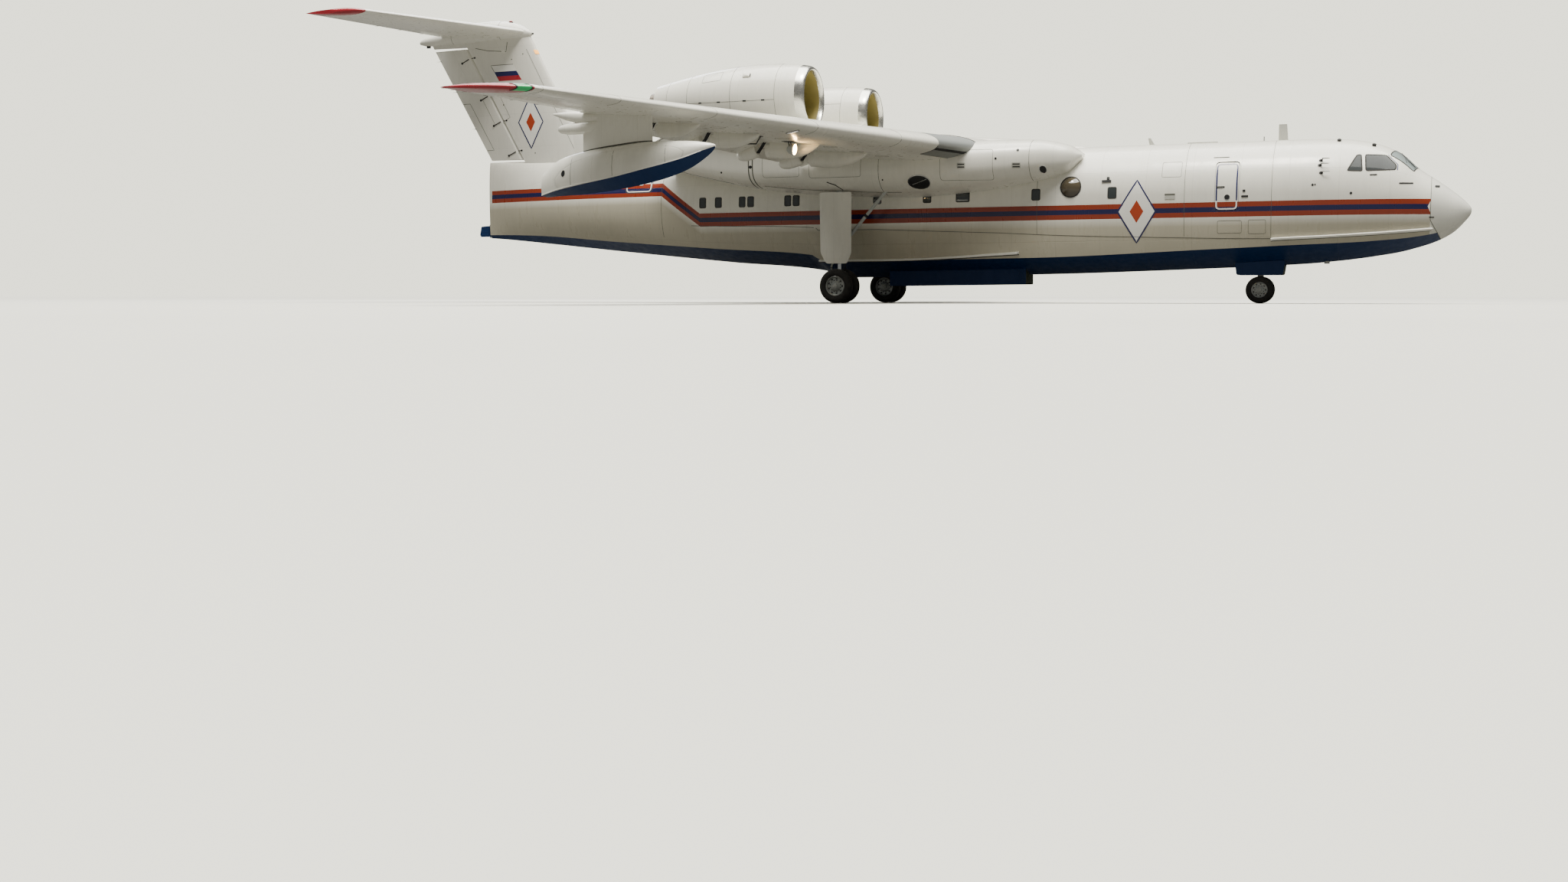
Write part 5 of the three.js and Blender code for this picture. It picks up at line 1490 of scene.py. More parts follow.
# %% [markdown]
# ## Plain lozenges and bands
#
# A badge on the side and on the fin is replaced by a plain lozenge in the same colours, and three
# slanted bands are painted high on the fin. Paint is a tenth of a millimetre thick. These plates are
# 2 to 3 mm thick instead, so that they don't flicker against the skin.

# %% Lozenges and bands
def lozenge(shape, u, v, half_u, half_v, skin, finishes):
    """A white lozenge in a blue line, with a small orange one in its middle."""
    def diamond(share):
        return [(u + half_u * share, v), (u, v + half_v * share), (u - half_u * share, v),
                (u, v - half_v * share)]
    shape.patch(diamond(0.94), skin, 0.003, 0.004, finishes[0], rings=8)
    shape.ribbon(diamond(1.0), 0.035, skin, 0.004, 0.004, finishes[1], closed=True)
    shape.patch(diamond(0.36), skin, 0.005, 0.004, finishes[2], rings=4)


mark_finishes = [flag_white, line_blue, mark_orange, sealant_and_painted_shadow, tip_red]
marks = Shape()
lozenge(marks, 7.87, 0.07, 0.5, 0.82, hull_side, (0, 1, 2))
add_pair("hull_lozenge", marks, mark_finishes)

BANDS = [  # lower height and its rear and front, upper height and its rear and front, finish
    (4.650, -12.485, -11.640, 4.795, -12.570, -11.735, 4),
    (4.795, -12.570, -11.735, 4.940, -12.655, -11.830, 1),
    (4.940, -12.655, -11.830, 5.140, -12.772, -11.945, 0),
]
for side in (1, -1):
    fin_side = fin_panel.skin(side)
    marks = Shape()
    lozenge(marks, -11.34, NOSE_HEIGHT + 3.32, 0.45, 0.82, fin_side, (0, 1, 2))
    for low, low_rear, low_front, high, high_rear, high_front, finish in BANDS:
        outline = [(low_rear, NOSE_HEIGHT + low), (low_front, NOSE_HEIGHT + low),
                   (high_front, NOSE_HEIGHT + high), (high_rear, NOSE_HEIGHT + high)]
        marks.patch(outline, fin_side, 0.003, 0.004, finish, rings=4)
    edge = [(-12.655, NOSE_HEIGHT + 4.94), (-12.777, NOSE_HEIGHT + 5.147), (-11.947, NOSE_HEIGHT + 5.147)]
    marks.ribbon(edge, 0.016, fin_side, 0.004, 0.004, 3)
    name = "fin_marks_left" if side > 0 else "fin_marks_right"
    add_piece(name, marks.mesh(name, mark_finishes))
print("Lozenges: 4, bands:", 2 * len(BANDS))

# %% [markdown]
# ## Seams, spray strips and small fittings on the hull
#
# Two strips stand out from the skin above the chine. They throw spray down and away from the intakes
# and flaps. A long lap joint runs above the bottom, and a joint in sealant goes round the radome. The
# probes, drains, vents and small aerials are all bought parts, screwed on.

# %% Seams and strips
FORWARD_STRIP = [(11.28, -0.69), (11.5, -0.672), (12.6, -0.625), (13.7, -0.565), (14.6, -0.5), (15.1, -0.455)]
CHINE_STRIP = [(4.64, -0.975), (4.5, -0.985), (2.45, -1.09), (1.0, -1.13), (-1.15, -1.135)]
LAP_JOINT = [(-5.2, -0.08), (-2.0, -0.16), (0.64, -0.285), (4.14, -0.433), (7.75, -0.59), (10.4, -0.67),
             (11.28, -0.68)]
RADOME_LINE = [(RADOME_JOINT, v) for v in spread(2.0, v_at(RADOME_JOINT, -0.25), 14)]
RADOME_LINE += [(x, v_at(x, z)) for x, z in ((15.14, -0.40), (15.24, -0.56), (15.3, -0.67), (15.335, -0.715))]

seams = Shape()
seams.ribbon(RADOME_LINE, 0.012, hull_skin, 0.003, 0.01, 0)
seams.ribbon([(x, v_at(x, z)) for x, z in LAP_JOINT], 0.014, hull_skin, 0.003, 0.01, 0)
for x, low, high in ((11.28, -0.68, 1.9), (9.1, -0.6, 1.9), (FRONT_JOINT, -0.5, 1.5), (-6.2, -0.4, 1.9)):
    seams.ribbon([(x, v) for v in spread(v_at(x, low), min(v_at(x, high), 1.98), 12)], 0.009, hull_skin, 0.002,
                 0.01, 0)
for low_x, high_x, low, high in ((9.95, 10.55, -0.53, -0.21), (10.72, 11.15, -0.55, -0.2),
                                 (8.5, 9.0, 0.95, 1.35)):
    seams.ribbon(rounded(box_outline(low_x, high_x, low, high), 0.04), 0.008, hull_side, 0.002, 0.01, 0,
                 closed=True)
add_pair("hull_seams", seams, [sealant_and_painted_shadow])

strips = Shape()
for path, stands_out in ((FORWARD_STRIP, 0.08), (CHINE_STRIP, 0.07)):
    path = [tuple(p)[:2] for p in smooth_path([(x, z, 0) for x, z in path], 5)]
    strips.ribbon(path, 0.05, hull_side, stands_out, 0.02, 0)
    # A dark ribbon just under each strip is its painted shadow, in the sealant's grey.
    strips.ribbon([(x, z - 0.045) for x, z in path], 0.04, hull_side, 0.006, 0.01, 1)
add_pair("spray_strip", strips, [strip_white, sealant_and_painted_shadow], bevel=0.006)
print("Seams and strips on each side")

# %% Small fittings on the hull
fittings = Shape()
BLOCKS = [  # middle x and height, half length, half height, how far it stands out, finish
    (10.60, 0.545, 0.035, 0.028, 0.012, 0), (10.62, 0.405, 0.085, 0.025, 0.012, 0),
    (14.47, 0.665, 0.165, 0.016, 0.010, 0), (15.20, 0.595, 0.055, 0.022, 0.012, 0),
    (15.09, -0.185, 0.060, 0.012, 0.008, 0), (13.70, 0.885, 0.085, 0.012, 0.012, 0),
    (7.06, 0.885, 0.125, 0.026, 0.030, 0), (7.10, 0.955, 0.035, 0.035, 0.035, 0),
    (8.73, 0.440, 0.130, 0.065, 0.010, 1), (8.73, 0.500, 0.135, 0.014, 0.016, 3),
    (9.98, 1.440, 0.200, 0.010, 0.006, 3), (-0.2, 0.86, 0.10, 0.012, 0.01, 0),
]
for x, z, half_x, half_z, out, finish in BLOCKS:
    fittings.patch(rounded(box_outline(x - half_x, x + half_x, z - half_z, z + half_z), 0.012), hull_side,
                   out, 0.01, finish, rings=2)
for x, z, radius in ((13.19, 0.43, 0.032), (12.27, 0.655, 0.03), (12.33, 0.66, 0.02)):
    fittings.patch(oval(x, z, radius, radius, 14), hull_side, 0.006, 0.01, 0, rings=2)
# Pitot heads on short swept masts, one above the other
for x, z in ((12.44, 1.275), (12.42, 1.15), (12.46, 0.955)):
    fittings.patch(oval(x, z, 0.05, 0.035, 14), hull_side, 0.012, 0.01, 0, rings=2)
    root, tip = on_skin(hull_side, [(x, z)], 0.005)[0], on_skin(hull_side, [(x + 0.05, z)], 0.085)[0]
    fittings.tube([root, tip], [0.022, 0.014], 8, 0)
    fittings.tube([tip - Vector((0.03, 0, 0)), tip + Vector((0.16, 0, 0))], [0.016, 0.009], 8, 2)
add_pair("hull_fittings", fittings, [mark_black, aerial_grey, chrome, sealant_and_painted_shadow])
print("Fittings on each side:", len(BLOCKS) + 6)

# %% Aerials on the hull's back
def blade_aerial(shape, x, low, high, root, tip, sweep, half):
    """An upright blade with a lens-shaped section. Heights are measured from the nose tip."""
    rings = []
    for z, chord, shift in ((low, root, 0.0), (high, tip, -sweep)):
        section = [(0.5, 0.0), (0.25, 0.8), (0.0, 1.0), (-0.3, 0.7), (-0.5, 0.0), (-0.3, -0.7), (0.0, -1.0),
                   (0.25, -0.8)]
        rings.append([Vector((x + shift + u * chord, n * half * (0.6 if z == high else 1.0),
                              NOSE_HEIGHT + z)) for u, n in section])
    shape.loft(rings)


def hull_top(x):
    return hull_row(x)[5]


aerials = Shape()
blade_aerial(aerials, 11.42, hull_top(11.4) - 0.03, 2.345, 0.25, 0.21, 0.02, 0.018)
blade_aerial(aerials, 8.03, hull_top(8.0) - 0.03, 2.11, 0.16, 0.07, 0.09, 0.012)
aerials.tube([(10.93, 0, NOSE_HEIGHT + 1.9), (10.93, 0, NOSE_HEIGHT + 2.04)], 0.012, 8, 1)
aerials.box((8.95, -0.045, NOSE_HEIGHT + hull_top(9.2) - 0.02),
            (9.75, 0.045, NOSE_HEIGHT + hull_top(9.2) + 0.03), finish=0, soft=0.04)
add_piece("hull_aerials", aerials.mesh("hull_aerials", [aerial_grey, dark_steel]), bevel=0.003)
bumps = Shape()
for x, v in ((13.67, 1.75), (12.83, 1.78)):
    bumps.patch(oval(x, v, 0.05, 0.018, 12), hull_skin, 0.05, 0.01, 0, rings=3, crown=0.02)
add_pair("hull_top_bumps", bumps, [mark_black])

# %% [markdown]
# ## Repeating small parts with Geometry Nodes
#
# Rivets, wheel bolts, wicks and blades repeat by the dozen. One node tree puts an item on every point
# of a mesh and turns it to the direction stored there, and another one sets copies round an axis. Both
# end in real geometry with a material, and the result is turned into one plain mesh.

# %% Node trees for repeats
def new_tree(name, sockets):
    tree = bpy.data.node_groups.new(name, "GeometryNodeTree")
    tree.interface.new_socket("Geometry", in_out="INPUT", socket_type="NodeSocketGeometry")
    for title, kind in sockets:
        tree.interface.new_socket(title, in_out="INPUT", socket_type=kind)
    tree.interface.new_socket("Geometry", in_out="OUTPUT", socket_type="NodeSocketGeometry")
    return tree, tree.nodes.new("NodeGroupInput")


def close_tree(tree, given, copies):
    """Makes the copies real, gives them the finish and hands them on."""
    real = add_node(tree, "GeometryNodeRealizeInstances", {"Geometry": copies})
    coloured = add_node(tree, "GeometryNodeSetMaterial",
                        {"Geometry": real, "Material": given.outputs["Finish"]})
    add_node(tree, "NodeGroupOutput", {"Geometry": coloured})


on_points, given = new_tree("item_on_every_point", [
    ("Item", "NodeSocketObject"), ("Size", "NodeSocketFloat"), ("Finish", "NodeSocketMaterial")])
item = add_node(on_points, "GeometryNodeObjectInfo", {"Object": given.outputs["Item"], "As Instance": True})
out = add_node(on_points, "GeometryNodeInputNamedAttribute", {"Name": "out"}, data_type="FLOAT_VECTOR")
facing = add_node(on_points, "FunctionNodeAlignRotationToVector", {"Vector": out}, axis="Z")
copies = add_node(on_points, "GeometryNodeInstanceOnPoints", {
    "Points": given.outputs["Geometry"], "Instance": item.outputs["Geometry"], "Rotation": facing,
    "Scale": given.outputs["Size"]})
close_tree(on_points, given, copies)

round_axis, given = new_tree("copies_round_the_x_axis", [
    ("Item", "NodeSocketObject"), ("Count", "NodeSocketInt"), ("Finish", "NodeSocketMaterial")])
item = add_node(round_axis, "GeometryNodeObjectInfo", {"Object": given.outputs["Item"], "As Instance": True})
start = add_node(round_axis, "GeometryNodeMeshLine",
                 {"Count": given.outputs["Count"], "Offset": (0.0, 0.0, 0.0)})
turn = compute(round_axis, "DIVIDE", 2 * math.pi, given.outputs["Count"])
angle = compute(round_axis, "MULTIPLY", turn, add_node(round_axis, "GeometryNodeInputIndex"))
about_x = add_node(round_axis, "ShaderNodeCombineXYZ", {"X": angle})
copies = add_node(round_axis, "GeometryNodeInstanceOnPoints", {
    "Points": start, "Instance": item.outputs["Geometry"], "Rotation": about_x})
close_tree(round_axis, given, copies)


def repeated(tree, base, item_mesh, inputs, finish, name):
    """Runs a tree over a base mesh and returns the result as a plain mesh."""
    scene = bpy.context.scene.collection.objects
    holder, single = bpy.data.objects.new("holder", base), bpy.data.objects.new("item", item_mesh)
    scene.link(holder)
    scene.link(single)
    modifier = holder.modifiers.new("repeat", "NODES")
    modifier.node_group = tree
    keys = {socket.name: socket.identifier for socket in tree.interface.items_tree if socket.in_out == "INPUT"}
    for title, value in {"Item": single, "Finish": finish, **inputs}.items():
        modifier[keys[title]] = value
    made = bpy.data.meshes.new_from_object(holder.evaluated_get(bpy.context.evaluated_depsgraph_get()))
    made.name = name
    for thing in (holder, single):
        bpy.data.objects.remove(thing)
    return made


def point_mesh(spots):
    """A mesh of loose points. spots lists (place, direction out)."""
    mesh = bpy.data.meshes.new("spots")
    mesh.from_pydata([tuple(place) for place, _ in spots], [], [])
    outward = mesh.attributes.new("out", "FLOAT_VECTOR", "POINT")
    outward.data.foreach_set("vector", [value for _, direction in spots for value in direction])
    return mesh


def joined(meshes, name):
    """Several meshes as one, each with its own finishes."""
    work, finishes = bmesh.new(), []
    for mesh in meshes:
        first = len(work.faces)
        work.from_mesh(mesh)
        work.faces.ensure_lookup_table()
        for face in work.faces[first:]:
            face.material_index += len(finishes)
        finishes += list(mesh.materials)
    made = bpy.data.meshes.new(name)
    work.to_mesh(made)
    work.free()
    for finish in finishes:
        made.materials.append(finish)
    return made


bolt = Shape()
bolt.prism(circle(6, 1.0), Matrix(), -0.4, 0.75)
bolt.prism(circle(10, 0.55), Matrix(), 0.7, 1.2)
bolt_mesh = bolt.mesh("bolt_head", [dark_steel])
rivet = Shape()
rivet.turned([(-0.3, 0.9), (0.0, 1.0), (0.22, 0.82), (0.38, 0.45), (0.44, 0.01)], 8,
             Matrix.Rotation(math.radians(-90), 4, "Y"))
rivet_mesh = rivet.mesh("rivet_head", [skin_white])
print("Repeat trees: 2")

# %% [markdown]
# ## Fans and guide vanes
#
# A turbofan's fan fills its duct with twisted titanium blades. Each blade is thin, leans back and turns
# flatter towards its tip, where air meets it faster. One blade is lofted from six aerofoil sections and
# copied round the hub. Still vanes behind it straighten the air. The spinner has a white comma painted
# on it, so that people see that it turns.

# %% Fan
FAN_BLADES, VANES = 24, 31
FAN_X = -1.86


def aerofoil_ring(radius, chord, pitch, centre, thick, lean=0.0, camber=0.06):
    """A blade's section at a radius, as a closed ring. x runs along the engine."""
    c, s = math.cos(math.radians(pitch)), math.sin(math.radians(pitch))
    ring = []
    for k in range(16):
        t = k / 8 if k < 8 else 2 - k / 8
        side = 1 if k < 8 else -1
        half = thick * chord * 2.6 * math.sqrt(t + 0.004) * (1 - t) + 0.0008
        u, v = (t - 0.5) * chord, camber * chord * 4 * t * (1 - t) + side * half
        ring.append(Vector((centre - u * s - v * c, u * c - v * s + lean, radius)))
    return ring


blade = Shape()
blade.loft([aerofoil_ring(r, chord, pitch, FAN_X, thick, lean) for r, chord, pitch, thick, lean in (
    (0.225, 0.110, 58, 0.10, 0.0), (0.30, 0.118, 54, 0.08, 0.002), (0.40, 0.128, 47, 0.06, 0.005),
    (0.50, 0.140, 41, 0.05, 0.007), (0.59, 0.152, 35, 0.04, 0.005), (0.664, 0.160, 30, 0.035, 0.0))])
hub = Shape()
hub_profile = smooth_path([(-1.484, 0.002), (-1.492, 0.045), (-1.53, 0.11), (-1.60, 0.172), (-1.70, 0.222),
                           (-1.80, 0.248), (-1.93, 0.252)], 4)
hub.turned([(x, max(r, 0.001)) for x, r, _ in ((*p,
                                                0) for p in (tuple(q)[:2] for q in hub_profile))] + [(-1.945,
                                                        0.2), (-1.945, 0.001)],
           40, Matrix())
comma = Shape()
comma.ribbon([(0.3 + 0.42 * k, k) for k in spread(0.0, 1.0, 12)], 0.03,
             lambda a, k: (Vector((-1.50 - 0.16 * k, (0.06 + 0.125 * k) * math.cos(3 * a),
                                   (0.06 + 0.125 * k) * math.sin(3 * a))),
                           Vector((0.75 - 0.3 * k, math.cos(3 * a), math.sin(3 * a))).normalized()), 0.006,
                           0.012)
blades = repeated(round_axis, bpy.data.meshes.new("nothing"), blade.mesh("fan_blade", [blade_metal]),
                  {"Count": FAN_BLADES}, blade_metal, "fan_blades")
fan_mesh = joined([blades, hub.mesh("fan_hub", [spinner_metal]), comma.mesh("spinner_comma", [flag_white])],
                  "fan")
for side, sign in SIDES.items():
    mesh = fan_mesh.copy()
    mesh.transform(Matrix.Translation((0, sign * ENGINE_Y, ENGINE_Z)))
    add_piece(f"engine_fan_{side}", mesh, f"fan_{side}", [f"fan_{side}"], slot="fan_metal", crease=40)

vane = Shape()
vane.loft([aerofoil_ring(r, 0.12, 12, -2.10, 0.04) for r in (0.36, 0.52, 0.70)])
vanes = repeated(round_axis, bpy.data.meshes.new("nothing"), vane.mesh("guide_vane", [lip_metal]),
                 {"Count": VANES}, lip_metal, "guide_vanes")
splitter = Shape()
splitter.turned([(-1.99, 0.452), (-2.0, 0.462), (-2.06, 0.475), (-2.3, 0.49), (-2.3, 0.46), (-2.06, 0.45)], 48,
                Matrix(), closed=True)
vane_mesh = joined([vanes, splitter.mesh("flow_splitter", [lip_metal])], "guide_vanes")
for side, sign in SIDES.items():
    mesh = vane_mesh.copy()
    mesh.transform(Matrix.Translation((0, sign * ENGINE_Y, ENGINE_Z)))
    add_piece(f"guide_vanes_{side}", mesh, crease=40)
print("Blades in each fan:", FAN_BLADES)

# %% [markdown]
# ## Wheels
#
# Each leg has two wheels on one axle. An aircraft tyre is high and round, with a few plain grooves
# round it and no cross tread. The wheel is a forged alloy dish with a ring of tie bolts and a cap.
# The tyre is one turned profile with its grooves in it.

# %% Wheels
def wheel_pair(centre, radius, width, middle, tie_bolts):
    """Two tyres and two wheels on an axle along y, as one mesh."""
    rim = 0.57 * radius
    pair = Shape()
    groove = 0.014 * radius / 0.36
    tyre = [  # across the tyre, from its inner face, and radius
        (0.12, rim), (0.08, 1.04 * rim), (0.03, 0.68 * radius), (0.0, 0.76 * radius), (0.015, 0.85 * radius),
        (0.07, 0.925 * radius), (0.15, 0.968 * radius), (0.22, 0.985 * radius),
        (0.225, 0.985 * radius - groove),
        (0.26, 0.985 * radius - groove), (0.265, 0.992 * radius), (0.37, 0.999 * radius),
        (0.375, radius - groove),
        (0.41, radius - groove), (0.415, radius), (0.5, radius)]
    tyre += [(1 - t, r) for t, r in reversed(tyre[:-1])]
    wheel = [  # the dish, from the middle of the wheel outwards
        (0.9, rim * 1.03), (0.93, rim * 0.985), (0.9, rim * 0.9), (0.78, rim * 0.86), (0.74, rim * 0.62),
        (0.76, rim * 0.5),
        (0.8, rim * 0.42), (0.8, rim * 0.3)]
    for sign in (1, -1):
        def place(t):
            return sign * (middle + (t - 0.5) * width)
        matrix = Matrix.Translation(centre) @ Matrix.Rotation(math.radians(90), 4, "Z")
        pair.turned([(place(t), r) for t, r in tyre], 64, matrix, 0, closed=True)
        pair.turned([(place(0.12), rim * 1.0), *((place(t), r) for t, r in wheel), (place(0.8), 0.001)], 48,
                    matrix, 1)
        pair.turned([(place(0.79), rim * 0.28), (place(0.9), rim * 0.26), (place(0.94), rim * 0.18),
                     (place(0.94), 0.001)], 24, matrix, 2)
        for k in range(9):
            angle = 2 * math.pi * k / 9
            hole = Matrix.Translation(centre) @ Matrix.Rotation(angle, 4,
                    "Y") @ Matrix.Translation((0.745 * rim, place(0.76), 0)) @ \
                Matrix.Rotation(math.radians(-90), 4, "X")
            pair.prism(oval(0, 0, 0.07 * rim, 0.11 * rim, 14), hole, -0.012, 0.012, 3)
    hub_part = pair.mesh("wheels", [rubber, wheel_alloy, gear_grey, mark_black])
    spots = []
    for sign in (1, -1):
        for k in range(tie_bolts):
            angle = 2 * math.pi * (k + 0.5) / tie_bolts
            spots.append((Vector(centre) + Vector((0.58 * rim * math.cos(angle),
                                                   sign * (middle + 0.245 * width),
                                                   0.58 * rim * math.sin(angle))),
                          (0, sign, 0)))
    bolts = repeated(on_points, point_mesh(spots), bolt_mesh, {"Size": 0.055 * rim}, dark_steel, "tie_bolts")
    return joined([hub_part, bolts], "wheel_pair")


NOSE_GEAR_X, NOSE_WHEEL = 10.94, (0.36, 0.20, 0.185)
MAIN_GEAR_X, MAIN_GEAR_Y, MAIN_WHEEL = -0.2, 2.15, (0.475, 0.29, 0.275)
add_piece("nose_wheel_pair", wheel_pair((NOSE_GEAR_X, 0, NOSE_WHEEL[0]), *NOSE_WHEEL, 9), "nose_wheels",
          ["nose_wheels"], slot="tyre", crease=30)
for side, sign in SIDES.items():
    add_piece(f"main_wheel_pair_{side}",
              wheel_pair((MAIN_GEAR_X, sign * MAIN_GEAR_Y, MAIN_WHEEL[0]), *MAIN_WHEEL, 12),
              f"main_wheels_{side}",
              [f"main_wheels_{side}"], slot="tyre", crease=30)
print("Wheels: 6")

# %% [markdown]
# ## Landing gear legs and their doors
#
# A leg is an oleo strut: a grey cylinder that slides over a bright chrome piston, with torque links so
# that the foot can't turn, stays that brace it, and brake and hydraulic lines tied along it. The nose
# leg's lower part steers. Doors hang beside the legs.

# %% Nose leg
STEER_FACE = NOSE_HEIGHT - 1.56
NOSE_AXLE = NOSE_WHEEL[0]
nose_top = Shape()
nose_top.tube([(NOSE_GEAR_X, 0, STEER_FACE + 0.001), (NOSE_GEAR_X, 0, NOSE_HEIGHT - 1.25)], 0.084, 28)
nose_top.tube([(NOSE_GEAR_X, 0, STEER_FACE + 0.002), (NOSE_GEAR_X, 0, STEER_FACE + 0.035)], 0.085, 28, 1)
nose_top.tube([(NOSE_GEAR_X, 0, NOSE_HEIGHT - 1.44), (NOSE_GEAR_X + 0.42, 0, NOSE_HEIGHT - 1.25)], 0.036, 16)
for y in (0.05, -0.05):
    nose_top.tube([(NOSE_GEAR_X - 0.075, y, STEER_FACE + 0.02), (NOSE_GEAR_X - 0.085, y, NOSE_HEIGHT - 1.4),
                   (NOSE_GEAR_X - 0.085, y, NOSE_HEIGHT - 1.3)], 0.009, 8, 2)
add_piece("nose_leg_top", nose_top.mesh("nose_leg_top", [gear_grey, dark_steel, mark_black]),
          stands_for=["nose_leg"],
          slot="gear_metal", bevel=0.002)

steered = Shape()
steered.tube([(NOSE_GEAR_X, 0, STEER_FACE - 0.128), (NOSE_GEAR_X, 0, STEER_FACE - 0.002)], 0.081, 28)
steered.tube([(NOSE_GEAR_X, 0, STEER_FACE - 0.04), (NOSE_GEAR_X, 0, STEER_FACE - 0.012)], 0.084, 28, 1)
steered.tube([(NOSE_GEAR_X, 0, NOSE_AXLE + 0.05), (NOSE_GEAR_X, 0, STEER_FACE - 0.125)], 0.052, 28, 3)
steered.tube([(NOSE_GEAR_X, 0, NOSE_AXLE + 0.03), (NOSE_GEAR_X, 0, NOSE_AXLE + 0.12)], [0.066, 0.058], 24)
steered.tube([(NOSE_GEAR_X, -0.066, NOSE_AXLE), (NOSE_GEAR_X, 0.066, NOSE_AXLE)], 0.075, 28)
steered.tube([(NOSE_GEAR_X, -0.08, NOSE_AXLE), (NOSE_GEAR_X, 0.08, NOSE_AXLE)], 0.038, 20, 1)
elbow = (NOSE_GEAR_X - 0.17, 0, (NOSE_AXLE + STEER_FACE) / 2)
for y in (0.036, -0.036):
    steered.tube([(NOSE_GEAR_X - 0.05, y, STEER_FACE - 0.1), (elbow[0], y * 0.5, elbow[2])], [0.018, 0.013], 10)
    steered.tube([(NOSE_GEAR_X - 0.05, y, NOSE_AXLE + 0.07), (elbow[0], y * 0.5, elbow[2])], [0.018, 0.013], 10)
steered.tube([(elbow[0], -0.035, elbow[2]), (elbow[0], 0.035, elbow[2])], 0.014, 12, 1)
add_piece("nose_leg_steered", steered.mesh("nose_leg_steered", [gear_grey, dark_steel, mark_black, chrome]),
          "nose_steering", ["nose_steering"], slot="gear_metal", bevel=0.002)
print("Nose leg: 2 pieces")

# %% Main legs
MAIN_AXLE = MAIN_WHEEL[0]
leg = Shape()
foot = Vector((MAIN_GEAR_X, MAIN_GEAR_Y, MAIN_AXLE))


def at_height(z):
    return Vector((MAIN_GEAR_X, MAIN_GEAR_Y, NOSE_HEIGHT + z))


leg.tube([foot + Vector((0, 0, 0.06)), at_height(-0.9)], 0.062, 28, 3)
leg.tube([foot + Vector((0, 0, 0.05)), foot + Vector((0, 0, 0.2))], [0.1, 0.076], 24)
leg.tube([at_height(-0.9), at_height(-0.86), at_height(0.9)], [0.1, 0.105, 0.105], 28)
leg.tube([at_height(-0.905), at_height(-0.875)], 0.104, 28, 1)
leg.tube([foot - Vector((0, 0.1, 0)), foot + Vector((0, 0.1, 0))], 0.105, 28)
leg.tube([foot - Vector((0, 0.116, 0)), foot + Vector((0, 0.116, 0))], 0.058, 20, 1)
leg.tube([at_height(-0.82), Vector((MAIN_GEAR_X + 1.5, MAIN_GEAR_Y, NOSE_HEIGHT + 0.9))], 0.046, 20)
leg.tube([at_height(-0.76), Vector((MAIN_GEAR_X, 1.25, NOSE_HEIGHT - 0.15))], 0.046, 20)
for share in (0.15, 0.5):
    start, end = at_height(-0.82), Vector((MAIN_GEAR_X + 1.5, MAIN_GEAR_Y, NOSE_HEIGHT + 0.9))
    spot = start.lerp(end, share)
    leg.tube([spot, spot + (end - start).normalized() * 0.07], 0.056, 20, 1)
elbow = Vector((MAIN_GEAR_X - 0.26, MAIN_GEAR_Y, (MAIN_AXLE + NOSE_HEIGHT - 0.9) / 2 + 0.02))
for y in (0.05, -0.05):
    leg.tube([at_height(-0.86) + Vector((-0.08, y, 0)), elbow + Vector((0, y * 0.5, 0))], [0.026, 0.017], 12)
    leg.tube([foot + Vector((-0.08, y, 0.1)), elbow + Vector((0, y * 0.5, 0))], [0.026, 0.017], 12)
leg.tube([elbow - Vector((0, 0.05, 0)), elbow + Vector((0, 0.05, 0))], 0.018, 12, 1)
for y in (0.07, -0.07):
    line = smooth_path([at_height(0.2) + Vector((0.09, y, 0)), at_height(-0.7) + Vector((0.1, y, 0)),
                        at_height(-1.0) + Vector((0.15, y * 1.2, 0)),
                        foot + Vector((0.13, y, 0.3)), foot + Vector((0.1, y, 0.1))], 5)
    leg.tube(line, 0.011, 8, 2)
for height in (-0.75, -0.35, 0.05):
    leg.tube([at_height(height), at_height(height + 0.035)], 0.113, 28, 2)
add_pair("main_leg_strut", leg, [gear_grey, dark_steel, mark_black, chrome], stands_for=["main_leg_{}"],
         slot="gear_metal", bevel=0.002)

# %% Gear doors
def door_plate(points, matrix, low, high, shape, finishes, corner=0.08, lip=0.012):
    """A flat plate with rounded corners, painted outside and primed inside."""
    outline = rounded(points, corner)
    middle = [sum(p[k] for p in outline) / len(outline) for k in (0, 1)]
    small = [(u + (middle[0] - u) * lip, v + (middle[1] - v) * lip) for u, v in outline]
    shape.prism(outline, matrix, (low + high) / 2 - 0.001, high, finishes[0])
    shape.prism(small, matrix, low, (low + high) / 2, finishes[1])


upright = Matrix(((1, 0, 0, 0), (0, 0, 1, 0), (0, 1, 0, NOSE_HEIGHT),
                  (0, 0, 0, 1)))  # u along x, v up, out along y


def hull_bottom_at(x, y):
    keel, chine_y, chine_z, *_ = hull_row(x)
    return keel + (chine_z - keel) * y / chine_y


nose_door = Shape()
rear, front = NOSE_GEAR_X - 0.64, NOSE_GEAR_X + 0.64
edge_points = [(rear, hull_bottom_at(rear, 0.313) - 0.004), (rear + 0.05, -1.6), (front - 0.05, -1.6),
               (front, hull_bottom_at(front, 0.313) - 0.004)]
door_plate(edge_points, upright, 0.300, 0.326, nose_door, (0, 1), 0.05)
for x in (rear + 0.2, NOSE_GEAR_X, front - 0.2):
    height = NOSE_HEIGHT + hull_bottom_at(x, 0.29)
    nose_door.tube([(x - 0.05, 0.296, height - 0.035), (x + 0.05, 0.296, height - 0.035)], 0.012, 10, 2)
    nose_door.box((x - 0.012, 0.262, height - 0.12), (x + 0.012, 0.3, height + 0.02), finish=2)
nose_door.tube([(NOSE_GEAR_X - 0.2, 0.3, NOSE_HEIGHT - 1.52), (NOSE_GEAR_X - 0.06, 0.09, NOSE_HEIGHT - 1.46)],
               0.012, 10, 2)
add_pair("nose_door", nose_door, [bottom_navy, bay_primer, dark_steel], stands_for=["nose_gear_door_{}"],
         slot="navy_paint", bevel=0.002)

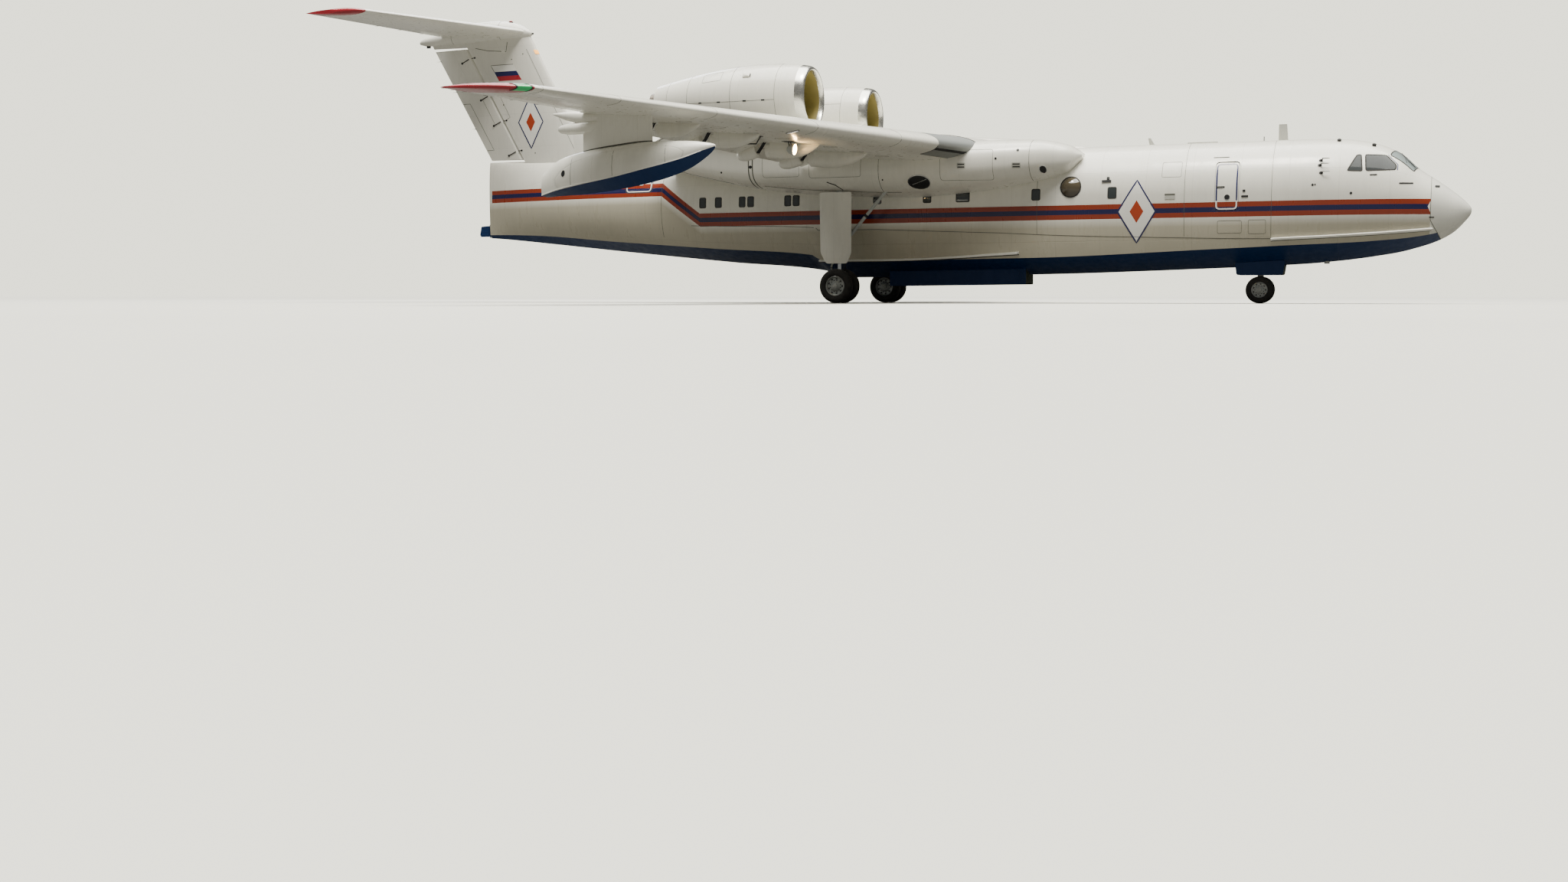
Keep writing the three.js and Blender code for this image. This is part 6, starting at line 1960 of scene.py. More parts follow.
DOOR_Y = MAIN_GEAR_Y + 0.215
main_door = Shape()
rear, front = MAIN_GEAR_X - 0.52, MAIN_GEAR_X + 0.42
door_plate([(rear, 0.72), (rear + 0.03, -0.95), (rear + 0.2, -1.25), (front - 0.12, -1.25), (front, -0.95),
            (front, 0.72)],
           upright, DOOR_Y, DOOR_Y + 0.028, main_door, (0, 1), 0.06)
for z in (-0.65, 0.15):
    main_door.tube([(MAIN_GEAR_X, MAIN_GEAR_Y + 0.1, NOSE_HEIGHT + z),
                    (MAIN_GEAR_X, DOOR_Y + 0.004, NOSE_HEIGHT + z)], 0.021, 14, 2)
    main_door.tube([(MAIN_GEAR_X, DOOR_Y - 0.012, NOSE_HEIGHT + z),
                    (MAIN_GEAR_X, DOOR_Y + 0.002, NOSE_HEIGHT + z)], 0.05, 18, 2)
for x in (MAIN_GEAR_X - 0.36, MAIN_GEAR_X + 0.28):
    main_door.box((x - 0.015, DOOR_Y - 0.02, NOSE_HEIGHT - 1.0),
                  (x + 0.015, DOOR_Y + 0.003, NOSE_HEIGHT + 0.55), finish=1)
main_door.box((rear + 0.06, DOOR_Y - 0.02, NOSE_HEIGHT - 0.3),
              (front - 0.06, DOOR_Y + 0.003, NOSE_HEIGHT - 0.26), finish=1)
add_pair("main_door", main_door, [skin_white, bay_primer, dark_steel], stands_for=["main_gear_door_{}"],
         slot="white_paint", bevel=0.002)
print("Gear doors: 4")

# %% [markdown]
# ## Water doors, their bay, and the water rudder
#
# The tanks empty through two long doors beside the keel. Each is a strip of the planing bottom, hinged
# along its outer edge, and hangs open here as in the photograph. Black jacks push them. At the stern a
# small rudder steers the boat afloat. It turns on a pin between two lugs.

# %% Water doors
BAY_HINGE, WATER_DOOR, WATER_DOOR_REST = 0.42, 0.026, 72


def bottom_line(x):
    """The keel's height and the bottom's slope, straight between two rows of the hull's table."""
    (xa, keel_a, ya, za), (xb, keel_b, yb, zb) = ((row[0], row[1], row[2],
                                                   row[3]) for row in HULL_SECTIONS if row[0] in (5.03, -1.195))
    t = (xa - x) / (xa - xb)
    slope_a, slope_b = (za - keel_a) / ya, (zb - keel_b) / yb
    return keel_a + t * (keel_b - keel_a), slope_a + t * (slope_b - slope_a)


ends = []
for x in (BAY_REAR, BAY_FRONT):
    keel, slope = bottom_line(x)
    ends.append(Vector((x, BAY_HINGE, NOSE_HEIGHT + keel + slope * BAY_HINGE + WATER_DOOR / 2 + 0.003)))
door_slope = math.atan(bottom_line((BAY_REAR + BAY_FRONT) / 2)[1])
along = (ends[1] - ends[0]).normalized()
down = along.cross(Vector((0, -math.cos(door_slope), -math.sin(door_slope)))).normalized()
hinge_frame = Matrix.Translation(ends[0]) @ Matrix((along, down.cross(along), down)).transposed().to_4x4()
open_frame = hinge_frame @ Matrix.Rotation(math.radians(WATER_DOOR_REST), 4, "X")
door_width = BAY_HINGE / math.cos(door_slope) - RUN
door_length = (ends[1] - ends[0]).length - 2 * RUN

water_door = Shape()
water_door.prism(rounded(box_outline(RUN, RUN + door_length, 0.0, door_width), 0.03), open_frame, 0.0,
                 WATER_DOOR / 2, 0)
water_door.prism(rounded(box_outline(RUN + 0.004, RUN + door_length - 0.004, 0.0, door_width - 0.004), 0.03),
                 open_frame,
                 -WATER_DOOR / 2 + 0.004, 0.001, 1)
water_door.tube([open_frame @ Vector((RUN, 0, 0)), open_frame @ Vector((RUN + door_length, 0, 0))],
                WATER_DOOR / 2 - 0.0005, 14, 2)
water_door.tube([open_frame @ Vector((RUN - 0.035, 0, 0)),
                 open_frame @ Vector((RUN + door_length + 0.035, 0, 0))], 0.0078, 12, 2)
for k in range(9):
    u = RUN + 0.12 + k * (door_length - 0.24) / 8
    water_door.box((u - 0.012, 0.03, -WATER_DOOR / 2), (u + 0.012, door_width - 0.03, -WATER_DOOR / 2 + 0.006),
                   open_frame, 1)
water_door.box((RUN + 0.05, door_width - 0.03, -WATER_DOOR / 2),
               (RUN + door_length - 0.05, door_width - 0.008, -WATER_DOOR / 2 + 0.006), open_frame, 3)
add_pair("water_door_panel", water_door, [bottom_navy, bay_primer, dark_steel, rubber], "water_door_{}",
         ["water_door_{}"], slot="navy_paint", bevel=0.0015)

# The bay's inside: frames across the roof and a seal strip along the keel side
bay_frames = Shape()
for k in range(8):
    x = BAY_REAR + 0.25 + k * 0.5
    bay_frames.box((x - 0.02, -0.425, NOSE_HEIGHT - 1.06), (x + 0.02, 0.425, NOSE_HEIGHT - 0.995), finish=0)
bay_frames.box((BAY_REAR + 0.02, -0.03, NOSE_HEIGHT - 1.08), (BAY_FRONT - 0.02, 0.03, NOSE_HEIGHT - 0.995),
               finish=0)
for k in (1, 3, 5):
    x = BAY_REAR + 0.25 + k * 0.5 + 0.25
    for side in (1, -1):
        bay_frames.tube([(x, 0.06 * side, NOSE_HEIGHT - 1.02), (x, 0.2 * side, NOSE_HEIGHT - 1.2)], 0.022, 12,
                        1)
        bay_frames.tube([(x, 0.19 * side, NOSE_HEIGHT - 1.19), (x, 0.27 * side, NOSE_HEIGHT - 1.3)], 0.012, 12,
                        2)
add_piece("water_bay_frames", bay_frames.mesh("water_bay_frames", [bay_primer, mark_black, chrome]),
          bevel=0.002)
print("Water doors: 2")

# %% Water rudder and jack pads
STERN_HINGE = STERN_X - 0.045
blade_outline = rounded([(STERN_HINGE, -0.25), (STERN_HINGE, 0.1), (-13.34, 0.08), (-13.4, -0.19),
                         (-13.36, -0.25)], 0.02, 3)
water_rudder = Shape()
water_rudder.prism(blade_outline, upright, -0.012, 0.012)
water_rudder.tube([(STERN_HINGE, 0, NOSE_HEIGHT - 0.249), (STERN_HINGE, 0, NOSE_HEIGHT + 0.099)], 0.0258, 20)
water_rudder.tube([(STERN_HINGE, 0, NOSE_HEIGHT - 0.279), (STERN_HINGE, 0, NOSE_HEIGHT + 0.129)], 0.0119, 14, 1)
for z in (-0.18, -0.08, 0.03):
    water_rudder.box((STERN_HINGE - 0.3, -0.017, NOSE_HEIGHT + z - 0.008),
                     (STERN_HINGE - 0.02, 0.017, NOSE_HEIGHT + z + 0.008), finish=0)
add_piece("water_rudder_blade", water_rudder.mesh("water_rudder_blade", [bottom_navy, dark_steel]),
          "water_rudder",
          ["water_rudder"], slot="navy_paint", bevel=0.003)

lugs = Shape()
for low, high in ((-0.284, -0.254), (0.104, 0.134)):
    lugs.box((STERN_HINGE - 0.026, -0.026, NOSE_HEIGHT + low), (STERN_X + 0.06, 0.026, NOSE_HEIGHT + high),
             soft=0.02)
lugs.tube([(12.6, 0, NOSE_HEIGHT - 1.31), (12.6, 0, NOSE_HEIGHT - 1.2)], 0.07, 24)
lugs.tube([(12.6, 0, NOSE_HEIGHT - 1.312), (12.6, 0, NOSE_HEIGHT - 1.3)], 0.03, 16, 1)
for y in (1.6, -1.6):
    lugs.tube([(2.6, y, NOSE_HEIGHT + 0.64), (2.6, y, NOSE_HEIGHT + 0.8)], 0.07, 24)
    lugs.tube([(2.6, y, NOSE_HEIGHT + 0.638), (2.6, y, NOSE_HEIGHT + 0.65)], 0.03, 16, 1)
add_piece("stern_lugs_and_jack_pads", lugs.mesh("stern_lugs_and_jack_pads", [gear_grey, dark_steel]),
          bevel=0.002)

# %% [markdown]
# ## Wing fittings
#
# The wing carries lamps in its tips and under each panel, a grey cuff over the root's leading edge,
# black guards beside the flap tracks, partly a painted shadow of the gap there, oval covers over the
# fuel tanks and seals where it meets the fairing.
# A shell round a leading edge is lofted from the wing's own section, pushed outwards a few
# millimetres.

# %% Wing fittings
def edge_shell(shape, panel, spans, reach, height, finish):
    """A thin shell round a leading edge, reaching some way back on both faces."""
    rings = []
    for out in spans:
        lead, _ = panel.edges(out)
        depths = [reach * (1 - k / 7) ** 2 for k in range(8)]
        ring = []
        for side, run in ((1, depths[:-1]), (-1, depths[-2::-1])):
            skin = panel.skin(side)
            for depth in run:
                point, normal = skin(lead - depth, out)
                ring.append(point + normal * height)
            if side > 0:
                ring.append(panel.point(lead, out, 1) + Vector((height, 0, 0)))
        for side in (-1, 1):
            point, normal = panel.skin(side)(lead - reach, out)
            ring.append(point - normal * 0.01)
        rings.append(ring)
    shape.loft(rings, finish)


over, under = wing_panel.skin(1), wing_panel.skin(-1)


def wing_lead(out):
    return wing_panel.edges(out)[0]


fitted = Shape()
edge_shell(fitted, wing_panel, spread(1.98, 3.6, 7), 0.5, 0.005, 0)
edge_shell(fitted, wing_panel, (1.94, 1.972), 1.1, 0.014, 1)
fitted.ribbon([(wing_lead(y) - 0.51, y) for y in spread(2.0, 3.6, 8)], 0.018, under, 0.006, 0.01, 1)
fitted.ribbon([(wing_lead(y) - 0.1, y) for y in spread(2.0, 3.6, 8)], 0.085, under, 0.01, 0.01, 1)
fitted.ribbon([(wing_lead(3.61) - d, 3.61) for d in spread(0.02, 0.5, 6)], 0.014, under, 0.007, 0.01, 1)
for y in (3.7, 4.75, 5.8, 7.6, 8.7, 9.8, 10.9):
    lead, trail = wing_panel.edges(y)
    for skin in (over, under):
        fitted.ribbon(oval(lead - 0.34 * (lead - trail), y, 0.19, 0.12, 24), 0.012, skin, 0.002, 0.01, 2,
                      closed=True)
for y in (5.0, 7.9, 11.0, 13.6, 15.5):
    fitted.ribbon([(wing_lead(y) - d, y) for d in (0.002, 0.01, 0.04, 0.1, 0.2, 0.34)], 0.01, over, 0.002, 0.01,
                  2)
    fitted.ribbon([(wing_lead(y) - d, y) for d in (0.002, 0.01, 0.04, 0.1, 0.2, 0.34)], 0.01, under, 0.002,
                  0.01, 2)
# Black U-shaped guards beside the flap tracks. Their black is partly a painted shadow: it stands for the dark gap that
# lies in the flap's shadow there.
for span, *_ in CANOES[:3]:
    y = span - 0.42
    lead, trail = wing_panel.edges(y)
    hinge_x = lead - 0.72 * (lead - trail)
    spots = [(hinge_x + 1.08, 0.0), (hinge_x + 0.96, 0.19), (hinge_x + 0.26, 0.22), (hinge_x + 0.17, 0.0)]
    path = [wing_panel.point(x, y, -1) - Vector((0, 0, drop - 0.005)) for x, drop in spots]
    fitted.tube(path, 0.017, 10, 1)
    fitted.ribbon([(hinge_x + 1.14, y), (hinge_x + 0.2, y)], 0.05, under, 0.008, 0.01, 1)
    for x in (hinge_x + 1.08, hinge_x + 0.22):
        fitted.patch(oval(x, y, 0.04, 0.04, 12), under, 0.012, 0.01, 1, rings=2)
add_pair("wing_fittings", fitted, [cuff_grey, mark_black, sealant_and_painted_shadow], bevel=0.0)
print("Wing fittings on each side")

# %% Wing lamps
for side, glass in (("left", red_lamp), ("right", green_lamp)):
    lamps = Shape()
    edge_shell(lamps, wing_panel, spread(15.74, 15.92, 5), 0.15, 0.006, 0)
    edge_shell(lamps, wing_panel, (15.722, 15.74), 0.17, 0.009, 1)
    edge_shell(lamps, wing_panel, (15.92, 15.938), 0.17, 0.009, 1)
    # A lamp let into the lower skin near the leading edge
    lamps.patch(oval(0.86, 8.35, 0.16, 0.07, 20), under, 0.008, 0.01, 2, rings=3, crown=0.012)
    lamps.ribbon(oval(0.86, 8.35, 0.165, 0.075, 20), 0.016, under, 0.012, 0.01, 1, closed=True)
    # The landing lamp, swung down on its arm
    top = wing_panel.point(0.22, 6.9, -1)
    middle = top + Vector((0.06, 0, -0.19))
    facing = Matrix.Translation(middle) @ Matrix.Rotation(math.radians(8), 4, "Y")
    lamps.turned([(-0.15, 0.001), (-0.14, 0.06), (-0.07, 0.12), (0.03, 0.148), (0.06, 0.15), (0.06, 0.136),
                  (0.045, 0.134), (0.045, 0.001)],
                 32, facing, 3)
    lamps.turned([(0.046, 0.001), (0.046, 0.133), (0.056, 0.129), (0.085, 0.07), (0.092, 0.001)], 32, facing, 4)
    for y in (-0.07, 0.07):
        lamps.tube([top + Vector((-0.04, y, 0.03)), middle + Vector((-0.03, y * 1.4, 0.02))], 0.014, 10, 1)
    lamps.patch(rounded(box_outline(0.02, 0.36, 6.75, 7.05), 0.06), under, 0.004, 0.01, 1, rings=2)
    shape = lamps if side == "left" else lamps.mirrored()
    name = f"wing_lamps_{side}"
    add_piece(name, shape.mesh(name, [glass, dark_steel, clear_lamp, gear_grey, landing_lamp]))
print("Wing lamps: 6")

# %% [markdown]
# ## Fittings on the fairings
#
# An oval inlet and a round one open in the gear fairing, with bars over two small vents. Panels are
# held by screws, and the rear end is a bolted cap, with a seal along its upper edge.

# %% Fairing fittings
side_skin = fairing_skin
bits = Shape()
bits.patch(oval(2.2, 0.93, 0.29, 0.165, 32), side_skin, 0.004, 0.01, 0, rings=4)
bits.ribbon(oval(2.2, 0.93, 0.295, 0.17, 32), 0.02, side_skin, 0.016, 0.01, 1, closed=True)
bits.tube([side_skin(2.42, 0.99)[0] + Vector((0, 0.012, 0)), side_skin(2.0, 0.86)[0] + Vector((0, 0.012, 0))],
          0.012, 8, 1)
bits.patch(oval(5.45, 1.22, 0.085, 0.085, 24), side_skin, 0.004, 0.01, 0, rings=3)
bits.ribbon(oval(5.45, 1.22, 0.09, 0.09, 24), 0.014, side_skin, 0.01, 0.01, 1, closed=True, step=0.03)
for x, z in ((3.37, 1.33), (4.8, 1.32)):
    bits.patch(rounded(box_outline(x - 0.11, x + 0.11, z - 0.075, z + 0.075), 0.02), side_skin, 0.004, 0.01, 2,
               rings=2)
    for rise in (-0.04, 0.03):
        bits.ribbon([(x - 0.09, z + rise), (x + 0.09, z + rise)], 0.026, side_skin, 0.009, 0.01, 0)
for x, z, radius in ((4.28, 1.5, 0.03), (4.83, 1.72, 0.035), (-5.15, 1.75, 0.028), (-4.4, 1.73, 0.03),
                     (-3.58, 1.33, 0.028), (-2.66, 1.45, 0.045),
                     (1.2, 1.0, 0.02), (0.55, 1.6, 0.02)):
    bits.patch(oval(x, z, radius, radius, 14), side_skin, 0.006, 0.01, 0, rings=2)
for x in (-2.6, -2.72, 5.12, 1.1):
    low, high = fairing_row(x)[1:3]
    width, finish = (0.03, 3) if x < 0 else (0.01, 3)
    bits.ribbon([(x, z) for z in spread(low + 0.03, high - 0.03, 12)], width, side_skin, 0.003, 0.01, finish)
for path in ([(x, fairing_row(x)[2] - 0.03) for x in spread(-5.9, -3.0, 12)],
             [(x, fairing_row(x)[1] + 0.045) for x in spread(-5.7, -3.4, 12)],
             [(x, fairing_row(x)[1] + 0.1) for x in spread(-2.4, 1.6, 12)]):
    bits.ribbon(path, 0.018, side_skin, 0.004, 0.01, 3)
for low_x, high_x, low, high in ((-2.3, -1.2, 1.15, 1.75), (2.8, 4.2, 0.95, 1.75), (-0.9, 0.6, 1.1, 1.8)):
    bits.ribbon(rounded(box_outline(low_x, high_x, low, high), 0.08), 0.008, side_skin, 0.002, 0.01, 3,
                closed=True)
bits.tube([side_skin(-0.42, 0.98)[0] + Vector((0, 0.01, 0)), side_skin(-0.2, 0.9)[0] + Vector((0, 0.02, 0)),
           side_skin(-0.05, 0.78)[0] + Vector((0, 0.015, 0))],
          0.012, 8, 0)
add_pair("fairing_fittings", bits, [mark_black, chrome, aerial_grey, sealant_and_painted_shadow])
print("Fairing fittings on each side")

# %% [markdown]
# ## Fittings on the fin and its bullet
#
# The rudder hangs on brackets whose arms show as short dark strips, and they swing with it. The fin
# has a lamp in its leading edge, and three slots open in the ridge in front of it. A beacon, a tail
# lamp and a feeler sit on the bullet.

# %% Fin fittings
def rudder_side(side):
    """The rudder's surface as a function of x and height."""
    def at(x, z):
        share = (z - NOSE_HEIGHT - 1.9) / 4.1
        nose = rudder_hinge.noses[0] + (rudder_hinge.noses[1] - rudder_hinge.noses[0]) * share
        front, trail = fin_hinge_x(z), fin_panel.straight_edges(z)[1]
        t = min(max((front - x) / (front - trail), 0.0), 1.0)
        return Vector((x, side * (nose * (1 - t) + EDGE * t), z)), Vector((-0.07, side, 0)).normalized()
    return at


def ridge_side(side):
    def at(x, z):
        half, top = ridge_row(x)
        angle = math.asin(min(max((z - 1.9) / (top - 1.9), 0.0), 0.999) ** (1 / 0.9))
        y = half * (1 + 0.2 * (1 - math.sin(angle))) * math.cos(angle) ** 0.8
        return Vector((x, side * y, NOSE_HEIGHT + z)), Vector((0.05, side, 0.25)).normalized()
    return at


brackets, fixed = Shape(), Shape()
for side in (1, -1):
    moving, still, ridge = rudder_side(side), fin_panel.skin(side), ridge_side(side)
    for z in (5.40, 4.20, 3.38, 2.42):
        z += NOSE_HEIGHT
        x = fin_hinge_x(z)
        brackets.ribbon([(x - 0.01, z), (x - 0.14, z - 0.055), (x - 0.28, z - 0.11)], 0.028, moving, 0.012,
                        0.01, 0)
        brackets.patch(oval(x - 0.29, z - 0.115, 0.035, 0.035, 12), moving, 0.016, 0.01, 0, rings=2)
        fixed.patch(oval(x + 0.22, z + 0.03, 0.03, 0.03, 12), still, 0.008, 0.01, 0, rings=2)
        fixed.ribbon([(x + 0.09, z + 0.02), (x + 0.22, z + 0.03)], 0.02, still, 0.006, 0.01, 0)
    low, high = NOSE_HEIGHT + 3.3, NOSE_HEIGHT + 4.1
    brackets.ribbon([(fin_hinge_x(high) - 0.28, high), (fin_hinge_x(low) - 0.28, low)], 0.009, moving, 0.003,
                    0.01, 1)
    tab = [(fin_panel.straight_edges(z)[1] + reach, z) for reach, z in (
        (0.02, NOSE_HEIGHT + 2.5), (0.3, NOSE_HEIGHT + 2.5), (0.3, NOSE_HEIGHT + 4.0),
        (0.02, NOSE_HEIGHT + 4.0))]
    brackets.ribbon(tab, 0.012, moving, 0.003, 0.01, 1)
    fixed.ribbon([(fin_hinge_x(NOSE_HEIGHT + 4.25) + 0.16, NOSE_HEIGHT + 4.25),
                  (fin_hinge_x(NOSE_HEIGHT + 4.2) + 0.4, NOSE_HEIGHT + 4.3),
                  (fin_hinge_x(NOSE_HEIGHT + 3.45) + 0.4, NOSE_HEIGHT + 3.5),
                  (fin_hinge_x(NOSE_HEIGHT + 3.4) + 0.16, NOSE_HEIGHT + 3.4)],
                 0.009, still, 0.003, 0.01, 1)
    fixed.ribbon([(-13.35, NOSE_HEIGHT + 5.72), (-12.9, NOSE_HEIGHT + 5.62), (-12.2, NOSE_HEIGHT + 5.55),
                  (-12.15, NOSE_HEIGHT + 5.85)],
                 0.016, still, 0.004, 0.01, 1)
    fixed.patch(rounded(box_outline(-12.36, -12.24, NOSE_HEIGHT + 5.52, NOSE_HEIGHT + 5.6), 0.02), still, 0.02,
                0.01, 2, rings=2)
    for x, z in ((-12.75, 4.35), (-12.0, 5.3), (-12.35, 3.9), (-11.2, 2.35), (-11.6, 5.45)):
        fixed.patch(oval(x, NOSE_HEIGHT + z, 0.018, 0.018, 10), still, 0.004, 0.01, 0, rings=1)
    edge_line = [(fin_panel.straight_edges(NOSE_HEIGHT + z)[0] - 0.3, NOSE_HEIGHT + z) for z in (5.6, 4.2, 3.0,
            2.45)]
    fixed.ribbon(edge_line, 0.01, still, 0.003, 0.01, 1)
    for x in (-8.24, -8.0, -7.76):
        fixed.patch(rounded(box_outline(x - 0.085, x + 0.085, 2.40, 2.455), 0.025), ridge, 0.008, 0.01, 0,
                    rings=2)
    for x, low, high in ((-8.95, 1.95, 2.75), (-7.45, 1.95, 2.45)):
        fixed.ribbon([(x, z) for z in spread(low, high, 8)], 0.01, ridge, 0.003, 0.01, 1)
edge_shell(fixed, fin_panel, (NOSE_HEIGHT + 5.44, NOSE_HEIGHT + 5.5, NOSE_HEIGHT + 5.56), 0.09, 0.012, 3)
add_piece("rudder_brackets", brackets.mesh("rudder_brackets", [mark_black, sealant_and_painted_shadow]), "rudder")
add_piece("fin_fittings", fixed.mesh("fin_fittings", [mark_black, sealant_and_painted_shadow, strip_white, amber_lamp]))

# %% Bullet fittings
def bullet_skin(x, angle):
    radius, middle = bullet_row(x)
    direction = Vector((0, math.sin(angle), math.cos(angle)))
    return Vector((x, 0, NOSE_HEIGHT + middle)) + direction * radius, direction


top_bits = Shape()
BEACON_X = -12.12
spot = bullet_skin(BEACON_X, 0)[0]
top_bits.turned([(-0.02, 0.001), (-0.02, 0.075), (0.012, 0.075), (0.02, 0.06), (0.02, 0.001)], 24,
                Matrix.Translation(spot) @ Matrix.Rotation(math.radians(-90), 4, "Y"), 1)
top_bits.turned([(0.01, 0.001), (0.01, 0.058), (0.03, 0.055), (0.045, 0.04), (0.052, 0.001)], 24,
                Matrix.Translation(spot) @ Matrix.Rotation(math.radians(-90), 4, "Y"), 0)
nose_spot = Vector((-11.36, 0, NOSE_HEIGHT + 6.085))
top_bits.tube([nose_spot - Vector((0.04, 0, 0)), nose_spot + Vector((0.06, 0, 0))], [0.034, 0.026], 14, 1)
top_bits.tube([(-15.515, 0, NOSE_HEIGHT + 6.02), (-15.56, 0, NOSE_HEIGHT + 6.02)], [0.032, 0.02], 14, 2)
top_bits.box((-15.3, -0.03, NOSE_HEIGHT + 5.86), (-15.16, 0.03, NOSE_HEIGHT + 5.98), finish=1, soft=0.02)
for x in (-12.4, -14.2):
    top_bits.ribbon([(x, a) for a in spread(-math.pi, math.pi, 49)[:-1]], 0.01, bullet_skin, 0.002, 0.01, 3,
                    closed=True)
add_piece("bullet_fittings", top_bits.mesh("bullet_fittings", [red_lamp, mark_black, clear_lamp, sealant_and_painted_shadow]))
print("Fin and bullet dressed")

# %% [markdown]
# ## Fittings on the nacelles and floats
#
# Cowl doors open upwards for service, so joints and latches run along each nacelle. Under it is a drain
# mast, and a small scoop cools the generator. The floats have a lifting eye, a filler cap and a seal
# round their struts.

# %% Nacelle fittings
def cowl_skin(x, angle):
    """The nacelle's outside. The angle runs from its top towards its outer side."""
    radius = cowl_row(x)[0]
    slope = (cowl_row(x + 0.02)[0] - cowl_row(x - 0.02)[0]) / 0.04
    direction = Vector((-slope, math.sin(angle), math.cos(angle))).normalized()
    return Vector((x, ENGINE_Y + radius * math.sin(angle), ENGINE_Z + radius * math.cos(angle))), direction


cowl = Shape()
for x in (-1.62, -2.95, -4.35, -5.05):
    cowl.ribbon([(x, a) for a in spread(-math.pi, math.pi, 73)[:-1]], 0.009, cowl_skin, 0.002, 0.01, 0,
                closed=True)
for angle in (0.12, 1.7, 2.9, -1.2):
    cowl.ribbon([(x, angle) for x in spread(-4.35, -1.62, 10)], 0.009, cowl_skin, 0.002, 0.01, 0)
for x in (-1.95, -2.5, -3.3, -3.9):
    cowl.patch(rounded(box_outline(x - 0.05, x + 0.05, 1.68, 1.72), 0.012), cowl_skin, 0.006, 0.01, 1, rings=1)
cowl.ribbon(rounded(box_outline(-3.9, -3.3, 0.6, 1.0), 0.05), 0.008, cowl_skin, 0.002, 0.01, 0, closed=True)
cowl.patch(rounded(box_outline(-2.62, -2.4, 0.86, 0.98), 0.03), cowl_skin, 0.03, 0.01, 2, rings=3, crown=0.02)
cowl.patch(rounded(box_outline(-2.405, -2.39, 0.87, 0.97), 0.004), cowl_skin, 0.036, 0.01, 3, rings=1)
cowl.box((-3.3, ENGINE_Y + 0.3 - 0.012, ENGINE_Z - 1.06), (-3.14, ENGINE_Y + 0.3 + 0.012, ENGINE_Z - 0.85),
         finish=2, soft=0.01)
add_pair("nacelle_fittings", cowl, [sealant_and_painted_shadow, dark_steel, skin_white, mark_black])

# %% Float fittings
def float_side(x, share):
    """The float's outer side, from the chine at 0 to the deck at 1."""
    half, keel, chine, top = float_row(x)
    rows = [0.0] + [r for _, r in FLOAT_SIDE[1:]]
    widths = [w for w, _ in FLOAT_SIDE]
    i = min(max(bisect.bisect_right(rows, share) - 1, 0), len(rows) - 2)
    t = (share - rows[i]) / (rows[i + 1] - rows[i])
    width = widths[i] + t * (widths[i + 1] - widths[i])
    return Vector((x, FLOAT_Y + half * width, NOSE_HEIGHT + chine + share * (top - chine))), Vector((0, 1,
            0.2)).normalized()


def float_other_side(x, share):
    point, normal = float_side(x, share)
    return Vector((point.x, 2 * FLOAT_Y - point.y, point.z)), Vector((normal.x, -normal.y, normal.z))


float_bits = Shape()
for skin in (float_side, float_other_side):
    float_bits.ribbon([(x, 0.03) for x in spread(-3.8, 0.2, 30)], 0.014, skin, 0.006, 0.01, 0)
    for x in (-0.6, -1.9, -3.0):
        float_bits.ribbon([(x, s) for s in spread(0.05, 0.85, 8)], 0.008, skin, 0.002, 0.01, 1)
    float_bits.patch(oval(-3.2, 0.45, 0.05, 0.1, 14), skin, 0.005, 0.01, 2, rings=2)
float_bits.tube([(-3.75, FLOAT_Y, NOSE_HEIGHT + 0.66), (-3.75, FLOAT_Y, NOSE_HEIGHT + 0.72)], 0.02, 12, 2)
seat = [(x, FLOAT_Y + half + 0.012) for x, half in strut_rows] + [(x, FLOAT_Y - half - 0.012) for x,
        half in reversed(strut_rows)]
heights = {x: NOSE_HEIGHT + float_row(x)[3] for x, _ in strut_rows}
rings = [[Vector((x, y, heights[x] + rise)) for x, y in seat] for rise in (-0.03, 0.02)]
float_bits.loft(rings, 1)
add_pair("float_fittings", float_bits, [strip_white, sealant_and_painted_shadow, dark_steel])
print("Nacelle and float fittings on each side")

# %% [markdown]
# ## Wicks and rivets
#
# Thin wicks on the trailing edges let static charge leak away. They ride on the surfaces that they are
# screwed to. Rows of rivets hold the joints at the nose, the doors and the lap above the bottom. Both
# are single items set on points by the node tree.

# %% Wicks
wick = Shape()
wick.tube([(0, 0, -0.02), (0, 0, 0.05)], 0.009, 8)
wick.tube([(0, 0, 0.045), (0, 0, 0.15)], [0.005, 0.0035], 6)
wick_mesh = wick.mesh("wick", [mark_black])
BACKWARDS = Vector((-1, 0, 0))


def wicks_on(hinge, shares):
    return [(hinge.matrix @ Vector((-hinge.backs[0] - (hinge.backs[1] - hinge.backs[0]) * t + 0.01,
                                    hinge.length * t, 0)), BACKWARDS)
            for t in shares]


WICKS = [("aileron_wicks", "aileron_{}", wicks_on(aileron, (0.15, 0.4, 0.65, 0.9))),
         ("elevator_wicks", "elevator_{}", wicks_on(elevator_hinge, (0.15, 0.35, 0.55))),
         ("wing_tip_wicks", "airframe", [(wing_panel.point(wing_panel.edges(y)[1] + 0.01, y, 1),
                                          BACKWARDS) for y in (15.65, 15.95, 16.2)])]
for title, body, spots in WICKS:
    for side, sign in SIDES.items():
        placed = [(Vector((p.x, sign * p.y, p.z)), d) for p, d in spots]
        name = f"{title}_{side}"
        add_piece(name, repeated(on_points, point_mesh(placed), wick_mesh, {"Size": 1.0}, mark_black, name),
                  body.format(side))
trailing = [(Vector((fin_panel.straight_edges(NOSE_HEIGHT + z)[1] + 0.01, 0, NOSE_HEIGHT + z)),
             BACKWARDS) for z in (3.2, 4.4, 5.4)]
add_piece("rudder_wicks", repeated(on_points, point_mesh(trailing), wick_mesh, {"Size": 1.0}, mark_black,
                                   "rudder_wicks"), "rudder")
print("Wicks:", sum(2 * len(spots) for _, _, spots in WICKS) + len(trailing))

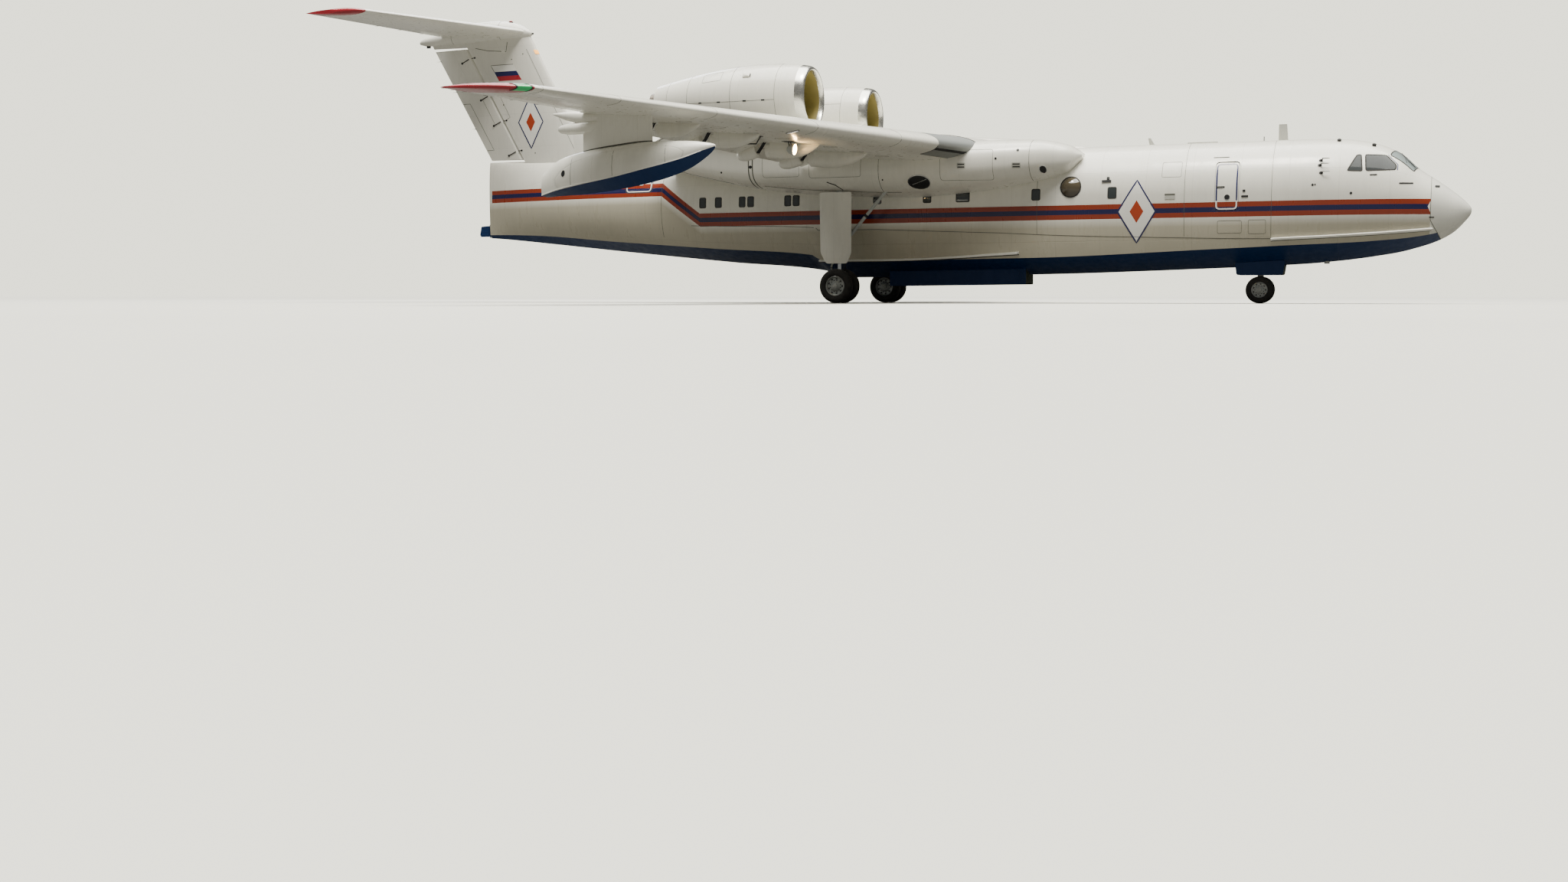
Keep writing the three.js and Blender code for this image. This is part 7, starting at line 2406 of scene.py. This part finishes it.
# %% Rivets
RIVET_PITCH, RIVET_RADIUS = 0.07, 0.006


def rivet_row(path, skin, closed=False):
    return [skin(*spot) for spot in refined(path, skin, RIVET_PITCH, closed)]


def beside(path, shift_u, shift_v=0.0):
    return [(u + shift_u, v + shift_v) for u, v in path]


spots = rivet_row(beside(RADOME_LINE[:-2], -0.035), hull_skin) + rivet_row(beside(RADOME_LINE[:-2], -0.09),
        hull_skin)
spots += rivet_row([(x, z + 0.03) for x, z in LAP_JOINT], hull_side)
for x in (11.28, 9.1, FRONT_JOINT):
    for shift in (-0.03, 0.03):
        spots += rivet_row([(x + shift, z) for z in spread(-0.5, 1.7, 24)], hull_side)
around_door = rounded(box_outline(DOOR_REAR - 0.045, DOOR_FRONT + 0.045, DOOR_SILL - 0.045,
                                  DOOR_HINGE_Z + 0.075), 0.11)
spots += rivet_row(around_door, hull_side, True)
for outline in (SIDE_PANE, QUARTER_PANE):
    middle = [sum(p[k] for p in outline) / len(outline) for k in (0, 1)]
    larger = [(u + (u - middle[0]) * 0.13, v + (v - middle[1]) * 0.17) for u, v in outline]
    spots += rivet_row(rounded(larger, 0.06), hull_side, True)
for side, sign in SIDES.items():
    placed = [(Vector((p.x, sign * p.y, p.z)), Vector((n.x, sign * n.y, n.z))) for p, n in spots]
    name = f"hull_rivets_{side}"
    add_piece(name, repeated(on_points, point_mesh(placed), rivet_mesh, {"Size": RIVET_RADIUS}, hull_paint,
                             name))
print("Rivets:", 2 * len(spots))

# %% [markdown]
# ## Floor, light and camera
#
# The stage is a plain pale floor under soft light, as on an overcast day: most of it falls straight
# down from a very wide source, which leaves the undersides dark. A key lamp stands high at the side
# and a weaker one behind. The floor looks pale to the camera but throws little light back up. The
# photograph looks up at the aircraft, so the camera stands at floor level, off its right side and a
# little ahead.

# %% Floor
floor_finish, tree, shader = new_finish("studio_floor", Base_Color=linear("#d9d8cf"), Roughness=0.75)
mottled = two_tone(tree, noise(tree, own_place(tree), 0.15, 3.0), linear("#d5d4cb"), linear("#dcdbd3"))
seen = add_node(tree, "ShaderNodeLightPath").outputs["Is Camera Ray"]
feed(tree, shader, {"Base Color": mixed(tree, seen, linear("#575652"), mottled).outputs[2]})
FLOOR_HALF = 260.0
floor_mesh = bpy.data.meshes.new("studio_floor")
floor_mesh.from_pydata([(x, y, -0.002) for x, y in box_outline(-FLOOR_HALF, FLOOR_HALF, -FLOOR_HALF,
        FLOOR_HALF)], [], [[0, 1, 2, 3]])
floor_mesh.materials.append(floor_finish)
floor = bpy.data.objects.new("studio_floor", floor_mesh)
bpy.context.scene.collection.objects.link(floor)

# %% Light
world = bpy.data.worlds.new("pale_sky")
bpy.context.scene.world = world
world.use_nodes = True
world.node_tree.nodes.clear()
SKY_LIGHT, SKY_SEEN = 0.3, 2.9  # how bright the sky is as a light, and behind the aircraft
sky_light = add_node(world.node_tree, "ShaderNodeBackground",
                     {"Color": linear("#dddcd6"), "Strength": SKY_LIGHT})
sky_seen = add_node(world.node_tree, "ShaderNodeBackground", {"Color": linear("#dedccb"), "Strength": SKY_SEEN})
seen = add_node(world.node_tree, "ShaderNodeLightPath").outputs["Is Camera Ray"]
sky = add_node(world.node_tree, "ShaderNodeMixShader", {0: seen, 1: sky_light, 2: sky_seen})
add_node(world.node_tree, "ShaderNodeOutputWorld", {"Surface": sky})


def soft_lamp(name, place, aim, size, watts, colour="#ffffff"):
    lamp = bpy.data.lights.new(name, "AREA")
    lamp.shape, lamp.size, lamp.energy = "DISK", size, watts
    lamp.color = linear(colour)[:3]
    holder = bpy.data.objects.new(name, lamp)
    holder.location = place
    holder.rotation_euler = (Vector(aim) - Vector(place)).to_track_quat("-Z", "Y").to_euler()
    bpy.context.scene.collection.objects.link(holder)


overhead = bpy.data.lights.new("overhead_light", "SUN")
overhead.energy, overhead.angle = 9.4, math.radians(70)
overhead.color = linear("#fbfaf2")[:3]
bpy.context.scene.collection.objects.link(bpy.data.objects.new("overhead_light", overhead))
soft_lamp("key_lamp", (8, -17, 54), (0, -2, 4), 14, 21000, "#fff8ea")
soft_lamp("fill_lamp", (-30, 26, 30), (0, 0, 4), 18, 5000, "#f1f5ff")

# %% Camera
CAMERA_PLACE = Vector((14.98, -43.49, 0.2))
CAMERA_YAW = math.radians(112.2)
CAMERA_PITCH = math.radians(-5.31)
CAMERA_PIXELS = 2039  # focal length in pixels of a frame 2048 wide
camera = bpy.data.objects.new("camera", bpy.data.cameras.new("camera"))
camera.data.sensor_width = 36.0
camera.data.lens = 36.0 * CAMERA_PIXELS / 2048
camera.data.clip_end = 1000.0
aim = Vector((math.cos(CAMERA_YAW) * math.cos(CAMERA_PITCH), math.sin(CAMERA_YAW) * math.cos(CAMERA_PITCH),
              math.sin(CAMERA_PITCH)))
camera.location = CAMERA_PLACE
camera.rotation_euler = aim.to_track_quat("-Z", "Y").to_euler()
bpy.context.scene.collection.objects.link(camera)
bpy.context.scene.camera = camera
